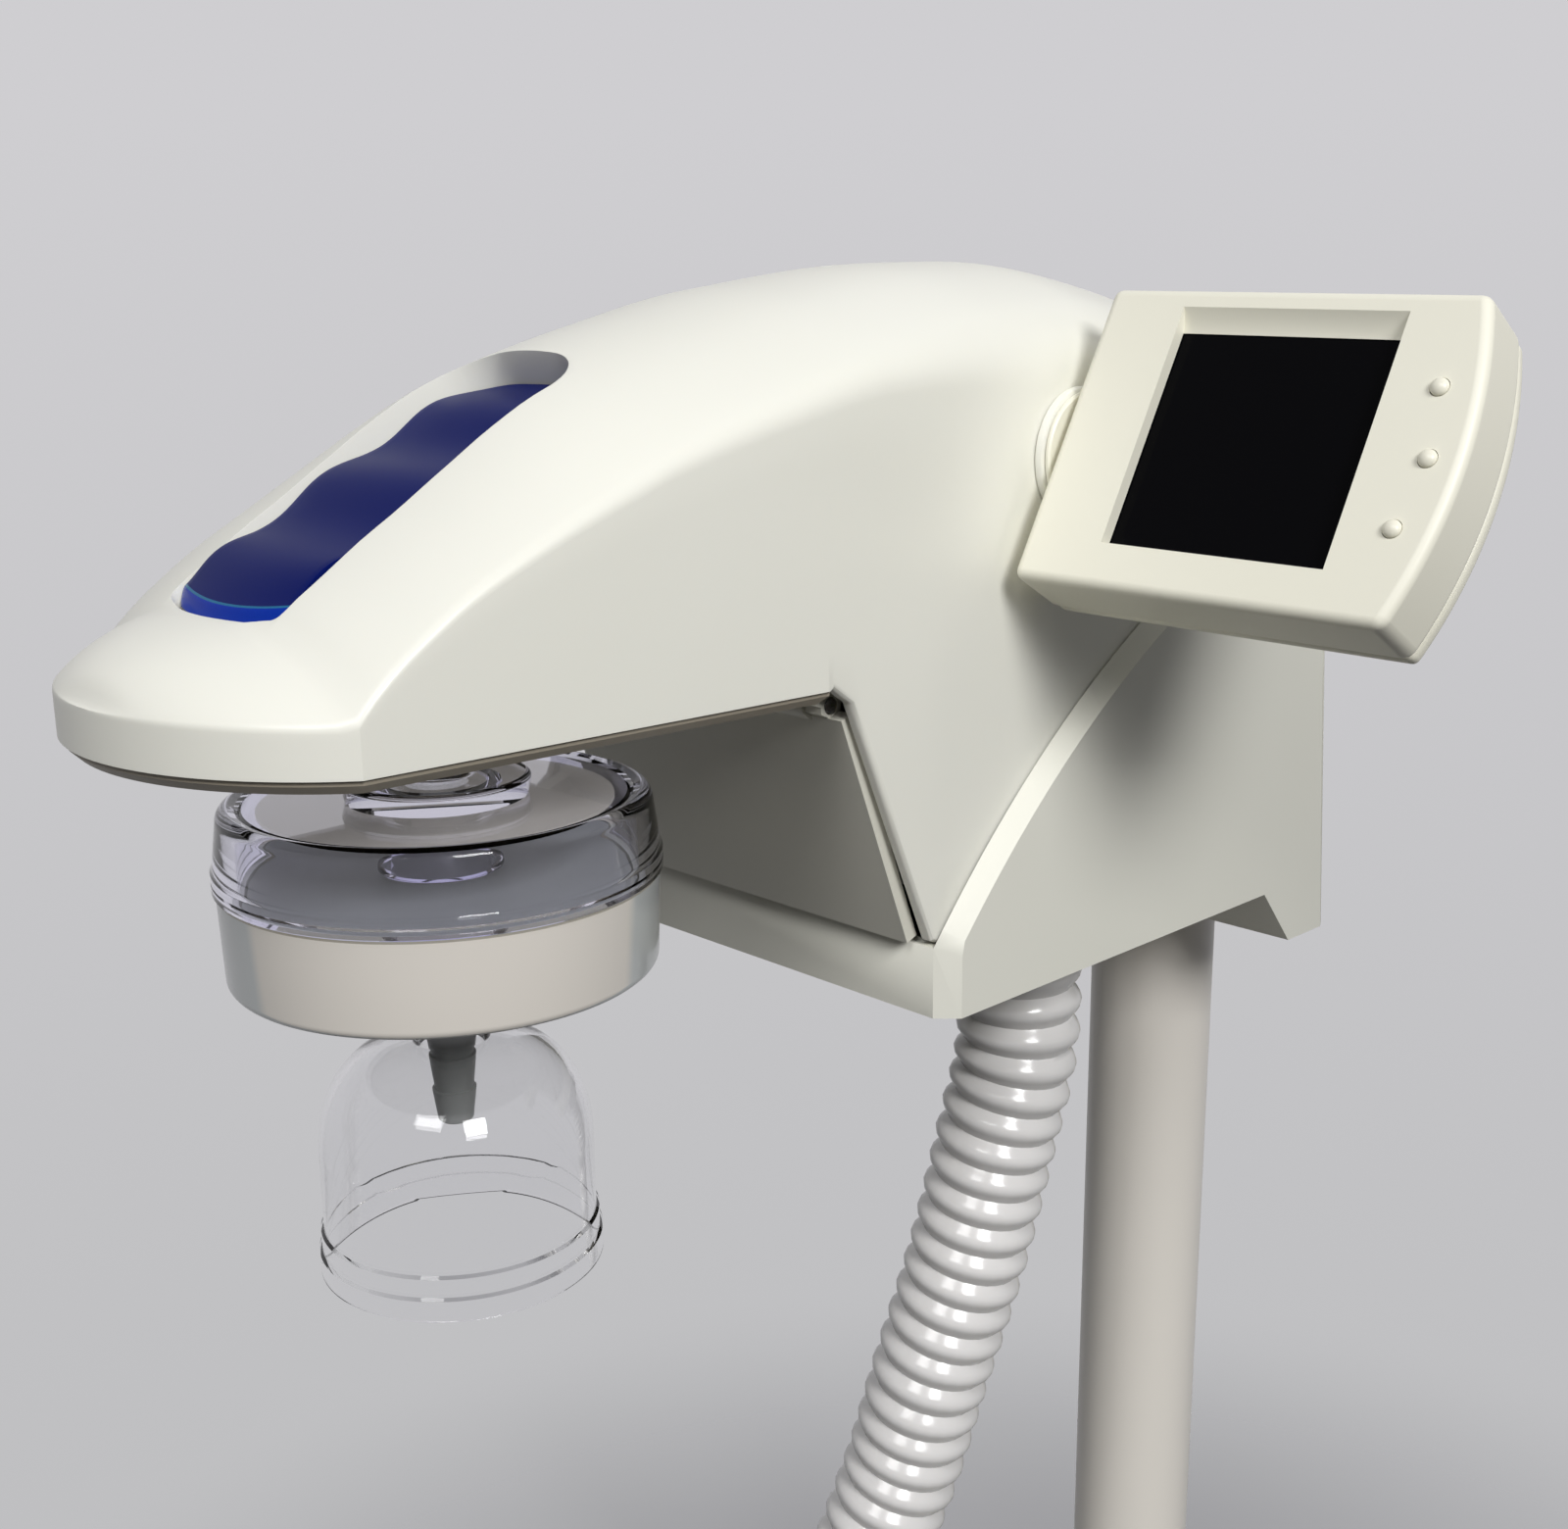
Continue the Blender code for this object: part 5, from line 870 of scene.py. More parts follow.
@dataclass
class HoodForm:
    """The hood's plan, heights and section, in the head's frame with the chin's underside at zero."""

    nose_reach: float = 270 * MM
    rear_reach: float = 20 * MM
    nose_half: float = 41.7 * MM
    nose_sagitta: float = 21.3 * MM
    body_half: float = 45.7 * MM
    rear_corner: float = -8 * MM
    chin_front: float = -135.6 * MM
    sill: float = 65.4 * MM
    rise: float = 71.6 * MM
    wall: float = 2.5 * MM
    fillet: float = 12 * MM
    nose_rows: int = 18
    side_rows: int = 88
    rear_rows: int = 20
    side_columns: int = 7
    fillet_columns: int = 6
    crown_columns: int = 14
    edge_shares: Table = (
        (0.0, 0.106), (0.050, 0.106), (0.069, 0.1085), (0.083, 0.160), (0.0966, 0.210), (0.114, 0.262),
        (0.138, 0.326), (0.1655, 0.384), (0.207, 0.461), (0.241, 0.518), (0.2655, 0.559),
        (0.352, 0.668), (0.431, 0.749), (0.554, 0.800), (0.629, 0.803), (0.724, 0.751),
        (0.828, 0.609), (0.903, 0.462), (0.959, 0.358), (1.0, 0.260),
    )
    crown_shares: Table = (
        (0.0, 0.0), (0.010, 0.056), (0.0276, 0.104), (0.050, 0.138), (0.065, 0.152), (0.080, 0.146),
        (0.107, 0.129), (0.140, 0.130), (0.1814, 0.158), (0.2138, 0.188), (0.245, 0.206),
        (0.310, 0.200), (0.448, 0.184), (0.586, 0.196), (0.724, 0.203), (0.828, 0.203),
        (0.903, 0.175), (0.959, 0.115), (0.985, 0.060), (1.0, 0.0),
    )
    fullness_shares: Table = (
        (0.0, 2.0), (0.030, 2.2), (0.065, 2.3), (0.12, 2.1), (0.20, 2.0), (1.0, 2.0),
    )
    lower_shares: Table = (
        (0.0, 1.0), (0.3800, 1.0), (0.3880, 0.988), (0.3945, 0.955), (0.4635, 0.228),
        (0.4700, 0.216), (0.724, 0.800), (0.903, 1.014), (1.0, 1.014),
    )
    fillet_shares: Table = (
        (0.0, 0.06), (0.074, 0.10), (0.24, 0.20), (0.42, 0.42), (0.60, 0.85), (0.72, 1.0), (1.0, 1.0),
    )
    knots: Sequence[float] = (0.3800, 0.3880, 0.3945, 0.4635, 0.4700)

    @property
    def length(self) -> float:
        """The hood's whole length."""
        return self.nose_reach + self.rear_reach

    def share(self, y: float) -> float:
        """The share of the length at a place."""
        return (y + self.nose_reach) / self.length

    def side_half(self, y: float) -> float:
        """The half-width where the sides are straight."""
        nose_y = -self.nose_reach + self.nose_sagitta
        t = min(1.0, (y - nose_y) / (self.chin_front - nose_y))
        return self.nose_half + (self.body_half - self.nose_half) * t

    def half_at(self, y: float) -> float:
        """The half-width anywhere along the nose and sides."""
        if y >= -self.nose_reach + self.nose_sagitta:
            return self.side_half(y)
        radius = chord_radius(self.nose_half, self.nose_sagitta)
        return math.sqrt(max(0.0, radius**2 - (y + self.nose_reach - radius) ** 2))

    def low_at(self, y: float) -> float:
        """The height of the lower edge."""
        return self.sill * straight_value(self.lower_shares, self.share(y))

    def stations(self) -> list[Pair]:
        """(y, half-width) of every section: nose arc, sides, rear arc."""
        radius = chord_radius(self.nose_half, self.nose_sagitta)
        spread = math.asin(self.nose_half / radius)
        made = []
        for i in range(self.nose_rows + 1):
            angle = spread * i / self.nose_rows
            made.append((-self.nose_reach + radius * (1 - math.cos(angle)), radius * math.sin(angle)))
        start, end = made[-1][0], self.rear_corner
        places = [start + (end - start) * i / self.side_rows for i in range(1, self.side_rows)]
        for knot in self.knots:
            y = -self.nose_reach + knot * self.length
            nearest = min(range(len(places)), key=lambda k: abs(places[k] - y))
            places[nearest] = y
        made += [(y, self.side_half(y)) for y in places]
        sagitta = self.rear_reach - self.rear_corner
        radius = chord_radius(self.body_half, sagitta)
        spread = math.asin(self.body_half / radius)
        for i in range(self.rear_rows + 1):
            angle = spread * (1 - i / self.rear_rows)
            made.append((self.rear_reach - radius * (1 - math.cos(angle)), radius * math.sin(angle)))
        return made

    def section(self, y: float, half: float, inset: float = 0.0) -> list[Vector]:
        """Half of a section, from the lower edge up the side and over to the middle.

        Args:
            y: the section's place.
            half: the hood's half-width there.
            inset: how far inside the outer face the section lies.

        Returns:
            The section's points.
        """
        share = self.share(y)
        low = self.low_at(y)
        edge = self.sill + self.rise * smooth_value(self.edge_shares, share) - inset
        crown = self.rise * smooth_value(self.crown_shares, share)
        half = max(0.0, half - inset)
        fullness = smooth_value(self.fullness_shares, share)
        fillet = min(self.fillet * smooth_value(self.fillet_shares, share), half / 2)

        def top(x: float) -> float:
            """The crown's height over a place across."""
            return edge + crown * (1 - abs(x / half) ** fullness) if half > 0 else edge

        row = [
            Vector((half, y, low + (edge - fillet - low) * i / self.side_columns))
            for i in range(self.side_columns)
        ]
        start, corner = Vector((half, y, edge - fillet)), Vector((half, y, edge))
        end = Vector((half - fillet, y, top(half - fillet)))
        for i in range(self.fillet_columns + 1):
            t = i / self.fillet_columns
            row.append((1 - t) ** 2 * start + 2 * t * (1 - t) * corner + t * t * end)
        for i in range(1, self.crown_columns + 1):
            x = end.x * (1 - i / self.crown_columns)
            row.append(Vector((x, y, top(x))))
        return row


@dataclass
class SlotForm:
    """The plunger's slot, in a frame that follows the slope of the hood's top."""

    place: Vector = field(default_factory=lambda: Vector((0, -219 * MM, 106 * MM)))
    slope: float = math.radians(29.6)
    half_width: float = 17.3 * MM
    half_length: float = 38 * MM
    rear_length: float = 35 * MM
    corner: float = 2.2 * MM
    rear_corner: float = 10.5 * MM
    front_sagitta: float = 2.8 * MM
    wall: float = 1.6 * MM
    depth: float = 13.5 * MM
    rim_round: float = 0.9 * MM

    @property
    def matrix(self) -> Matrix:
        """The slot's frame in the world."""
        return HEAD @ Matrix.Translation(self.place) @ Matrix.Rotation(self.slope, 4, "X")

    def outline(self, grow: float = 0.0, front: float = 0.0, rear: float = 0.0) -> list[Pair]:
        """The slot's outline: a shallow arc in front, straight sides and rounded rear corners.

        Args:
            grow: how far outside the slot it lies.
            front: how much shorter it is in front.
            rear: how much shorter it is behind.

        Returns:
            The outline's points.
        """
        half = self.half_width + grow
        ahead = -self.half_length - grow + front
        behind = self.rear_length + grow - rear
        corner = self.corner + max(grow, 0)
        chord = half - corner
        radius = chord_radius(chord, self.front_sagitta)
        spread = math.asin(chord / radius)
        bow = arc((0, ahead + radius), radius, math.radians(-90) - spread, math.radians(-90) + spread, 16)
        turn = ahead + self.front_sagitta + corner
        right = arc((chord, turn), corner, math.radians(-66), 0, 6)
        turned = self.rear_corner + max(grow, 0)
        back = arc((half - turned, behind - turned), turned, 0, math.radians(90), 18)
        half_round = right + back
        return bow[1:-1] + half_round + [(-x, y) for x, y in reversed(half_round)]


@dataclass
class Hood:
    """The upper moulding with the plunger's well."""

    form: HoodForm
    slot: SlotForm
    lip_round: float = 1.1 * MM
    well_share: float = 1.35
    well_rows: int = 24
    sharpest: float = math.radians(40)

    def build(self, shop: Shop) -> None:
        """Loft the half, mirror it, give it a wall and sink the well."""
        form, pivot = self.form, Tilt()
        rows = [form.section(y, half) for y, half in form.stations()]
        bm = grid(len(rows) - 1, len(rows[0]) - 1, lambda i, j: rows[i][j])
        settle(bm)
        bmesh.ops.mirror(bm, geom=[*bm.verts, *bm.edges, *bm.faces], axis="X", merge_dist=WELD)
        hood = as_object(bm, "hood", HEAD)
        step = hood.modifiers.new("wall", "SOLIDIFY")
        step.thickness = form.wall
        step.offset = -1
        apply_modifiers(hood)
        boolean(hood, self.well_blank(), "UNION")
        cut = slab(self.slot.outline(), -self.slot.depth - OVERRUN, self.slot.half_length)
        boolean(hood, as_object(cut, "slot", self.slot.matrix))
        start = Vector((form.body_half - form.wall - OVERRUN, pivot.y, pivot.z))
        drill(hood, pivot.bore, 2 * OVERRUN + form.wall, HEAD @ Matrix.Translation(start) @ ALONG_X)
        self.soften_rims(hood)
        shop.finish(hood, HOOD_ABS, Body.STAND, "shell", ["hood_shell"], 30)

    def well_blank(self) -> bpy.types.Object:
        """The well's outer block, trimmed just under the hood's surface."""
        form = self.form
        reach = self.slot.half_length * self.well_share
        start, end = self.slot.place.y - reach, self.slot.place.y + reach
        count = self.well_rows
        rows = []
        for i in range(count + 1):
            y = start + (end - start) * i / count
            side = form.section(y, form.half_at(y), form.wall / 2)
            rows.append(side + [Vector((-p.x, p.y, p.z)) for p in reversed(side[:-1])])
        width = len(rows[0])
        bm = grid(count, width, lambda i, j: rows[i][j % width])
        settle(bm)
        bmesh.ops.holes_fill(bm, edges=[e for e in bm.edges if e.is_boundary], sides=0)
        core = as_object(bm, "core", HEAD)
        blank = as_object(
            slab(self.slot.outline(self.slot.wall), -self.slot.depth, self.slot.half_length), "blank",
            self.slot.matrix,
        )
        return boolean(blank, core, "INTERSECT")

    def soften_rims(self, hood: bpy.types.Object) -> None:
        """Round the slot's rim and the lower edges."""
        bm = bmesh.new()
        bm.from_mesh(hood.data)
        bmesh.ops.remove_doubles(bm, verts=bm.verts, dist=WELD)
        bmesh.ops.dissolve_degenerate(bm, edges=bm.edges, dist=WELD)
        inverse = self.slot.matrix.inverted()
        across, along = self.slot.half_width + WELD * 5, self.slot.half_length + WELD * 5
        rim, lip = [], []
        for edge in bm.edges:
            if not edge.is_manifold or edge.calc_face_angle(0.0) < self.sharpest:
                continue
            if all(self.on_lip(v.co) for v in edge.verts):
                lip.append(edge)
            spots = [inverse @ v.co for v in edge.verts]
            near = all(abs(p.x) < across and abs(p.y) < along for p in spots)
            if near and min(p.z for p in spots) > -self.slot.depth / 2:
                rim.append(edge)
        for edges, width in ((rim, self.slot.rim_round), (lip, self.lip_round)):
            bmesh.ops.bevel(
                bm, geom=edges, offset=width, offset_type="OFFSET", segments=3, profile=0.5,
                affect="EDGES", clamp_overlap=True, material=-1,
            )
        LOG.info("hood: %d rim edges, %d lip edges", len(rim), len(lip))
        bm.to_mesh(hood.data)
        bm.free()

    def on_lip(self, spot: Vector) -> bool:
        """Whether a point lies on the outer lower edge of the hood, behind the nose."""
        if spot.y < -self.form.nose_reach + self.form.knots[0] * self.form.length - WELD:
            return False
        aside = abs(abs(spot.x) - self.form.half_at(spot.y))
        above = abs(spot.z - CHIN - self.form.low_at(spot.y))
        return aside < self.form.wall / 8 and above < self.form.wall / 8


@dataclass
class Housing:
    """Chin, side panels and tab, and the round rear cover."""

    half: float = 49.8 * MM
    inner_half: float = 46.0 * MM
    front: float = -135.6 * MM
    chin_top: float = 13.7 * MM
    chin_wall: float = 3.2 * MM
    chin_chamfer: float = 3.75 * MM
    strip_chamfer: float = 2.6 * MM
    floor: float = 2.5 * MM
    rear_top: Pair = (-14.9 * MM, 92 * MM)
    rear_foot_y: float = -5.2 * MM
    tab_drop: float = 12.5 * MM
    tab_front: float = -19 * MM
    notch: Pair = (-30 * MM, 0.8 * MM)
    bend_along_share: float = 0.395
    bend_rise_share: float = 0.750
    strip_steps: int = 40
    rear_wall: float = 2.6 * MM
    rear_steps: int = 48
    rear_reach: float = 20 * MM
    cover_top: float = 66.0 * MM
    edge_round: float = 0.45 * MM

    def strip(self) -> list[Vector]:
        """Points of the strip's inner edge, from the chin up to the rear."""
        start, end = Vector((self.front, self.chin_top)), Vector(self.rear_top)
        bend = Vector((
            start.x + (end.x - start.x) * self.bend_along_share,
            start.y + (end.y - start.y) * self.bend_rise_share,
        ))
        made = []
        for i in range(self.strip_steps + 1):
            t = i / self.strip_steps
            made.append((1 - t) ** 2 * start + 2 * t * (1 - t) * bend + t * t * end)
        return made

    def profile(self, outer: bool) -> list[Vector]:
        """The side outline; the outer one is what the chamfer leaves on the panels."""
        curve = self.strip()
        front = self.front
        if outer:
            moved = []
            for i, point in enumerate(curve):
                a, b = curve[max(0, i - 1)], curve[min(len(curve) - 1, i + 1)]
                along = (b - a).normalized()
                moved.append(point + self.strip_chamfer * Vector((along.y, -along.x)))
            moved[0].x = self.front + self.chin_chamfer
            moved[-1].x = curve[-1].x
            curve = moved
            front += self.chin_chamfer
        return [
            Vector((front, 0)), *curve, Vector((self.rear_foot_y, -self.tab_drop)),
            Vector((self.tab_front, -self.tab_drop)), Vector(self.notch),
        ]

    def build(self, shop: Shop) -> None:
        """Extrude the wrap-around moulding, hollow it, and add the rear cover."""
        inner, outer = self.profile(False), self.profile(True)
        bm = bmesh.new()
        face = bm.faces.new([bm.verts.new((-self.half, p.x, p.y)) for p in outer])
        for x, profile in ((-self.inner_half, inner), (self.inner_half, inner), (self.half, outer)):
            grown = bmesh.ops.extrude_face_region(bm, geom=[face])
            face = next(item for item in grown["geom"] if isinstance(item, bmesh.types.BMFace))
            for vert, spot in zip(face.verts, profile):
                vert.co = (x, spot.x, spot.y)
        holed = as_object(bm, "housing", HEAD)
        rise = self.rear_top[1] + OVERRUN
        hollow = [
            (self.front + self.chin_wall, self.floor), (self.front + self.chin_wall, self.chin_top),
            (self.front - OVERRUN, self.chin_top), (self.front - OVERRUN, rise),
            (self.rear_foot_y + OVERRUN, rise), (self.rear_foot_y + OVERRUN, self.floor - self.tab_drop),
            (self.tab_front + self.floor / 2, self.floor - self.tab_drop),
            (self.notch[0] + self.floor / 2, self.floor),
        ]
        boolean(holed, as_object(slab(hollow, -self.inner_half, self.inner_half), "hollow", HEAD @ SIDE_ON))
        gland, sleeve = Hose(), Sleeve()
        exit_place = Matrix.Translation((gland.exit.x, gland.exit.y, -OVERRUN))
        drill(holed, gland.radius + GAP, 2 * OVERRUN + self.floor, HEAD @ exit_place)
        pole_place = Matrix.Translation((0, 0, -self.tab_drop - OVERRUN))
        drill(holed, sleeve.outer + GAP, self.tab_drop + OVERRUN, HEAD @ pole_place)
        soften(holed, self.edge_round, 3, 25)
        shop.finish(holed, HOUSING_ABS, Body.STAND, "housing", ["lower_housing"], 40, True)
        self.rear_cover(shop)

    def rear_arc(self, half: float, front: float, inset: float) -> list[Pair]:
        """Plan points of the round rear, from one side to the other.

        Args:
            half: the half-width where it starts.
            front: where it starts along the head.
            inset: how far inside the outer face it lies.

        Returns:
            The points.
        """
        apex = self.rear_reach - inset
        radius = chord_radius(half, apex - front)
        start = math.radians(90) - math.asin(half / radius)
        return arc((0, apex - radius), radius, start, math.radians(180) - start, self.rear_steps)

    def rear_cover(self, shop: Shop) -> None:
        """The curved cover behind the pole, whose front edges lean with the housing."""
        low, high = -self.tab_drop, self.cover_top
        front = self.rear_foot_y + GAP
        lean = (self.rear_top[0] - self.rear_foot_y) / (self.rear_top[1] + self.tab_drop)
        plans = []
        for height in (low, high):
            near = front + lean * (height - low)
            plan = self.rear_arc(self.half, near, 0.0)
            plan += reversed(self.rear_arc(self.half - self.rear_wall, near, self.rear_wall))
            plans.append([(x, y, height) for x, y in plan])
        bm = bmesh.new()
        face = bm.faces.new([bm.verts.new(p) for p in plans[0]])
        grown = bmesh.ops.extrude_face_region(bm, geom=[face])
        top = next(item for item in grown["geom"] if isinstance(item, bmesh.types.BMFace))
        for vert, spot in zip(top.verts, plans[1]):
            vert.co = spot
        cover = as_object(bm, "rear_shell", HEAD)
        soften(cover, self.edge_round, 2, 40)
        shop.finish(cover, HOUSING_ABS, Body.STAND, "housing", ["rear_cover"])


@dataclass
class Sleeve:
    """The steel sleeve in which the head sits on the pole."""

    pole_radius: float = 15.2 * MM
    wall: float = 1.6 * MM

    @property
    def outer(self) -> float:
        """The sleeve's outer radius."""
        return self.pole_radius + GAP + self.wall


@dataclass
class Door:
    """The inclined flap under the hood."""

    top: Vector = field(default_factory=lambda: Vector((0, -155.5 * MM, 60.5 * MM)))
    foot: Vector = field(default_factory=lambda: Vector((0, -137.8 * MM, 14.2 * MM)))
    half: float = 41.5 * MM
    thickness: float = 2.8 * MM
    barrel: float = 3.0 * MM
    barrel_half: float = 34 * MM
    plate_share: float = 0.6
    pin: float = 1.3 * MM
    edge_round: float = 0.35 * MM

    @property
    def inward(self) -> Vector:
        """The direction from the flap's face into the head."""
        down = (self.foot - self.top).normalized()
        return Vector((0, -down.z, down.y))

    @property
    def pivot(self) -> Vector:
        """The hinge, half a wall behind the flap's face."""
        return self.top + self.inward * self.thickness / 2

    def build(self, shop: Shop) -> None:
        """A flat plate with rounded edges and the barrel along its top."""
        down = (self.foot - self.top).normalized()
        inward, pivot = self.inward, self.pivot
        length = (self.foot - self.top).length
        axes = Matrix((
            (1, 0, 0, 0), (0, inward.y, -down.y, 0), (0, inward.z, -down.z, 0), (0, 0, 0, 1),
        ))
        place = HEAD @ Matrix.Translation(pivot) @ axes
        half = self.thickness / 2
        start = self.barrel * self.plate_share
        plate = as_object(block((-self.half, -half, -length), (self.half, half, -start)), "door_plate", place)
        aside = Vector((self.barrel_half, 0, 0))
        barrel_place = HEAD @ Matrix.Translation(pivot - aside) @ ALONG_X
        boolean(plate, as_object(rod(self.barrel, 2 * self.barrel_half), "barrel", barrel_place), "UNION")
        aside = Vector((self.barrel_half + OVERRUN, 0, 0))
        bore_place = HEAD @ Matrix.Translation(pivot - aside) @ ALONG_X
        drill(plate, self.pin + GAP, 2 * (self.barrel_half + OVERRUN), bore_place)
        soften(plate, self.edge_round, 3, 40)
        # The door takes a darker colour: painted shade for the hood's shadow.
        shop.finish(plate, SHADED_DOOR_ABS, Body.DOOR, "door", ["front_door"], 30, True)


@dataclass
class Tilt:
    """The display's pivot on the hood's side."""

    y: float = -96.5 * MM
    z: float = 101 * MM
    shaft: float = 6.2 * MM
    boss: float = 12.6 * MM
    boss_height: float = 1.4 * MM
    boss_round: Pair = (0.8 * MM, 0.25 * MM)
    hub: float = 11.8 * MM
    hub_round: Pair = (0.4 * MM, 0.3 * MM)
    hood_side: float = 45.7 * MM
    inner: float = 35 * MM
    hub_end: float = 48.5 * MM

    @property
    def bore(self) -> float:
        """The hole for the shaft."""
        return self.shaft + GAP

    def build(self, shop: Shop) -> None:
        """The boss ring on the hood and the hub that carries the display."""
        place = HEAD @ Matrix.Translation((self.hood_side, self.y, self.z)) @ ALONG_X
        top = GAP + self.boss_height
        wide, narrow = self.boss_round
        shop.turned("pivot_ring", [
            (self.bore, top), (self.boss - wide, top), (self.boss - narrow, top - narrow),
            (self.boss, top - wide), (self.boss, GAP), (self.bore, GAP),
        ], place, HOOD_ABS, Body.STAND, "shell", "tilt_boss")
        low, high = self.boss_height + 2 * GAP, self.hub_end - self.hood_side
        inner = self.inner - self.hood_side
        shop.turned("pivot_hub", [
            (0, high), (self.hub - self.hub_round[0], high), (self.hub, high - self.hub_round[1]),
            (self.hub, low), (self.shaft, low), (self.shaft, inner), (0, inner),
        ], place, CASE_ABS, Body.DISPLAY, "display_case", "tilt_shaft")


@dataclass
class Plunger:
    """The wavy blue dispense lever."""

    slot: SlotForm
    clearance: float = 0.5 * MM
    front: float = -36.8 * MM
    rear: float = 34.5 * MM
    below: float = 2.7 * MM
    sink: float = 3.6 * MM
    deepening: float = 6.0 * MM
    body: float = 6.2 * MM
    wave: float = 1.7 * MM
    waves: int = 3
    band: float = 2.3 * MM
    band_slope: float = 0.7
    glint: float = 0.4 * MM
    bowed: Pair = (4 * MM, 20 * MM)
    hinge_along: float = 25.5 * MM
    hinge_depth: float = 10 * MM
    barrel: float = 2.6 * MM
    barrel_share: float = 0.80
    pin: float = 1.5 * MM
    easing: float = 0.35
    edge_round: float = 0.4 * MM
    rows: int = 120
    columns: int = 20

    def half_at(self, along: float) -> float:
        """The lever's half-width at a place along the slot."""
        outline = self.slot.outline(
            -self.clearance, self.slot.half_length + self.front - self.clearance,
            self.slot.rear_length - self.rear - self.clearance,
        )
        right = sorted((y, x) for x, y in outline if x >= 0)
        return straight_value(right, along)

    def top_at(self, along: float) -> float:
        """The wavy top's height over the slot's plane."""
        share = (along - self.front) / (self.rear - self.front)
        crest = -self.below - self.sink * share**3
        return crest - self.wave / 2 * (1 + math.cos(2 * math.pi * self.waves * share))

    def bow(self, x: float) -> float:
        """How far the bowed front lies behind its foremost point."""
        return self.slot.front_sagitta * (x / self.slot.half_width) ** 2

    def fade(self, along: float) -> float:
        """How much of the front's bow the lever's rows still follow."""
        start, end = self.bowed
        return min(1.0, max(0.0, (self.front + end - along) / (end - start)))

    def row(self, i: int) -> list[Vector]:
        """One section of the lever, round its whole girth."""
        t = i / self.rows
        eased = 0.5 - 0.5 * math.cos(math.pi * t) * self.easing + (t - 0.5) * (1 - self.easing)
        along = self.front + (self.rear - self.front) * eased
        fade = self.fade(along)
        half = max(self.half_at(along + self.slot.front_sagitta * fade), self.clearance)
        share = (along - self.front) / (self.rear - self.front)
        slant = max(0.0, self.front + self.band - along) * self.band_slope
        top = self.top_at(along) - slant
        bottom = -self.body - self.deepening * share * (1 + share) / 2
        made = []
        for k in range(self.columns + 1):
            x = half * (1 - 2 * k / self.columns)
            dip = self.wave / 6 * (x / self.slot.half_width) ** 2
            made.append(Vector((x, along + fade * self.bow(x), top - dip)))
        side = along + fade * self.bow(half)
        made += [Vector((-half, side, bottom)), Vector((half, side, bottom))]
        return made

    def build(self, shop: Shop) -> None:
        """Wrap a grid round the lever, close its ends and round its edges."""
        rows = [self.row(i) for i in range(self.rows + 1)]
        girth = len(rows[0])
        bm = grid(self.rows, girth, lambda i, j: rows[i][j % girth])
        settle(bm)
        bmesh.ops.holes_fill(bm, edges=[e for e in bm.edges if e.is_boundary], sides=0)
        lever = as_object(bm, "lever", self.slot.matrix)
        soften(lever, self.edge_round, 3, 50)
        half = self.slot.half_width * self.barrel_share
        place = self.slot.matrix @ Matrix.Translation((-half, self.hinge_along, -self.hinge_depth)) @ ALONG_X
        boolean(lever, as_object(rod(self.barrel, 2 * half), "barrel", place), "UNION")
        before = Matrix.Translation((0, 0, -OVERRUN))
        drill(lever, self.pin + GAP, 2 * half + 2 * OVERRUN, place @ before)
        shop.finish(lever, LEVER_ACRYLIC, Body.LEVER, "blue_lever", ["plunger"], 40)
        inverse = self.slot.matrix.inverted()

        def behind(centre: Vector) -> float:
            """How far a face lies behind the front band."""
            spot = inverse @ centre
            return spot.y - self.bow(spot.x) - self.front - self.band

        # The front band is painted a lit blue and the thin line behind it a painted highlight: both are
        # painted light.
        shop.paint(lever, LEVER_PAINTED_LIGHT, lambda centre: behind(centre) < 0)
        shop.paint(lever, LEVER_PAINTED_GLINT, lambda centre: 0 <= behind(centre) < self.glint)


# Display

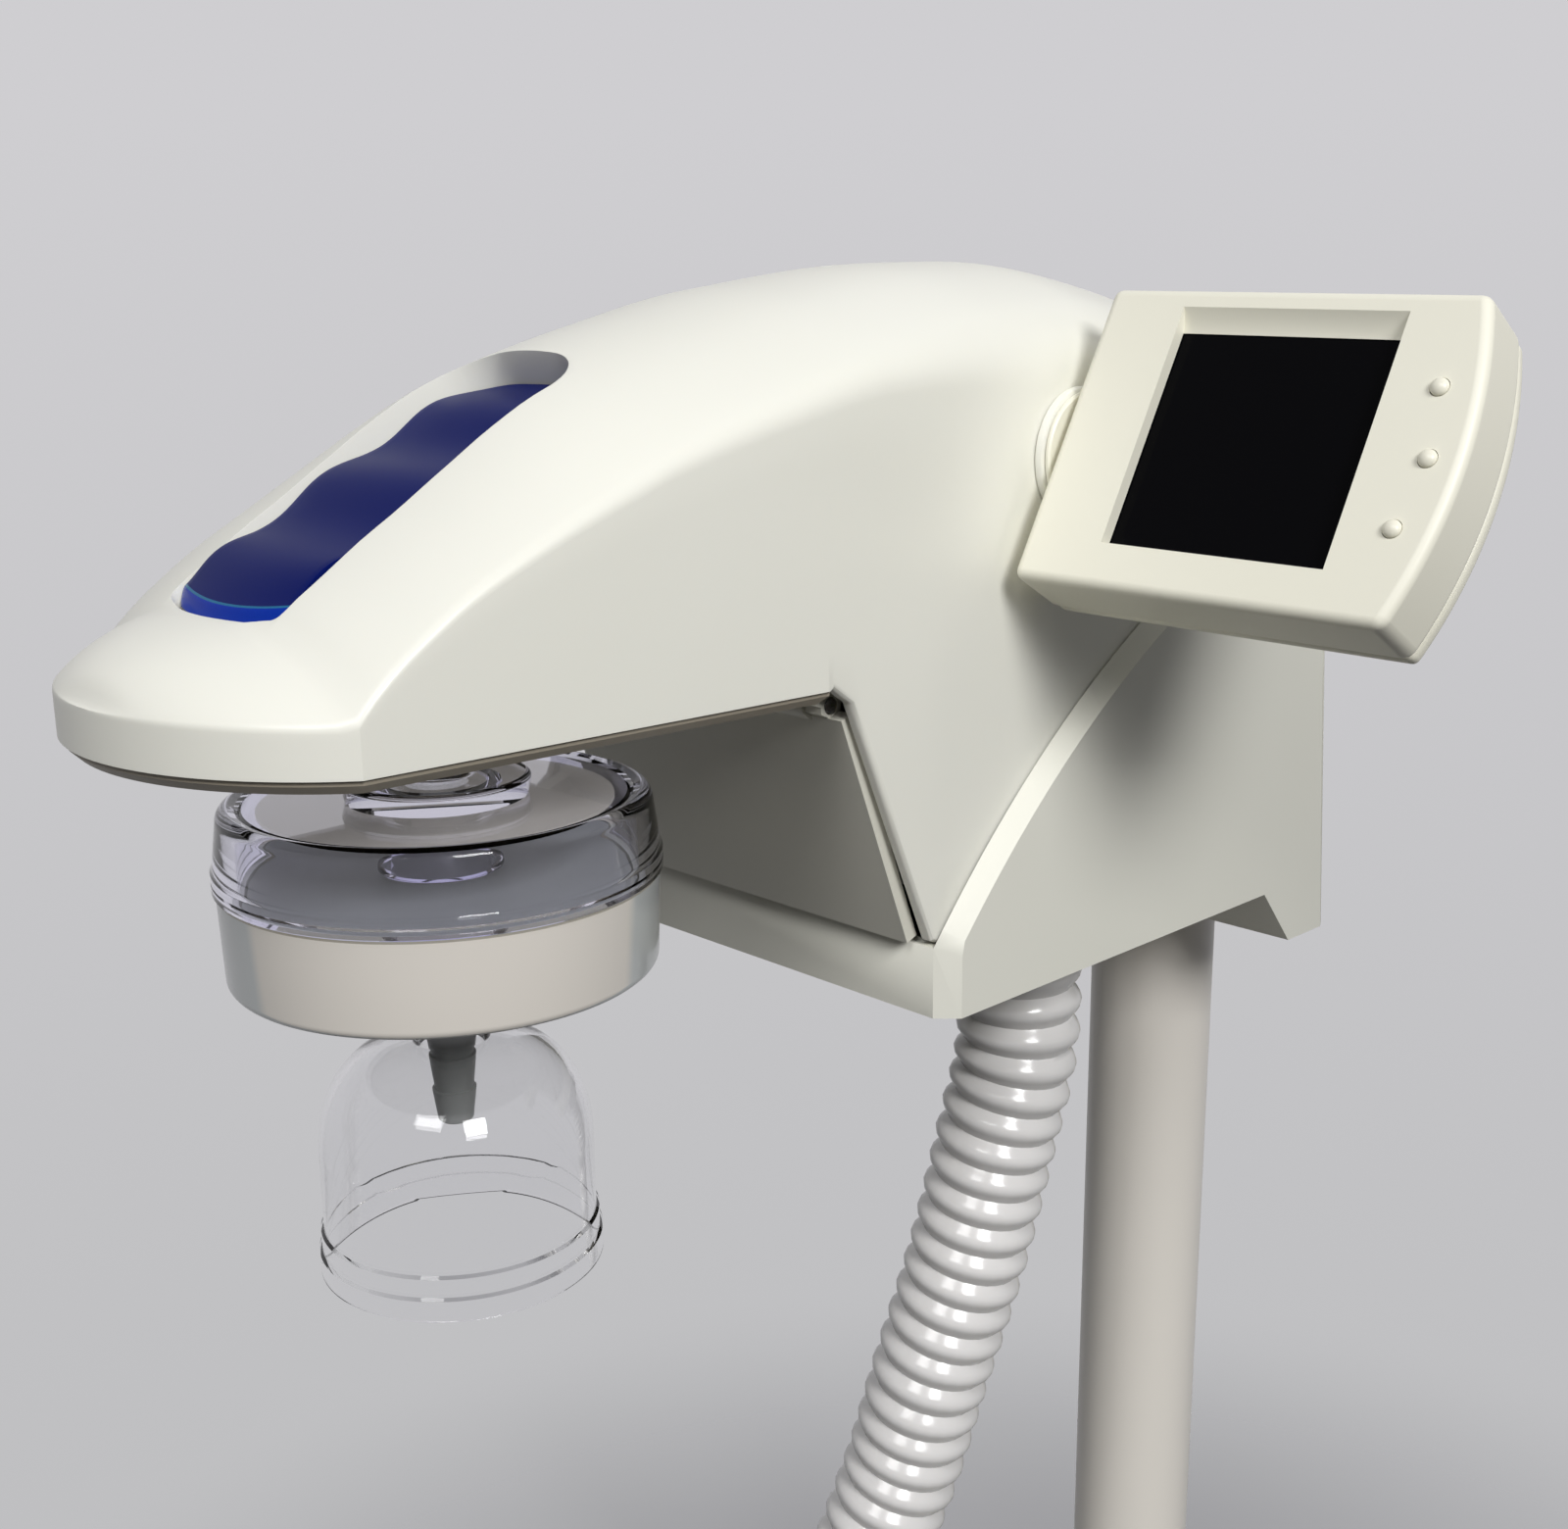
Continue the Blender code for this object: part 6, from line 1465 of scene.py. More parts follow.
@dataclass
class Display:
    """Case, window and buttons; X runs to its right, Z up its face and Y into it."""

    centre: Vector = field(default_factory=lambda: Vector((87.0 * MM, -104.8 * MM, 105.0 * MM)))
    yaw: float = math.radians(3.36)
    tilt: float = math.radians(-28.87)
    roll: float = math.radians(1.9)
    left: float = 37.1 * MM
    right: float = 33.2 * MM
    bulge: float = 4.6 * MM
    top: float = 28.8 * MM
    bottom: float = 28.4 * MM
    depth: float = 18.2 * MM
    bezel_depth: float = 15.0 * MM
    wall: float = 2.0 * MM
    bevel: float = 1.9 * MM
    back_bevel: float = 1.0 * MM
    back_inset: float = 0.5 * MM
    window_half: Pair = (21.0 * MM, 20.05 * MM)
    recess: float = 2.2 * MM
    cove: float = 5.0 * MM
    cove_power: float = 1.7
    cove_steps: int = 16
    glass: float = 1.2 * MM
    button_across: float = 30.0 * MM
    button_bow: float = 1.9 * MM
    button_pitch: float = 12.1 * MM
    button_radius: float = 1.55 * MM
    button_proud: float = 1.2 * MM
    button_gap: float = 0.12 * MM
    button_flange: float = 2.7 * MM
    button_stem: float = 3.4 * MM

    @property
    def matrix(self) -> Matrix:
        """The display's frame in the world."""
        turn = (
            Matrix.Rotation(self.yaw, 4, "Z") @ Matrix.Rotation(self.tilt, 4, "X")
            @ Matrix.Rotation(self.roll, 4, "Y")
        )
        return HEAD @ Matrix.Translation(self.centre) @ turn

    def outline(self, inset: float = 0.0) -> list[Pair]:
        """Straight left, top and bottom edges and a bulging right edge."""
        left, right = -self.left + inset, self.right - inset
        top, low = self.top - inset, -self.bottom + inset
        half = (top - low) / 2
        radius = chord_radius(half, self.bulge)
        spread = math.asin(half / radius)
        bow = arc((right + self.bulge - radius, (top + low) / 2), radius, -spread, spread, 28)
        return bow + [(left, top), (left, low)]

    def layer(self, name: str, outline: Sequence[Pair], front: float, back: float) -> bpy.types.Object:
        """Make a plate parallel to the face.

        Args:
            name: the plate's name.
            outline: its outline, seen from the front.
            front: the depth of its front.
            back: the depth of its back.

        Returns:
            The plate.
        """
        return as_object(slab(outline, -back, -front), name, self.matrix @ FACE_ON)

    def build(self, shop: Shop) -> None:
        """Bezel with its window and cove, back shell, glass and buttons."""
        bezel = self.layer("bezel", self.outline(), 0, self.bezel_depth)
        soften(bezel, self.bevel, 5, 35)
        front_wall = self.recess + GAP
        boolean(bezel, self.layer("hollow", self.outline(self.wall), front_wall, self.bezel_depth + OVERRUN))
        across, up = self.window_half
        window = [(-across, -up), (across, -up), (across, up), (-across, up)]
        boolean(bezel, self.layer("window", window, -OVERRUN, self.bezel_depth))
        boolean(bezel, self.cove_tool())
        before = Matrix.Translation((0, -OVERRUN, 0)) @ Matrix.Rotation(math.radians(-90), 4, "X")
        for place in self.button_places():
            depth = OVERRUN + self.bezel_depth / 2
            drill(bezel, self.button_radius + self.button_gap, depth, place @ before, 24)
        shop.finish(bezel, CASE_ABS, Body.DISPLAY, "display_case", ["display_bezel"], 30, True)

        back = self.layer("back_shell", self.outline(self.back_inset), self.bezel_depth + GAP, self.depth)
        soften(back, self.back_bevel, 4, 35)
        inside = self.outline(self.back_inset + self.wall)
        boolean(back, self.layer("hollow", inside, self.bezel_depth - OVERRUN, self.depth - self.wall))
        shop.finish(back, CASE_ABS, Body.DISPLAY, "display_case", ["display_back"], 30)

        lip = self.glass
        pane = [(x + math.copysign(lip, x), z + math.copysign(lip, z)) for x, z in window]
        glass = self.layer("window_glass", pane, front_wall + GAP, front_wall + GAP + self.glass)
        shop.finish(glass, SCREEN, Body.DISPLAY, "screen_glass", ["display_glass"])
        self.buttons(shop)

    def cove_tool(self) -> bpy.types.Object:
        """The concave cut over the window's upper edge."""
        across, up = self.window_half
        low, high = up - GAP, up + self.cove
        deep = self.recess + 2 * GAP
        curve = []
        for i in range(self.cove_steps + 1):
            share = i / self.cove_steps
            curve.append((deep * (1 - (1 - share) ** self.cove_power), high - (high - low) * share))
        outline = [(-OVERRUN, low), (-OVERRUN, high)] + curve
        return as_object(slab(outline, -across, across), "cove", self.matrix @ SIDE_ON)

    def button_places(self) -> list[Matrix]:
        """The three buttons' frames, the middle one further right."""
        made = []
        for row in (1, 0, -1):
            across = self.button_across + (0 if row else self.button_bow)
            made.append(self.matrix @ Matrix.Translation((across, 0, row * self.button_pitch)))
        return made

    def buttons(self, shop: Shop) -> None:
        """Domed caps on short stems."""
        bodies = (Body.BUTTON_UPPER, Body.BUTTON_MIDDLE, Body.BUTTON_LOWER)
        outward = Matrix.Rotation(math.radians(90), 4, "X")
        front, end = -(self.recess + 2 * GAP), -(self.recess + GAP + self.button_stem)
        flange, stem = self.button_flange, self.button_radius / 2
        cap = arc((0, 0), self.button_radius, math.radians(90), 0, 10)
        rise = self.button_proud / self.button_radius
        dome = [(0, cap[0][1] * rise)] + [(x, y * rise) for x, y in cap[1:]]
        profile = dome + [
            (self.button_radius, front), (flange, front), (flange, front - 3 * GAP), (stem, front - 3 * GAP),
            (stem, end), (0, end),
        ]
        for index, (place, body) in enumerate(zip(self.button_places(), bodies), 1):
            shop.turned(
                f"cap_{index}", profile, place @ outward, BUTTON_ABS, body, "display_case",
                f"button_{index}", 32,
            )


# Filter and bell

@dataclass
class FinalFilter:
    """Clear lid, label, white cup and barb about one axis."""

    y: float = -210.5 * MM
    radius: float = 38.0 * MM
    top_radius: float = 36.6 * MM
    rim_radius: float = 33.3 * MM
    top: float = 49.4 * MM
    seam: float = 35.2 * MM
    band: float = 3.4 * MM
    groove: float = 0.3 * MM
    groove_shares: Sequence[float] = (0.6, 0.53, 0.46)
    edge_break: float = 0.4 * MM
    lip_break: float = 0.2 * MM
    cup_break: float = 0.3 * MM
    hub_round: float = 1.0 * MM
    wall: float = 2.2 * MM
    deck: float = 48.8 * MM
    deck_wall: float = 1.2 * MM
    hub: float = 16.0 * MM
    hub_top: float = 52.5 * MM
    spigot: float = 4.8 * MM
    spigot_top: float = 68.0 * MM
    ring: float = 10.8 * MM
    ring_low: float = 35.6 * MM
    label: float = 30.0 * MM
    port: float = 5.3 * MM
    port_share: float = 0.96
    label_thickness: float = 0.6 * MM
    cup: float = 37.4 * MM
    cup_foot: float = 36.9 * MM
    cup_bottom: float = 18.7 * MM
    cup_edge: float = 1.6 * MM
    stack: float = 33.0 * MM
    barb_root: float = 4.6 * MM
    barb_tip: float = 3.1 * MM
    barb_end: float = -10.4 * MM
    barb_step: float = 0.45 * MM
    barb_rise: float = 0.1 * MM
    barb_land: float = 0.3 * MM
    barbs: int = 4
    barb_bore: float = 1.8 * MM

    @property
    def matrix(self) -> Matrix:
        """The filter's axis in the world."""
        return HEAD @ Matrix.Translation((0, self.y, 0))

    def build(self, shop: Shop) -> None:
        """Turn every piece about the axis."""
        self.lid(shop)
        self.label_disc(shop)
        self.cup_and_seam(shop)
        self.barb(shop)

    def lid(self, shop: Shop) -> None:
        """The clear lid: spigot, hub, deck, rim, grooved flange and the ring under the deck."""
        wall, seam, cut = self.wall, self.seam + GAP, self.edge_break
        inner, under = self.top_radius - wall, self.deck - self.deck_wall
        rim = arc((inner, self.top - wall), wall, math.radians(90), 0, 8)
        hub_middle = (self.hub - self.hub_round, self.hub_top - self.hub_round)
        hub_edge = arc(hub_middle, self.hub_round, math.radians(90), 0, 6)
        above, deepest, below = (seam + self.band * share for share in self.groove_shares)
        shop.turned("lid", [
            (0, self.spigot_top), (self.spigot - cut, self.spigot_top), (self.spigot, self.spigot_top - cut),
            (self.spigot, self.hub_top + wall / 2), (self.spigot + wall / 3, self.hub_top + wall / 6),
            (self.spigot + wall, self.hub_top), *hub_edge,
            (self.hub - wall / 4, self.deck), (self.rim_radius - wall / 2, self.deck),
            (self.rim_radius - wall / 4, self.deck - wall / 6), (self.rim_radius, self.top - wall / 6), *rim,
            (self.radius - wall / 6, seam + self.band + wall / 3), (self.radius, seam + self.band),
            (self.radius, above), (self.radius - self.groove, deepest), (self.radius, below),
            (self.radius, seam + self.lip_break), (self.radius - self.lip_break, seam), (inner, seam),
            (inner - wall / 3, under - wall / 3), (inner - wall / 2, under), (self.ring, under),
            (self.ring, self.ring_low + cut), (self.ring - cut, self.ring_low),
            (self.ring - wall + cut, self.ring_low), (self.ring - wall, self.ring_low + cut),
            (self.ring - wall, under), (0, under),
        ], self.matrix, LID_PC, Body.FILTER, "clear_plastic", "filter_lid", 128, 25, True)

    def label_disc(self, shop: Shop) -> None:
        """The label under the deck, with the paler disc in its middle."""
        high = self.deck - self.deck_wall - GAP
        low, inside = high - self.label_thickness, self.ring - self.wall - GAP
        outer = [(self.ring + GAP, high), (self.label, high), (self.label, low), (self.ring + GAP, low)]
        middle = [(0, high), (self.port, high), (inside, high), (inside, low), (0, low)]
        label = as_object(spun(outer), "label_disc", self.matrix)
        boolean(label, as_object(spun(middle, 64), "port_disc", self.matrix), "UNION")
        # Both films glow a little: painted light under the lid.
        shop.finish(label, LABEL_FILM, Body.FILTER, "label_film", ["filter_label"])
        reach = self.port * self.port_share
        shop.paint(label, PORT_FILM, lambda spot: math.hypot(spot.x, spot.y - self.y) < reach)

    def cup_and_seam(self, shop: Shop) -> None:
        """The white cup, brown where its bottom edge and its weld to the lid are."""
        middle = (self.cup_foot - self.cup_edge, self.cup_bottom + self.cup_edge)
        edge = arc(middle, self.cup_edge, 0, math.radians(-90), 6)
        hole, bore, floor = self.barb_root + GAP, self.stack + GAP, self.cup_bottom + self.wall
        cup = shop.turned("cup", [
            (self.cup - self.cup_break, self.seam), (self.cup, self.seam - self.cup_break), *edge,
            (hole, self.cup_bottom), (hole, floor), (bore, floor), (bore, self.seam),
        ], self.matrix, CUP_SKIN, Body.FILTER, "filter_white", "filter_cup", 128)

        def brown(centre: Vector) -> bool:
            """Whether a face lies on the cup's bottom edge or its seam."""
            rise = centre.z - CHIN
            outside = math.hypot(centre.x, centre.y - self.y) > middle[0]
            at_end = rise < self.cup_bottom + self.cup_edge / 3 or rise > self.seam - self.edge_break
            return outside and at_end

        shop.paint(cup, SEAM_BROWN, brown)

    def barb(self, shop: Shop) -> None:
        """The tapered outlet with its four ridges."""
        pitch = (self.cup_bottom - self.barb_end) / (self.barbs + 1)
        side = []
        for i in range(self.barbs):
            radius = self.barb_root + (self.barb_tip - self.barb_root) * (i + 1) / (self.barbs + 1)
            height = self.cup_bottom - pitch * (i + 1)
            side += [
                (radius, height), (radius + self.barb_step, height - self.barb_rise),
                (radius + self.barb_step, height - self.barb_land),
            ]
        root = self.cup_bottom + self.wall
        shop.turned("barb", [
            (self.barb_bore, root), (self.barb_root, root), *side,
            (self.barb_tip, self.barb_end + self.barb_land), (self.barb_tip - self.barb_land, self.barb_end),
            (self.barb_bore, self.barb_end),
        ], self.matrix, GREY_PP, Body.FILTER, "grey_plastic", "outlet_barb", 64, 18)


@dataclass
class Bell:
    """The clear splash bell."""

    axis: FinalFilter
    radius: float = 24.2 * MM
    wall: float = 1.1 * MM
    bottom: float = -36.5 * MM
    top: float = 5.0 * MM
    shoulder: float = 19.5 * MM
    step: float = 0.5 * MM
    step_heights: Pair = (7.8 * MM, 4.0 * MM)
    neck: float = 6.8 * MM
    neck_top: float = 10.0 * MM
    neck_round: float = 0.4 * MM
    rim_round: float = 0.3 * MM
    dome_power: float = 0.9
    dome_steps: int = 20

    def build(self, shop: Shop) -> None:
        """Spin the thin wall, dome and stepped rim."""
        base = self.top - self.shoulder
        outer = []
        for i in range(self.dome_steps + 1):
            angle = math.radians(90) * (1 - i / self.dome_steps)
            across = self.neck + (self.radius - self.neck) * math.cos(angle) ** self.dome_power
            outer.append((across, base + self.shoulder * math.sin(angle) ** self.dome_power))
        first, second = (self.bottom + h for h in self.step_heights)
        foot = self.radius + 2 * self.step
        rim = [
            (self.radius, first + self.step), (self.radius + self.step, first),
            (self.radius + self.step, second + self.step), (foot, second),
            (foot, self.bottom + self.rim_round), (foot - self.rim_round, self.bottom),
        ]
        bore = self.axis.barb_root + self.axis.barb_step + GAP
        inner = [
            (foot - self.wall, self.bottom), (self.radius - self.wall, first),
            (self.radius - self.wall, base),
        ]
        for across, height in reversed(outer[:-1]):
            inner.append((max(bore, across - self.wall), height - self.wall))
        neck = [
            (bore, self.neck_top), (self.neck - self.neck_round, self.neck_top),
            (self.neck, self.neck_top - self.neck_round),
        ]
        shop.turned(
            "bell_cup", [*neck, *outer, *rim, *inner], self.axis.matrix, BELL_PC, Body.BELL, "clear_plastic",
            "splash_bell", 128,
        )


# Stand

@dataclass
class Stand:
    """Pole, collar and round base."""

    pole_radius: float = 15.2 * MM
    pole_wall: float = 2.0 * MM
    pole_low: float = 11.6 * MM
    pole_top: float = 500 * MM
    base_radius: float = 118 * MM
    base_shift: float = 38 * MM
    base_height: float = 19 * MM
    base_wall: float = 3 * MM
    base_lift: float = 1.5 * MM
    base_edge: float = 8 * MM
    mat_thickness: float = 3 * MM
    mat_radius: float = 110.7 * MM
    collar_width: float = 6 * MM
    collar_height: float = 8 * MM

    def build(self, shop: Shop) -> None:
        """Spin the base cover, mat, collar and pole."""
        middle = Matrix.Translation((0, -self.base_shift, 0))
        inner, under = self.base_radius - self.base_wall, self.base_height - self.base_wall
        rim = arc((self.base_radius - self.base_edge, self.base_height - self.base_edge), self.base_edge,
                  math.radians(90), 0, 12)
        inside = arc((inner - self.base_edge, under - self.base_edge), self.base_edge, 0, math.radians(90), 8)
        cover = as_object(spun([
            (0, self.base_height), *rim, (self.base_radius, self.base_lift), (inner, self.base_lift), *inside,
            (0, under),
        ], 160), "base_shell", middle)
        seat, bore = self.base_height + GAP, self.pole_radius + GAP
        drill(cover, bore, self.base_height + OVERRUN, Matrix.Identity(4), 64)
        shop.finish(cover, HOOD_ABS, Body.STAND, "shell", ["base_cover"])
        shop.turned("anti_slip_mat", [
            (0, self.mat_thickness), (self.mat_radius, self.mat_thickness), (self.mat_radius, 0), (0, 0),
        ], middle, RUBBER, Body.STAND, "rubber", "base_mat", 128)
        width, height = self.collar_width, self.collar_height
        shop.turned("pole_ring", [
            (bore, seat + height), (bore + width / 3, seat + height), (bore + width / 2, seat + height / 3),
            (bore + width, seat), (bore, seat),
        ], None, HOOD_ABS, Body.STAND, "shell", "pole_collar")
        inner = self.pole_radius - self.pole_wall
        shop.turned("pole_tube", [
            (self.pole_radius, self.pole_top), (self.pole_radius, self.pole_low), (inner, self.pole_low),
            (inner, self.pole_top),
        ], None, POLE_PAINT, Body.STAND, "pole_paint", "pole")


@dataclass
class Hose:
    """The corrugated hose from the chin to the bench, its gland and its end cuff."""

    radius: float = 13.5 * MM
    valley: float = 11.6 * MM
    bore: float = 9.6 * MM
    pitch: float = 6.75 * MM
    length: float = 1.100
    exit: Vector = field(default_factory=lambda: Vector((21 * MM, -80 * MM, 0)))
    loop_radius: float = 150 * MM
    loop_y: float = -38 * MM
    loop_z: float = 14 * MM
    loop_start: float = math.radians(130)
    loop_step: float = math.radians(12)
    loop_turn: float = math.radians(300)
    line_steps: int = 12
    rib_samples: int = 8
    rib_power: float = 1.25
    sides: int = 28
    gland_flange: float = 3.5 * MM
    gland_flange_height: float = 2.2 * MM
    gland_height: float = 12 * MM
    floor: float = 2.5 * MM
    cuff: float = 15 * MM
    cuff_length: float = 36 * MM
    cuff_lip: float = 1.5 * MM
    stub: float = 6 * MM
    stub_length: float = 10 * MM
    stub_round: float = 0.5 * MM
    route: Sequence[Sequence[float]] = (
        (0.0210, -0.0800, 0.4397),
        (0.0210, -0.0800, 0.4127),
        (0.0180, -0.0830, 0.3895),
        (0.0137, -0.0873, 0.3606),
        (0.0080, -0.0930, 0.3308),
        (0.0021, -0.0989, 0.2998),
        (-0.0073, -0.1136, 0.2572),
        (-0.0239, -0.1351, 0.2199),
        (-0.0498, -0.1502, 0.1848),
        (-0.0800, -0.1524, 0.1502),
        (-0.1095, -0.1407, 0.1167),
        (-0.1337, -0.1166, 0.0859),
        (-0.1495, -0.0823, 0.0595),
        (-0.1542, -0.0414, 0.0388),
        (-0.1468, 0.0017, 0.0244),
        (-0.1271, 0.0426, 0.0164),
    )

    def line(self) -> tuple[list[Vector], list[float]]:
        """The centreline's fine points and the length up to each."""
        points = [Vector(p) for p in self.route]
        angle = self.loop_start
        while angle > self.loop_start - self.loop_turn:
            across = self.loop_radius * math.cos(angle)
            points.append(Vector((across, self.loop_y + self.loop_radius * math.sin(angle), self.loop_z)))
            angle -= self.loop_step
        fine = curve_through(points, self.line_steps)
        lengths = [0.0]
        for a, b in zip(fine, fine[1:]):
            lengths.append(lengths[-1] + (b - a).length)
        return fine, lengths

    def spots(self, count: int) -> list[Vector]:
        """Points at even distances along the hose, whose far end runs straight."""
        fine, lengths = self.line()
        straight = self.length - 2 * self.radius

        def at(distance: float) -> Vector:
            """The point at a distance along the fine line."""
            low, high = 0, len(lengths) - 1
            while high - low > 1:
                middle = (low + high) // 2
                low, high = (middle, high) if lengths[middle] <= distance else (low, middle)
            return fine[low].lerp(fine[high], (distance - lengths[low]) / (lengths[high] - lengths[low]))

        ahead = (at(straight) - at(straight - self.pitch)).normalized()
        made = []
        for i in range(count + 1):
            distance = self.length * i / count
            beyond = max(0.0, distance - straight)
            made.append(at(min(distance, straight)) + ahead * beyond)
        return made

    def build(self, shop: Shop) -> None:
        """Wrap a grid along the route: ribs outside, a plain bore inside."""
        ribs = round(self.length / self.pitch)
        count = ribs * self.rib_samples
        path = self.spots(count)
        frames = self.frames(path)

        def radius_at(i: int) -> float:
            """The rounded rings' radius, with narrow valleys."""
            swell = abs(math.sin(math.pi * i / self.rib_samples)) ** self.rib_power
            return self.valley + (self.radius - self.valley) * swell

        bore_every = self.rib_samples * 2
        inside = list(range(count, -1, -bore_every))
        if inside[-1] != 0:
            inside.append(0)
        rings = [(i, radius_at(i)) for i in range(count + 1)] + [(i, self.bore) for i in inside]
        rings.append(rings[0])

        def place(row: int, column: int) -> Vector:
            """A point of a ring."""
            index, radius = rings[row]
            angle = 2 * math.pi * (column % self.sides) / self.sides
            side, up = frames[index]
            return path[index] + radius * (math.cos(angle) * side + math.sin(angle) * up)

        hose = as_object(grid(len(rings) - 1, self.sides, place), "corrugated_hose")
        shop.finish(hose, HOSE_PE, Body.STAND, "hose", ["ribbed_hose"], 60)
        gland, cuff = self.gland(shop), self.end_cuff(shop, path)
        tuple(path[0])
        self.length
        [tuple(p) for p in path[::4]]

    def frames(self, path: Sequence[Vector]) -> list[tuple[Vector, Vector]]:
        """Two directions across the path at each point, carried along without a twist."""
        side = Vector((1, 0, 0))
        made = []
        for i in range(len(path)):
            ahead = (path[min(i + 1, len(path) - 1)] - path[max(i - 1, 0)]).normalized()
            side = (side - ahead * side.dot(ahead)).normalized()
            made.append((side, ahead.cross(side)))
        return made

    def gland(self, shop: Shop) -> bpy.types.Object:
        """The grey gland in the chin's floor."""
        seat, flange = self.floor + GAP, self.radius + self.gland_flange
        return shop.turned("gland", [
            (self.bore, self.gland_height), (self.radius, self.gland_height),
            (self.radius, seat + self.gland_flange_height), (flange, seat + self.gland_flange_height),
            (flange, seat), (self.radius, seat), (self.radius, 0), (self.bore, 0),
        ], HEAD @ Matrix.Translation(self.exit), GREY_PP, Body.STAND, "grey_plastic", "hose_gland", 64)

    def end_cuff(self, shop: Shop, path: Sequence[Vector]) -> bpy.types.Object:
        """The moulded cuff on the far end, with its push-in stub."""
        turn = Vector((0, 0, 1)).rotation_difference(path[-1] - path[-2]).to_matrix().to_4x4()
        lip, length = self.cuff - self.cuff_lip, self.cuff_length
        end = length + self.stub_length
        return shop.turned("end_cuff", [
            (0, end), (self.stub - self.stub_round, end), (self.stub, end - self.stub_round),
            (self.stub, length), (lip - self.cuff_lip, length), (lip, length - self.cuff_lip),
            (lip, GAP + length / 3), (self.radius, GAP + length / 4), (self.radius, GAP), (0, GAP),
        ], Matrix.Translation(path[-1]) @ turn, GREY_PP, Body.STAND, "grey_plastic", "hose_end_cuff", 64)


@dataclass
class Underside:
    """The plate that closes the nose."""

    form: HoodForm
    thickness: float = 2.0 * MM
    inset: float = 0.8 * MM
    chamfer: float = 1.4 * MM
    rear: float = -160.2 * MM
    port_y: float = -210.5 * MM
    port: float = 7.0 * MM
    lug_wall: float = 4.0 * MM
    lug: float = 2.4 * MM
    pressed_share: float = 0.5

    def plate(self, shop: Shop) -> None:
        """A plate whose lower edge is cut back to a thin line, with the door's two hinge lugs."""
        form, door = self.form, Door()
        top = form.sill - GAP
        low = top - self.thickness
        radius = chord_radius(form.nose_half, form.nose_sagitta)
        spread = math.asin(form.nose_half / radius)
        outline = arc((0, radius - form.nose_reach), radius - self.inset, math.radians(-90) - spread,
                      math.radians(-90) + spread, 40)
        half = form.side_half(self.rear) - self.inset
        bm = slab([*outline, (half, self.rear), (-half, self.rear)], low, top)
        edges = [e for e in bm.edges if all(v.co.z < low + WELD for v in e.verts)]
        bmesh.ops.bevel(
            bm, geom=edges, offset=self.chamfer, offset_type="OFFSET", segments=1, profile=0.5,
            affect="EDGES", clamp_overlap=True, material=-1,
        )
        plate = as_object(bm, "underplate", HEAD)
        port_place = Matrix.Translation((0, self.port_y, low - OVERRUN))
        drill(plate, self.port + GAP, self.thickness + 2 * OVERRUN, HEAD @ port_place)
        pin = door.pivot
        ear = [
            (pin.y - self.lug, pin.z), (pin.y - self.lug, pin.z - self.lug / 2), (pin.y, pin.z - self.lug),
            (pin.y + self.lug, pin.z - self.lug / 2), (pin.y + self.lug, pin.z + self.lug), (self.rear, top),
            (self.rear - self.lug, top), (self.rear - self.lug, low),
        ]
        for way in (-1, 1):
            near = door.barrel_half + GAP
            start = near if way > 0 else -near - self.lug_wall
            boolean(plate, as_object(slab(ear, start, start + self.lug_wall), "lug", HEAD @ SIDE_ON), "UNION")
            pin_place = Matrix.Translation((start - OVERRUN, pin.y, pin.z))
            drill(plate, door.pin + GAP, self.lug_wall + 2 * OVERRUN, HEAD @ pin_place @ ALONG_X)
        # The plate's dark colour is painted shade for the hood's shadow; the lugs below it take the door's
        # painted shade.
        shop.finish(plate, SHADED_UNDERPLATE_ABS, Body.STAND, "underplate", ["nose_underplate"], 30, True)
        shop.paint(plate, SHADED_DOOR_ABS, lambda centre: centre.z - CHIN < low - 10 * WELD)

    def build(self, shop: Shop) -> None:
        """Dress the plate and what is inside the head."""
        self.plate(shop)
        shop.dress(["outlet_port", "dispense_valve", "dispense_switch", "pole_cap"], GREY_PP)
        shop.dress(["outlet_elbow", "supply_tube", "vent_cap"], WHITE_PP)
        shop.dress(["membrane_stack"], MEMBRANE)
        shop.dress(["control_board", "display_board"], BOARD_FR4)
        shop.dress(["friction_washer"], RUBBER)
        shop.dress([
            "base_plate", "base_screw_1", "base_screw_2", "base_screw_3", "pole_foot", "pole_bolt",
            "pole_sleeve", "grub_screw_1", "grub_screw_2", "plunger_pin", "plunger_spring", "door_pin",
            "screen_module", "tilt_nut",
        ], STEEL)
        self.shorten_spring(shop.nodes["plunger_spring"])

    def shorten_spring(self, spring: bpy.types.Object) -> None:
        """Give the return spring its own copy of its mesh.

        Args:
            spring: the spring's node.
        """
        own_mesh(spring)


# Studio

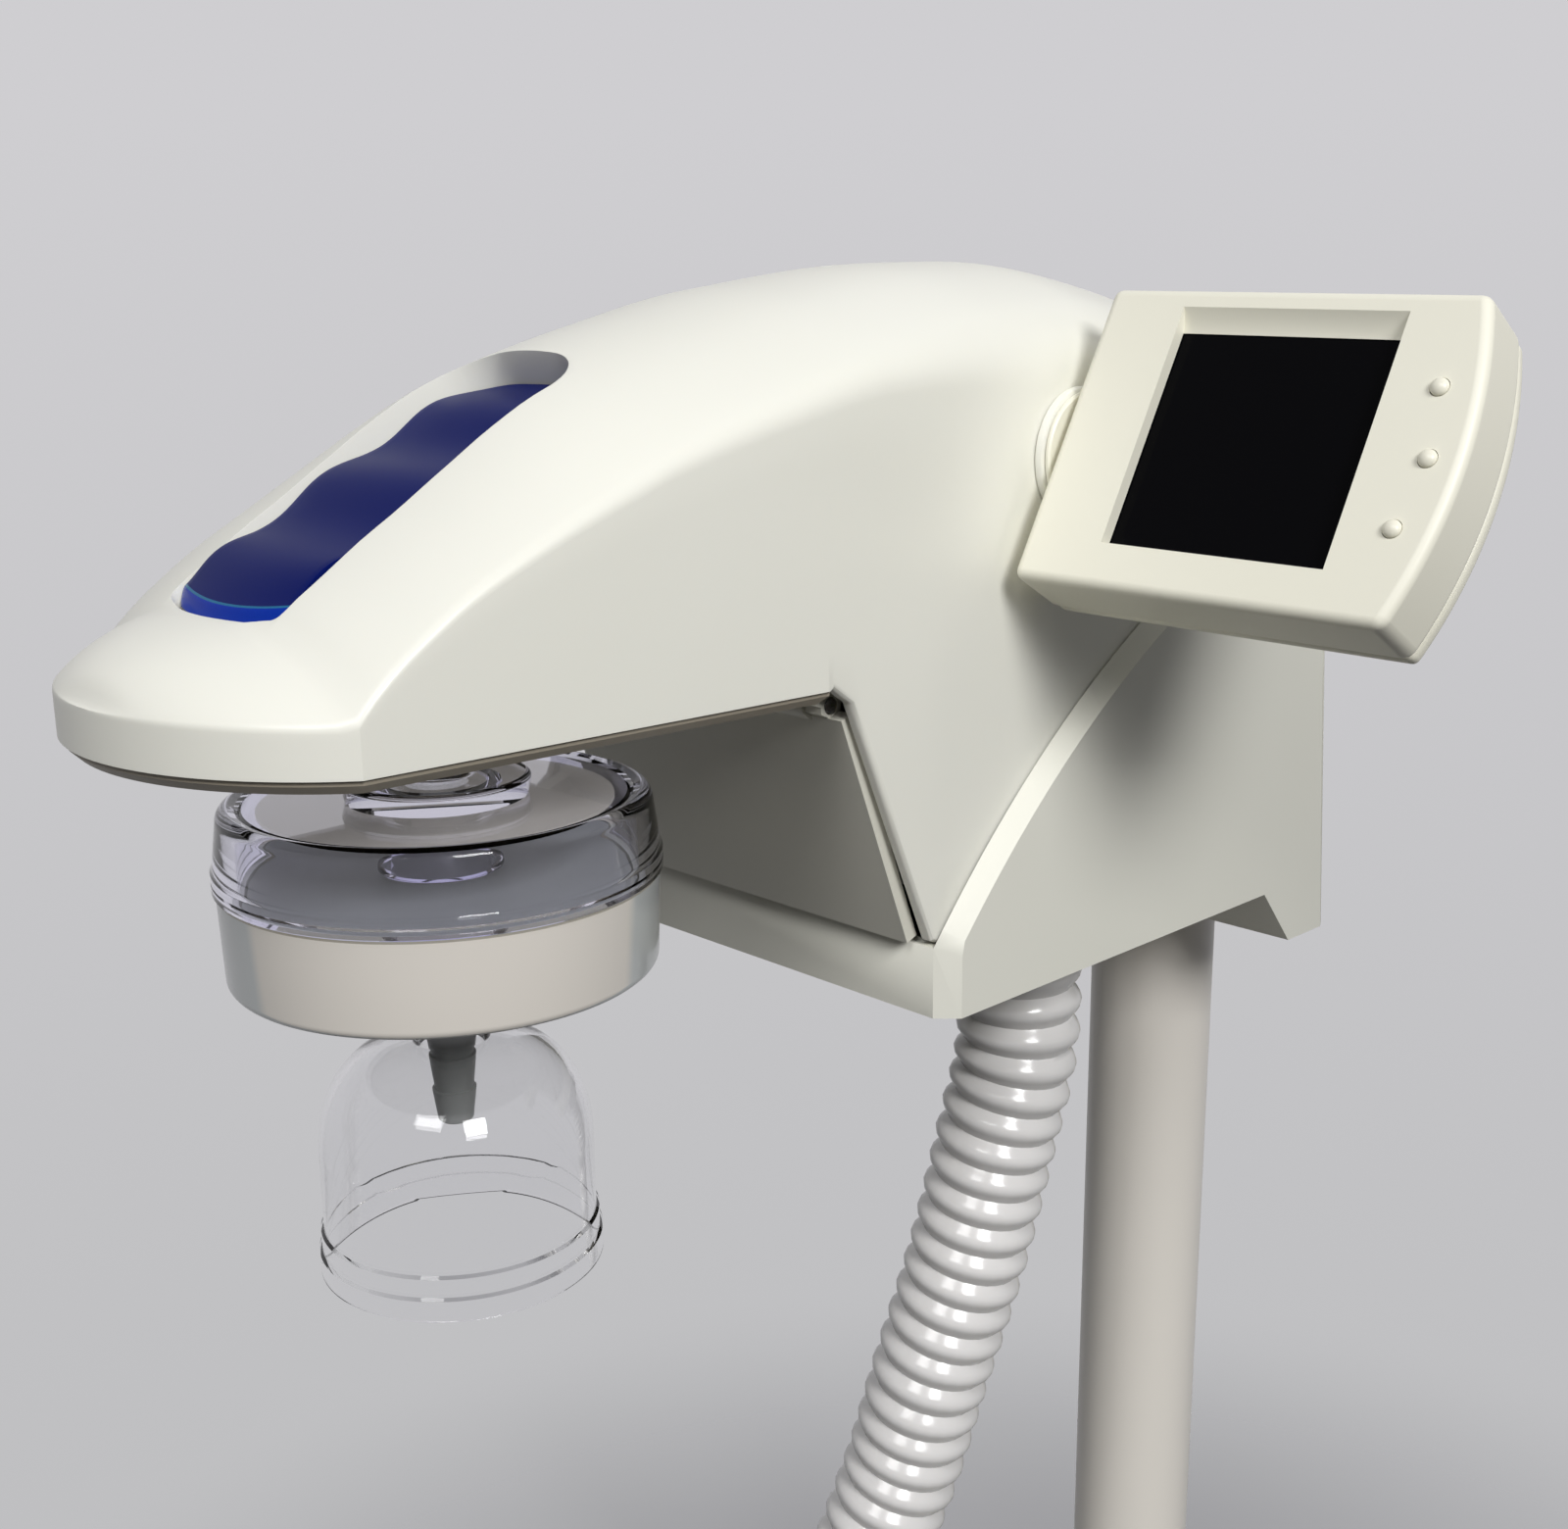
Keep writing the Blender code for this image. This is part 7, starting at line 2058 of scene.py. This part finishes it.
@dataclass
class Studio:
    """The photograph's camera, a pale floor and soft lights."""

    width: int = 1600
    height: int = 1560
    camera_place: Vector = field(default_factory=lambda: Vector((259.93 * MM, -375.56 * MM, 566.96 * MM)))
    yaw: float = math.radians(46.95)
    pitch: float = math.radians(14.05)
    roll: float = math.radians(0.76)
    focal_pixels: float = 1877.23
    centre_pixel: Pair = (787.27, 791.59)
    sensor: float = 36.0
    backdrop_high: str = "#CFCED1"
    backdrop_low: str = "#BFBFC1"
    floor_colour: str = "#D2D1D3"
    floor_bounce: str = "#504F4E"
    floor_radius: float = 0.62
    floor_steps: int = 96
    floor_fade: Pair = (0.24, 0.56)
    nearest: float = 0.02
    sky_rise: Pair = (-0.35, 0.75)
    sky_strength: Pair = (0.05, 0.25)
    backdrop_rise: Pair = (-0.55, 0.1)
    aim: Sequence[float] = (0.0, -0.1, 0.45)
    # Each soft box: its name, place, width in metres and power in watts
    lamps: Sequence[tuple[str, Sequence[float], float, float]] = (
        ("key", (0.5, -1.15, 1.6), 0.6, 8.0),
        ("fill", (1.3, -0.55, 1.35), 0.5, 17.0),
        ("rear", (-0.6, 1.1, 1.7), 0.9, 1.0),
    )
    sky: str = "#F6F8FF"
    below: str = "#8C8A84"

    def build(self) -> None:
        """Set the camera, the floor, the world and the lamps."""
        self.camera()
        self.floor()
        self.world()
        for name, place, size, power in self.lamps:
            self.lamp(name, place, size, power)
        bpy.context.scene.view_settings.view_transform = "Standard"

    def camera(self) -> None:
        """Place the camera where the photograph was taken."""
        data = bpy.data.cameras.new("camera")
        data.sensor_fit = "HORIZONTAL"
        data.sensor_width = self.sensor
        data.lens = self.sensor * self.focal_pixels / self.width
        data.shift_x = (self.width / 2 - self.centre_pixel[0]) / self.width
        data.shift_y = (self.centre_pixel[1] - self.height / 2) / self.width
        data.clip_start = self.nearest
        camera = bpy.data.objects.new("camera", data)
        bpy.context.scene.collection.objects.link(camera)
        camera.matrix_world = (
            Matrix.Translation(self.camera_place) @ Matrix.Rotation(self.yaw, 4, "Z")
            @ Matrix.Rotation(math.radians(90) - self.pitch, 4, "X") @ Matrix.Rotation(-self.roll, 4, "Z")
        )
        bpy.context.scene.camera = camera

    def pale_rays(self, tree: bpy.types.NodeTree) -> bpy.types.NodeSocket:
        """One for the rays that see the backdrop itself: camera, mirror and glass rays."""
        path = add_node(tree, "ShaderNodeLightPath")
        direct = add_node(
            tree, "ShaderNodeMath", {"operation": "MAXIMUM"},
            links={0: path.outputs["Is Camera Ray"], 1: path.outputs["Is Transmission Ray"]},
        )
        every = add_node(
            tree, "ShaderNodeMath", {"operation": "MAXIMUM"},
            links={0: direct.outputs["Value"], 1: path.outputs["Is Glossy Ray"]},
        )
        return every.outputs["Value"]

    def floor(self) -> None:
        """A pale floor that takes the object's shadow and fades into the backdrop."""
        bm = bmesh.new()
        bmesh.ops.create_circle(bm, cap_ends=True, segments=self.floor_steps, radius=self.floor_radius)
        floor = as_object(bm, "floor")
        made = bpy.data.materials.new("matt_floor")
        made.use_nodes = True
        tree = made.node_tree
        tree.nodes.clear()
        colour = add_node(
            tree, "ShaderNodeMix", {"data_type": "RGBA"},
            {6: linear(self.floor_bounce), 7: linear(self.floor_colour)}, {0: self.pale_rays(tree)},
        )
        matt = add_node(tree, "ShaderNodeBsdfDiffuse", links={"Color": colour.outputs[2]})
        clear = add_node(tree, "ShaderNodeBsdfTransparent")
        place = add_node(tree, "ShaderNodeTexCoord")
        distance = add_node(
            tree, "ShaderNodeVectorMath", {"operation": "LENGTH"}, links={0: place.outputs["Object"]},
        )
        fade = add_node(
            tree, "ShaderNodeMapRange", {"interpolation_type": "SMOOTHSTEP"},
            {"From Min": self.floor_fade[0], "From Max": self.floor_fade[1]},
            {"Value": distance.outputs["Value"]},
        )
        mix = add_node(
            tree, "ShaderNodeMixShader",
            links={0: fade.outputs["Result"], 1: matt.outputs["BSDF"], 2: clear.outputs["BSDF"]},
        )
        output = add_node(tree, "ShaderNodeOutputMaterial")
        tree.links.new(mix.outputs["Shader"], output.inputs["Surface"])
        floor.data.materials.append(made)

    def world(self) -> None:
        """Soft light that is strong above and weak below, behind a plain backdrop."""
        world = bpy.data.worlds.new("studio")
        world.use_nodes = True
        bpy.context.scene.world = world
        tree = world.node_tree
        tree.nodes.clear()
        place = add_node(tree, "ShaderNodeTexCoord")
        axes = add_node(tree, "ShaderNodeSeparateXYZ", links={"Vector": place.outputs["Generated"]})
        rise = add_node(
            tree, "ShaderNodeMapRange", {"interpolation_type": "SMOOTHSTEP"},
            {"From Min": self.sky_rise[0], "From Max": self.sky_rise[1]}, {"Value": axes.outputs["Z"]},
        )
        strength = add_node(
            tree, "ShaderNodeMapRange",
            values={"To Min": self.sky_strength[0], "To Max": self.sky_strength[1]},
            links={"Value": rise.outputs["Result"]},
        )
        tint = add_node(
            tree, "ShaderNodeMix", {"data_type": "RGBA"},
            {6: linear(self.below), 7: linear(self.sky)}, {0: rise.outputs["Result"]},
        )
        light = add_node(
            tree, "ShaderNodeBackground",
            links={"Color": tint.outputs[2], "Strength": strength.outputs["Result"]},
        )
        height = add_node(
            tree, "ShaderNodeMapRange",
            values={"From Min": self.backdrop_rise[0], "From Max": self.backdrop_rise[1]},
            links={"Value": axes.outputs["Z"]},
        )
        shade = add_node(
            tree, "ShaderNodeMix", {"data_type": "RGBA"},
            {6: linear(self.backdrop_low), 7: linear(self.backdrop_high)}, {0: height.outputs["Result"]},
        )
        seen = add_node(tree, "ShaderNodeBackground", links={"Color": shade.outputs[2]})
        mix = add_node(
            tree, "ShaderNodeMixShader",
            links={0: self.pale_rays(tree), 1: light.outputs["Background"], 2: seen.outputs["Background"]},
        )
        output = add_node(tree, "ShaderNodeOutputWorld")
        tree.links.new(mix.outputs["Shader"], output.inputs["Surface"])

    def lamp(self, name: str, place: Sequence[float], size: float, power: float) -> None:
        """Hang a square soft box that faces the head.

        Args:
            name: its name.
            place: where it hangs.
            size: its width.
            power: its power in watts.
        """
        data = bpy.data.lights.new(name, "AREA")
        data.size = size
        data.energy = power
        lamp = bpy.data.objects.new(name, data)
        bpy.context.scene.collection.objects.link(lamp)
        aim = Vector(self.aim) - Vector(place)
        lamp.matrix_world = Matrix.Translation(place) @ aim.to_track_quat("-Z", "Y").to_matrix().to_4x4()


def main() -> None:
    """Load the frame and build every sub-assembly."""
    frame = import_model()
    shop = Shop(frame["nodes"], Wardrobe())
    Studio().build()
    form, slot = HoodForm(), SlotForm()
    final_filter = FinalFilter()
    for part in (
        Hose(), Hood(form, slot), Housing(), Door(), Underside(form), Plunger(slot), Tilt(), Display(),
        final_filter, Bell(final_filter), Stand(),
    ):
        LOG.info("building %s", type(part).__name__)
        part.build(shop)


if __name__ == "__main__":
    logging.basicConfig(level=logging.INFO, format="%(message)s")
    main()
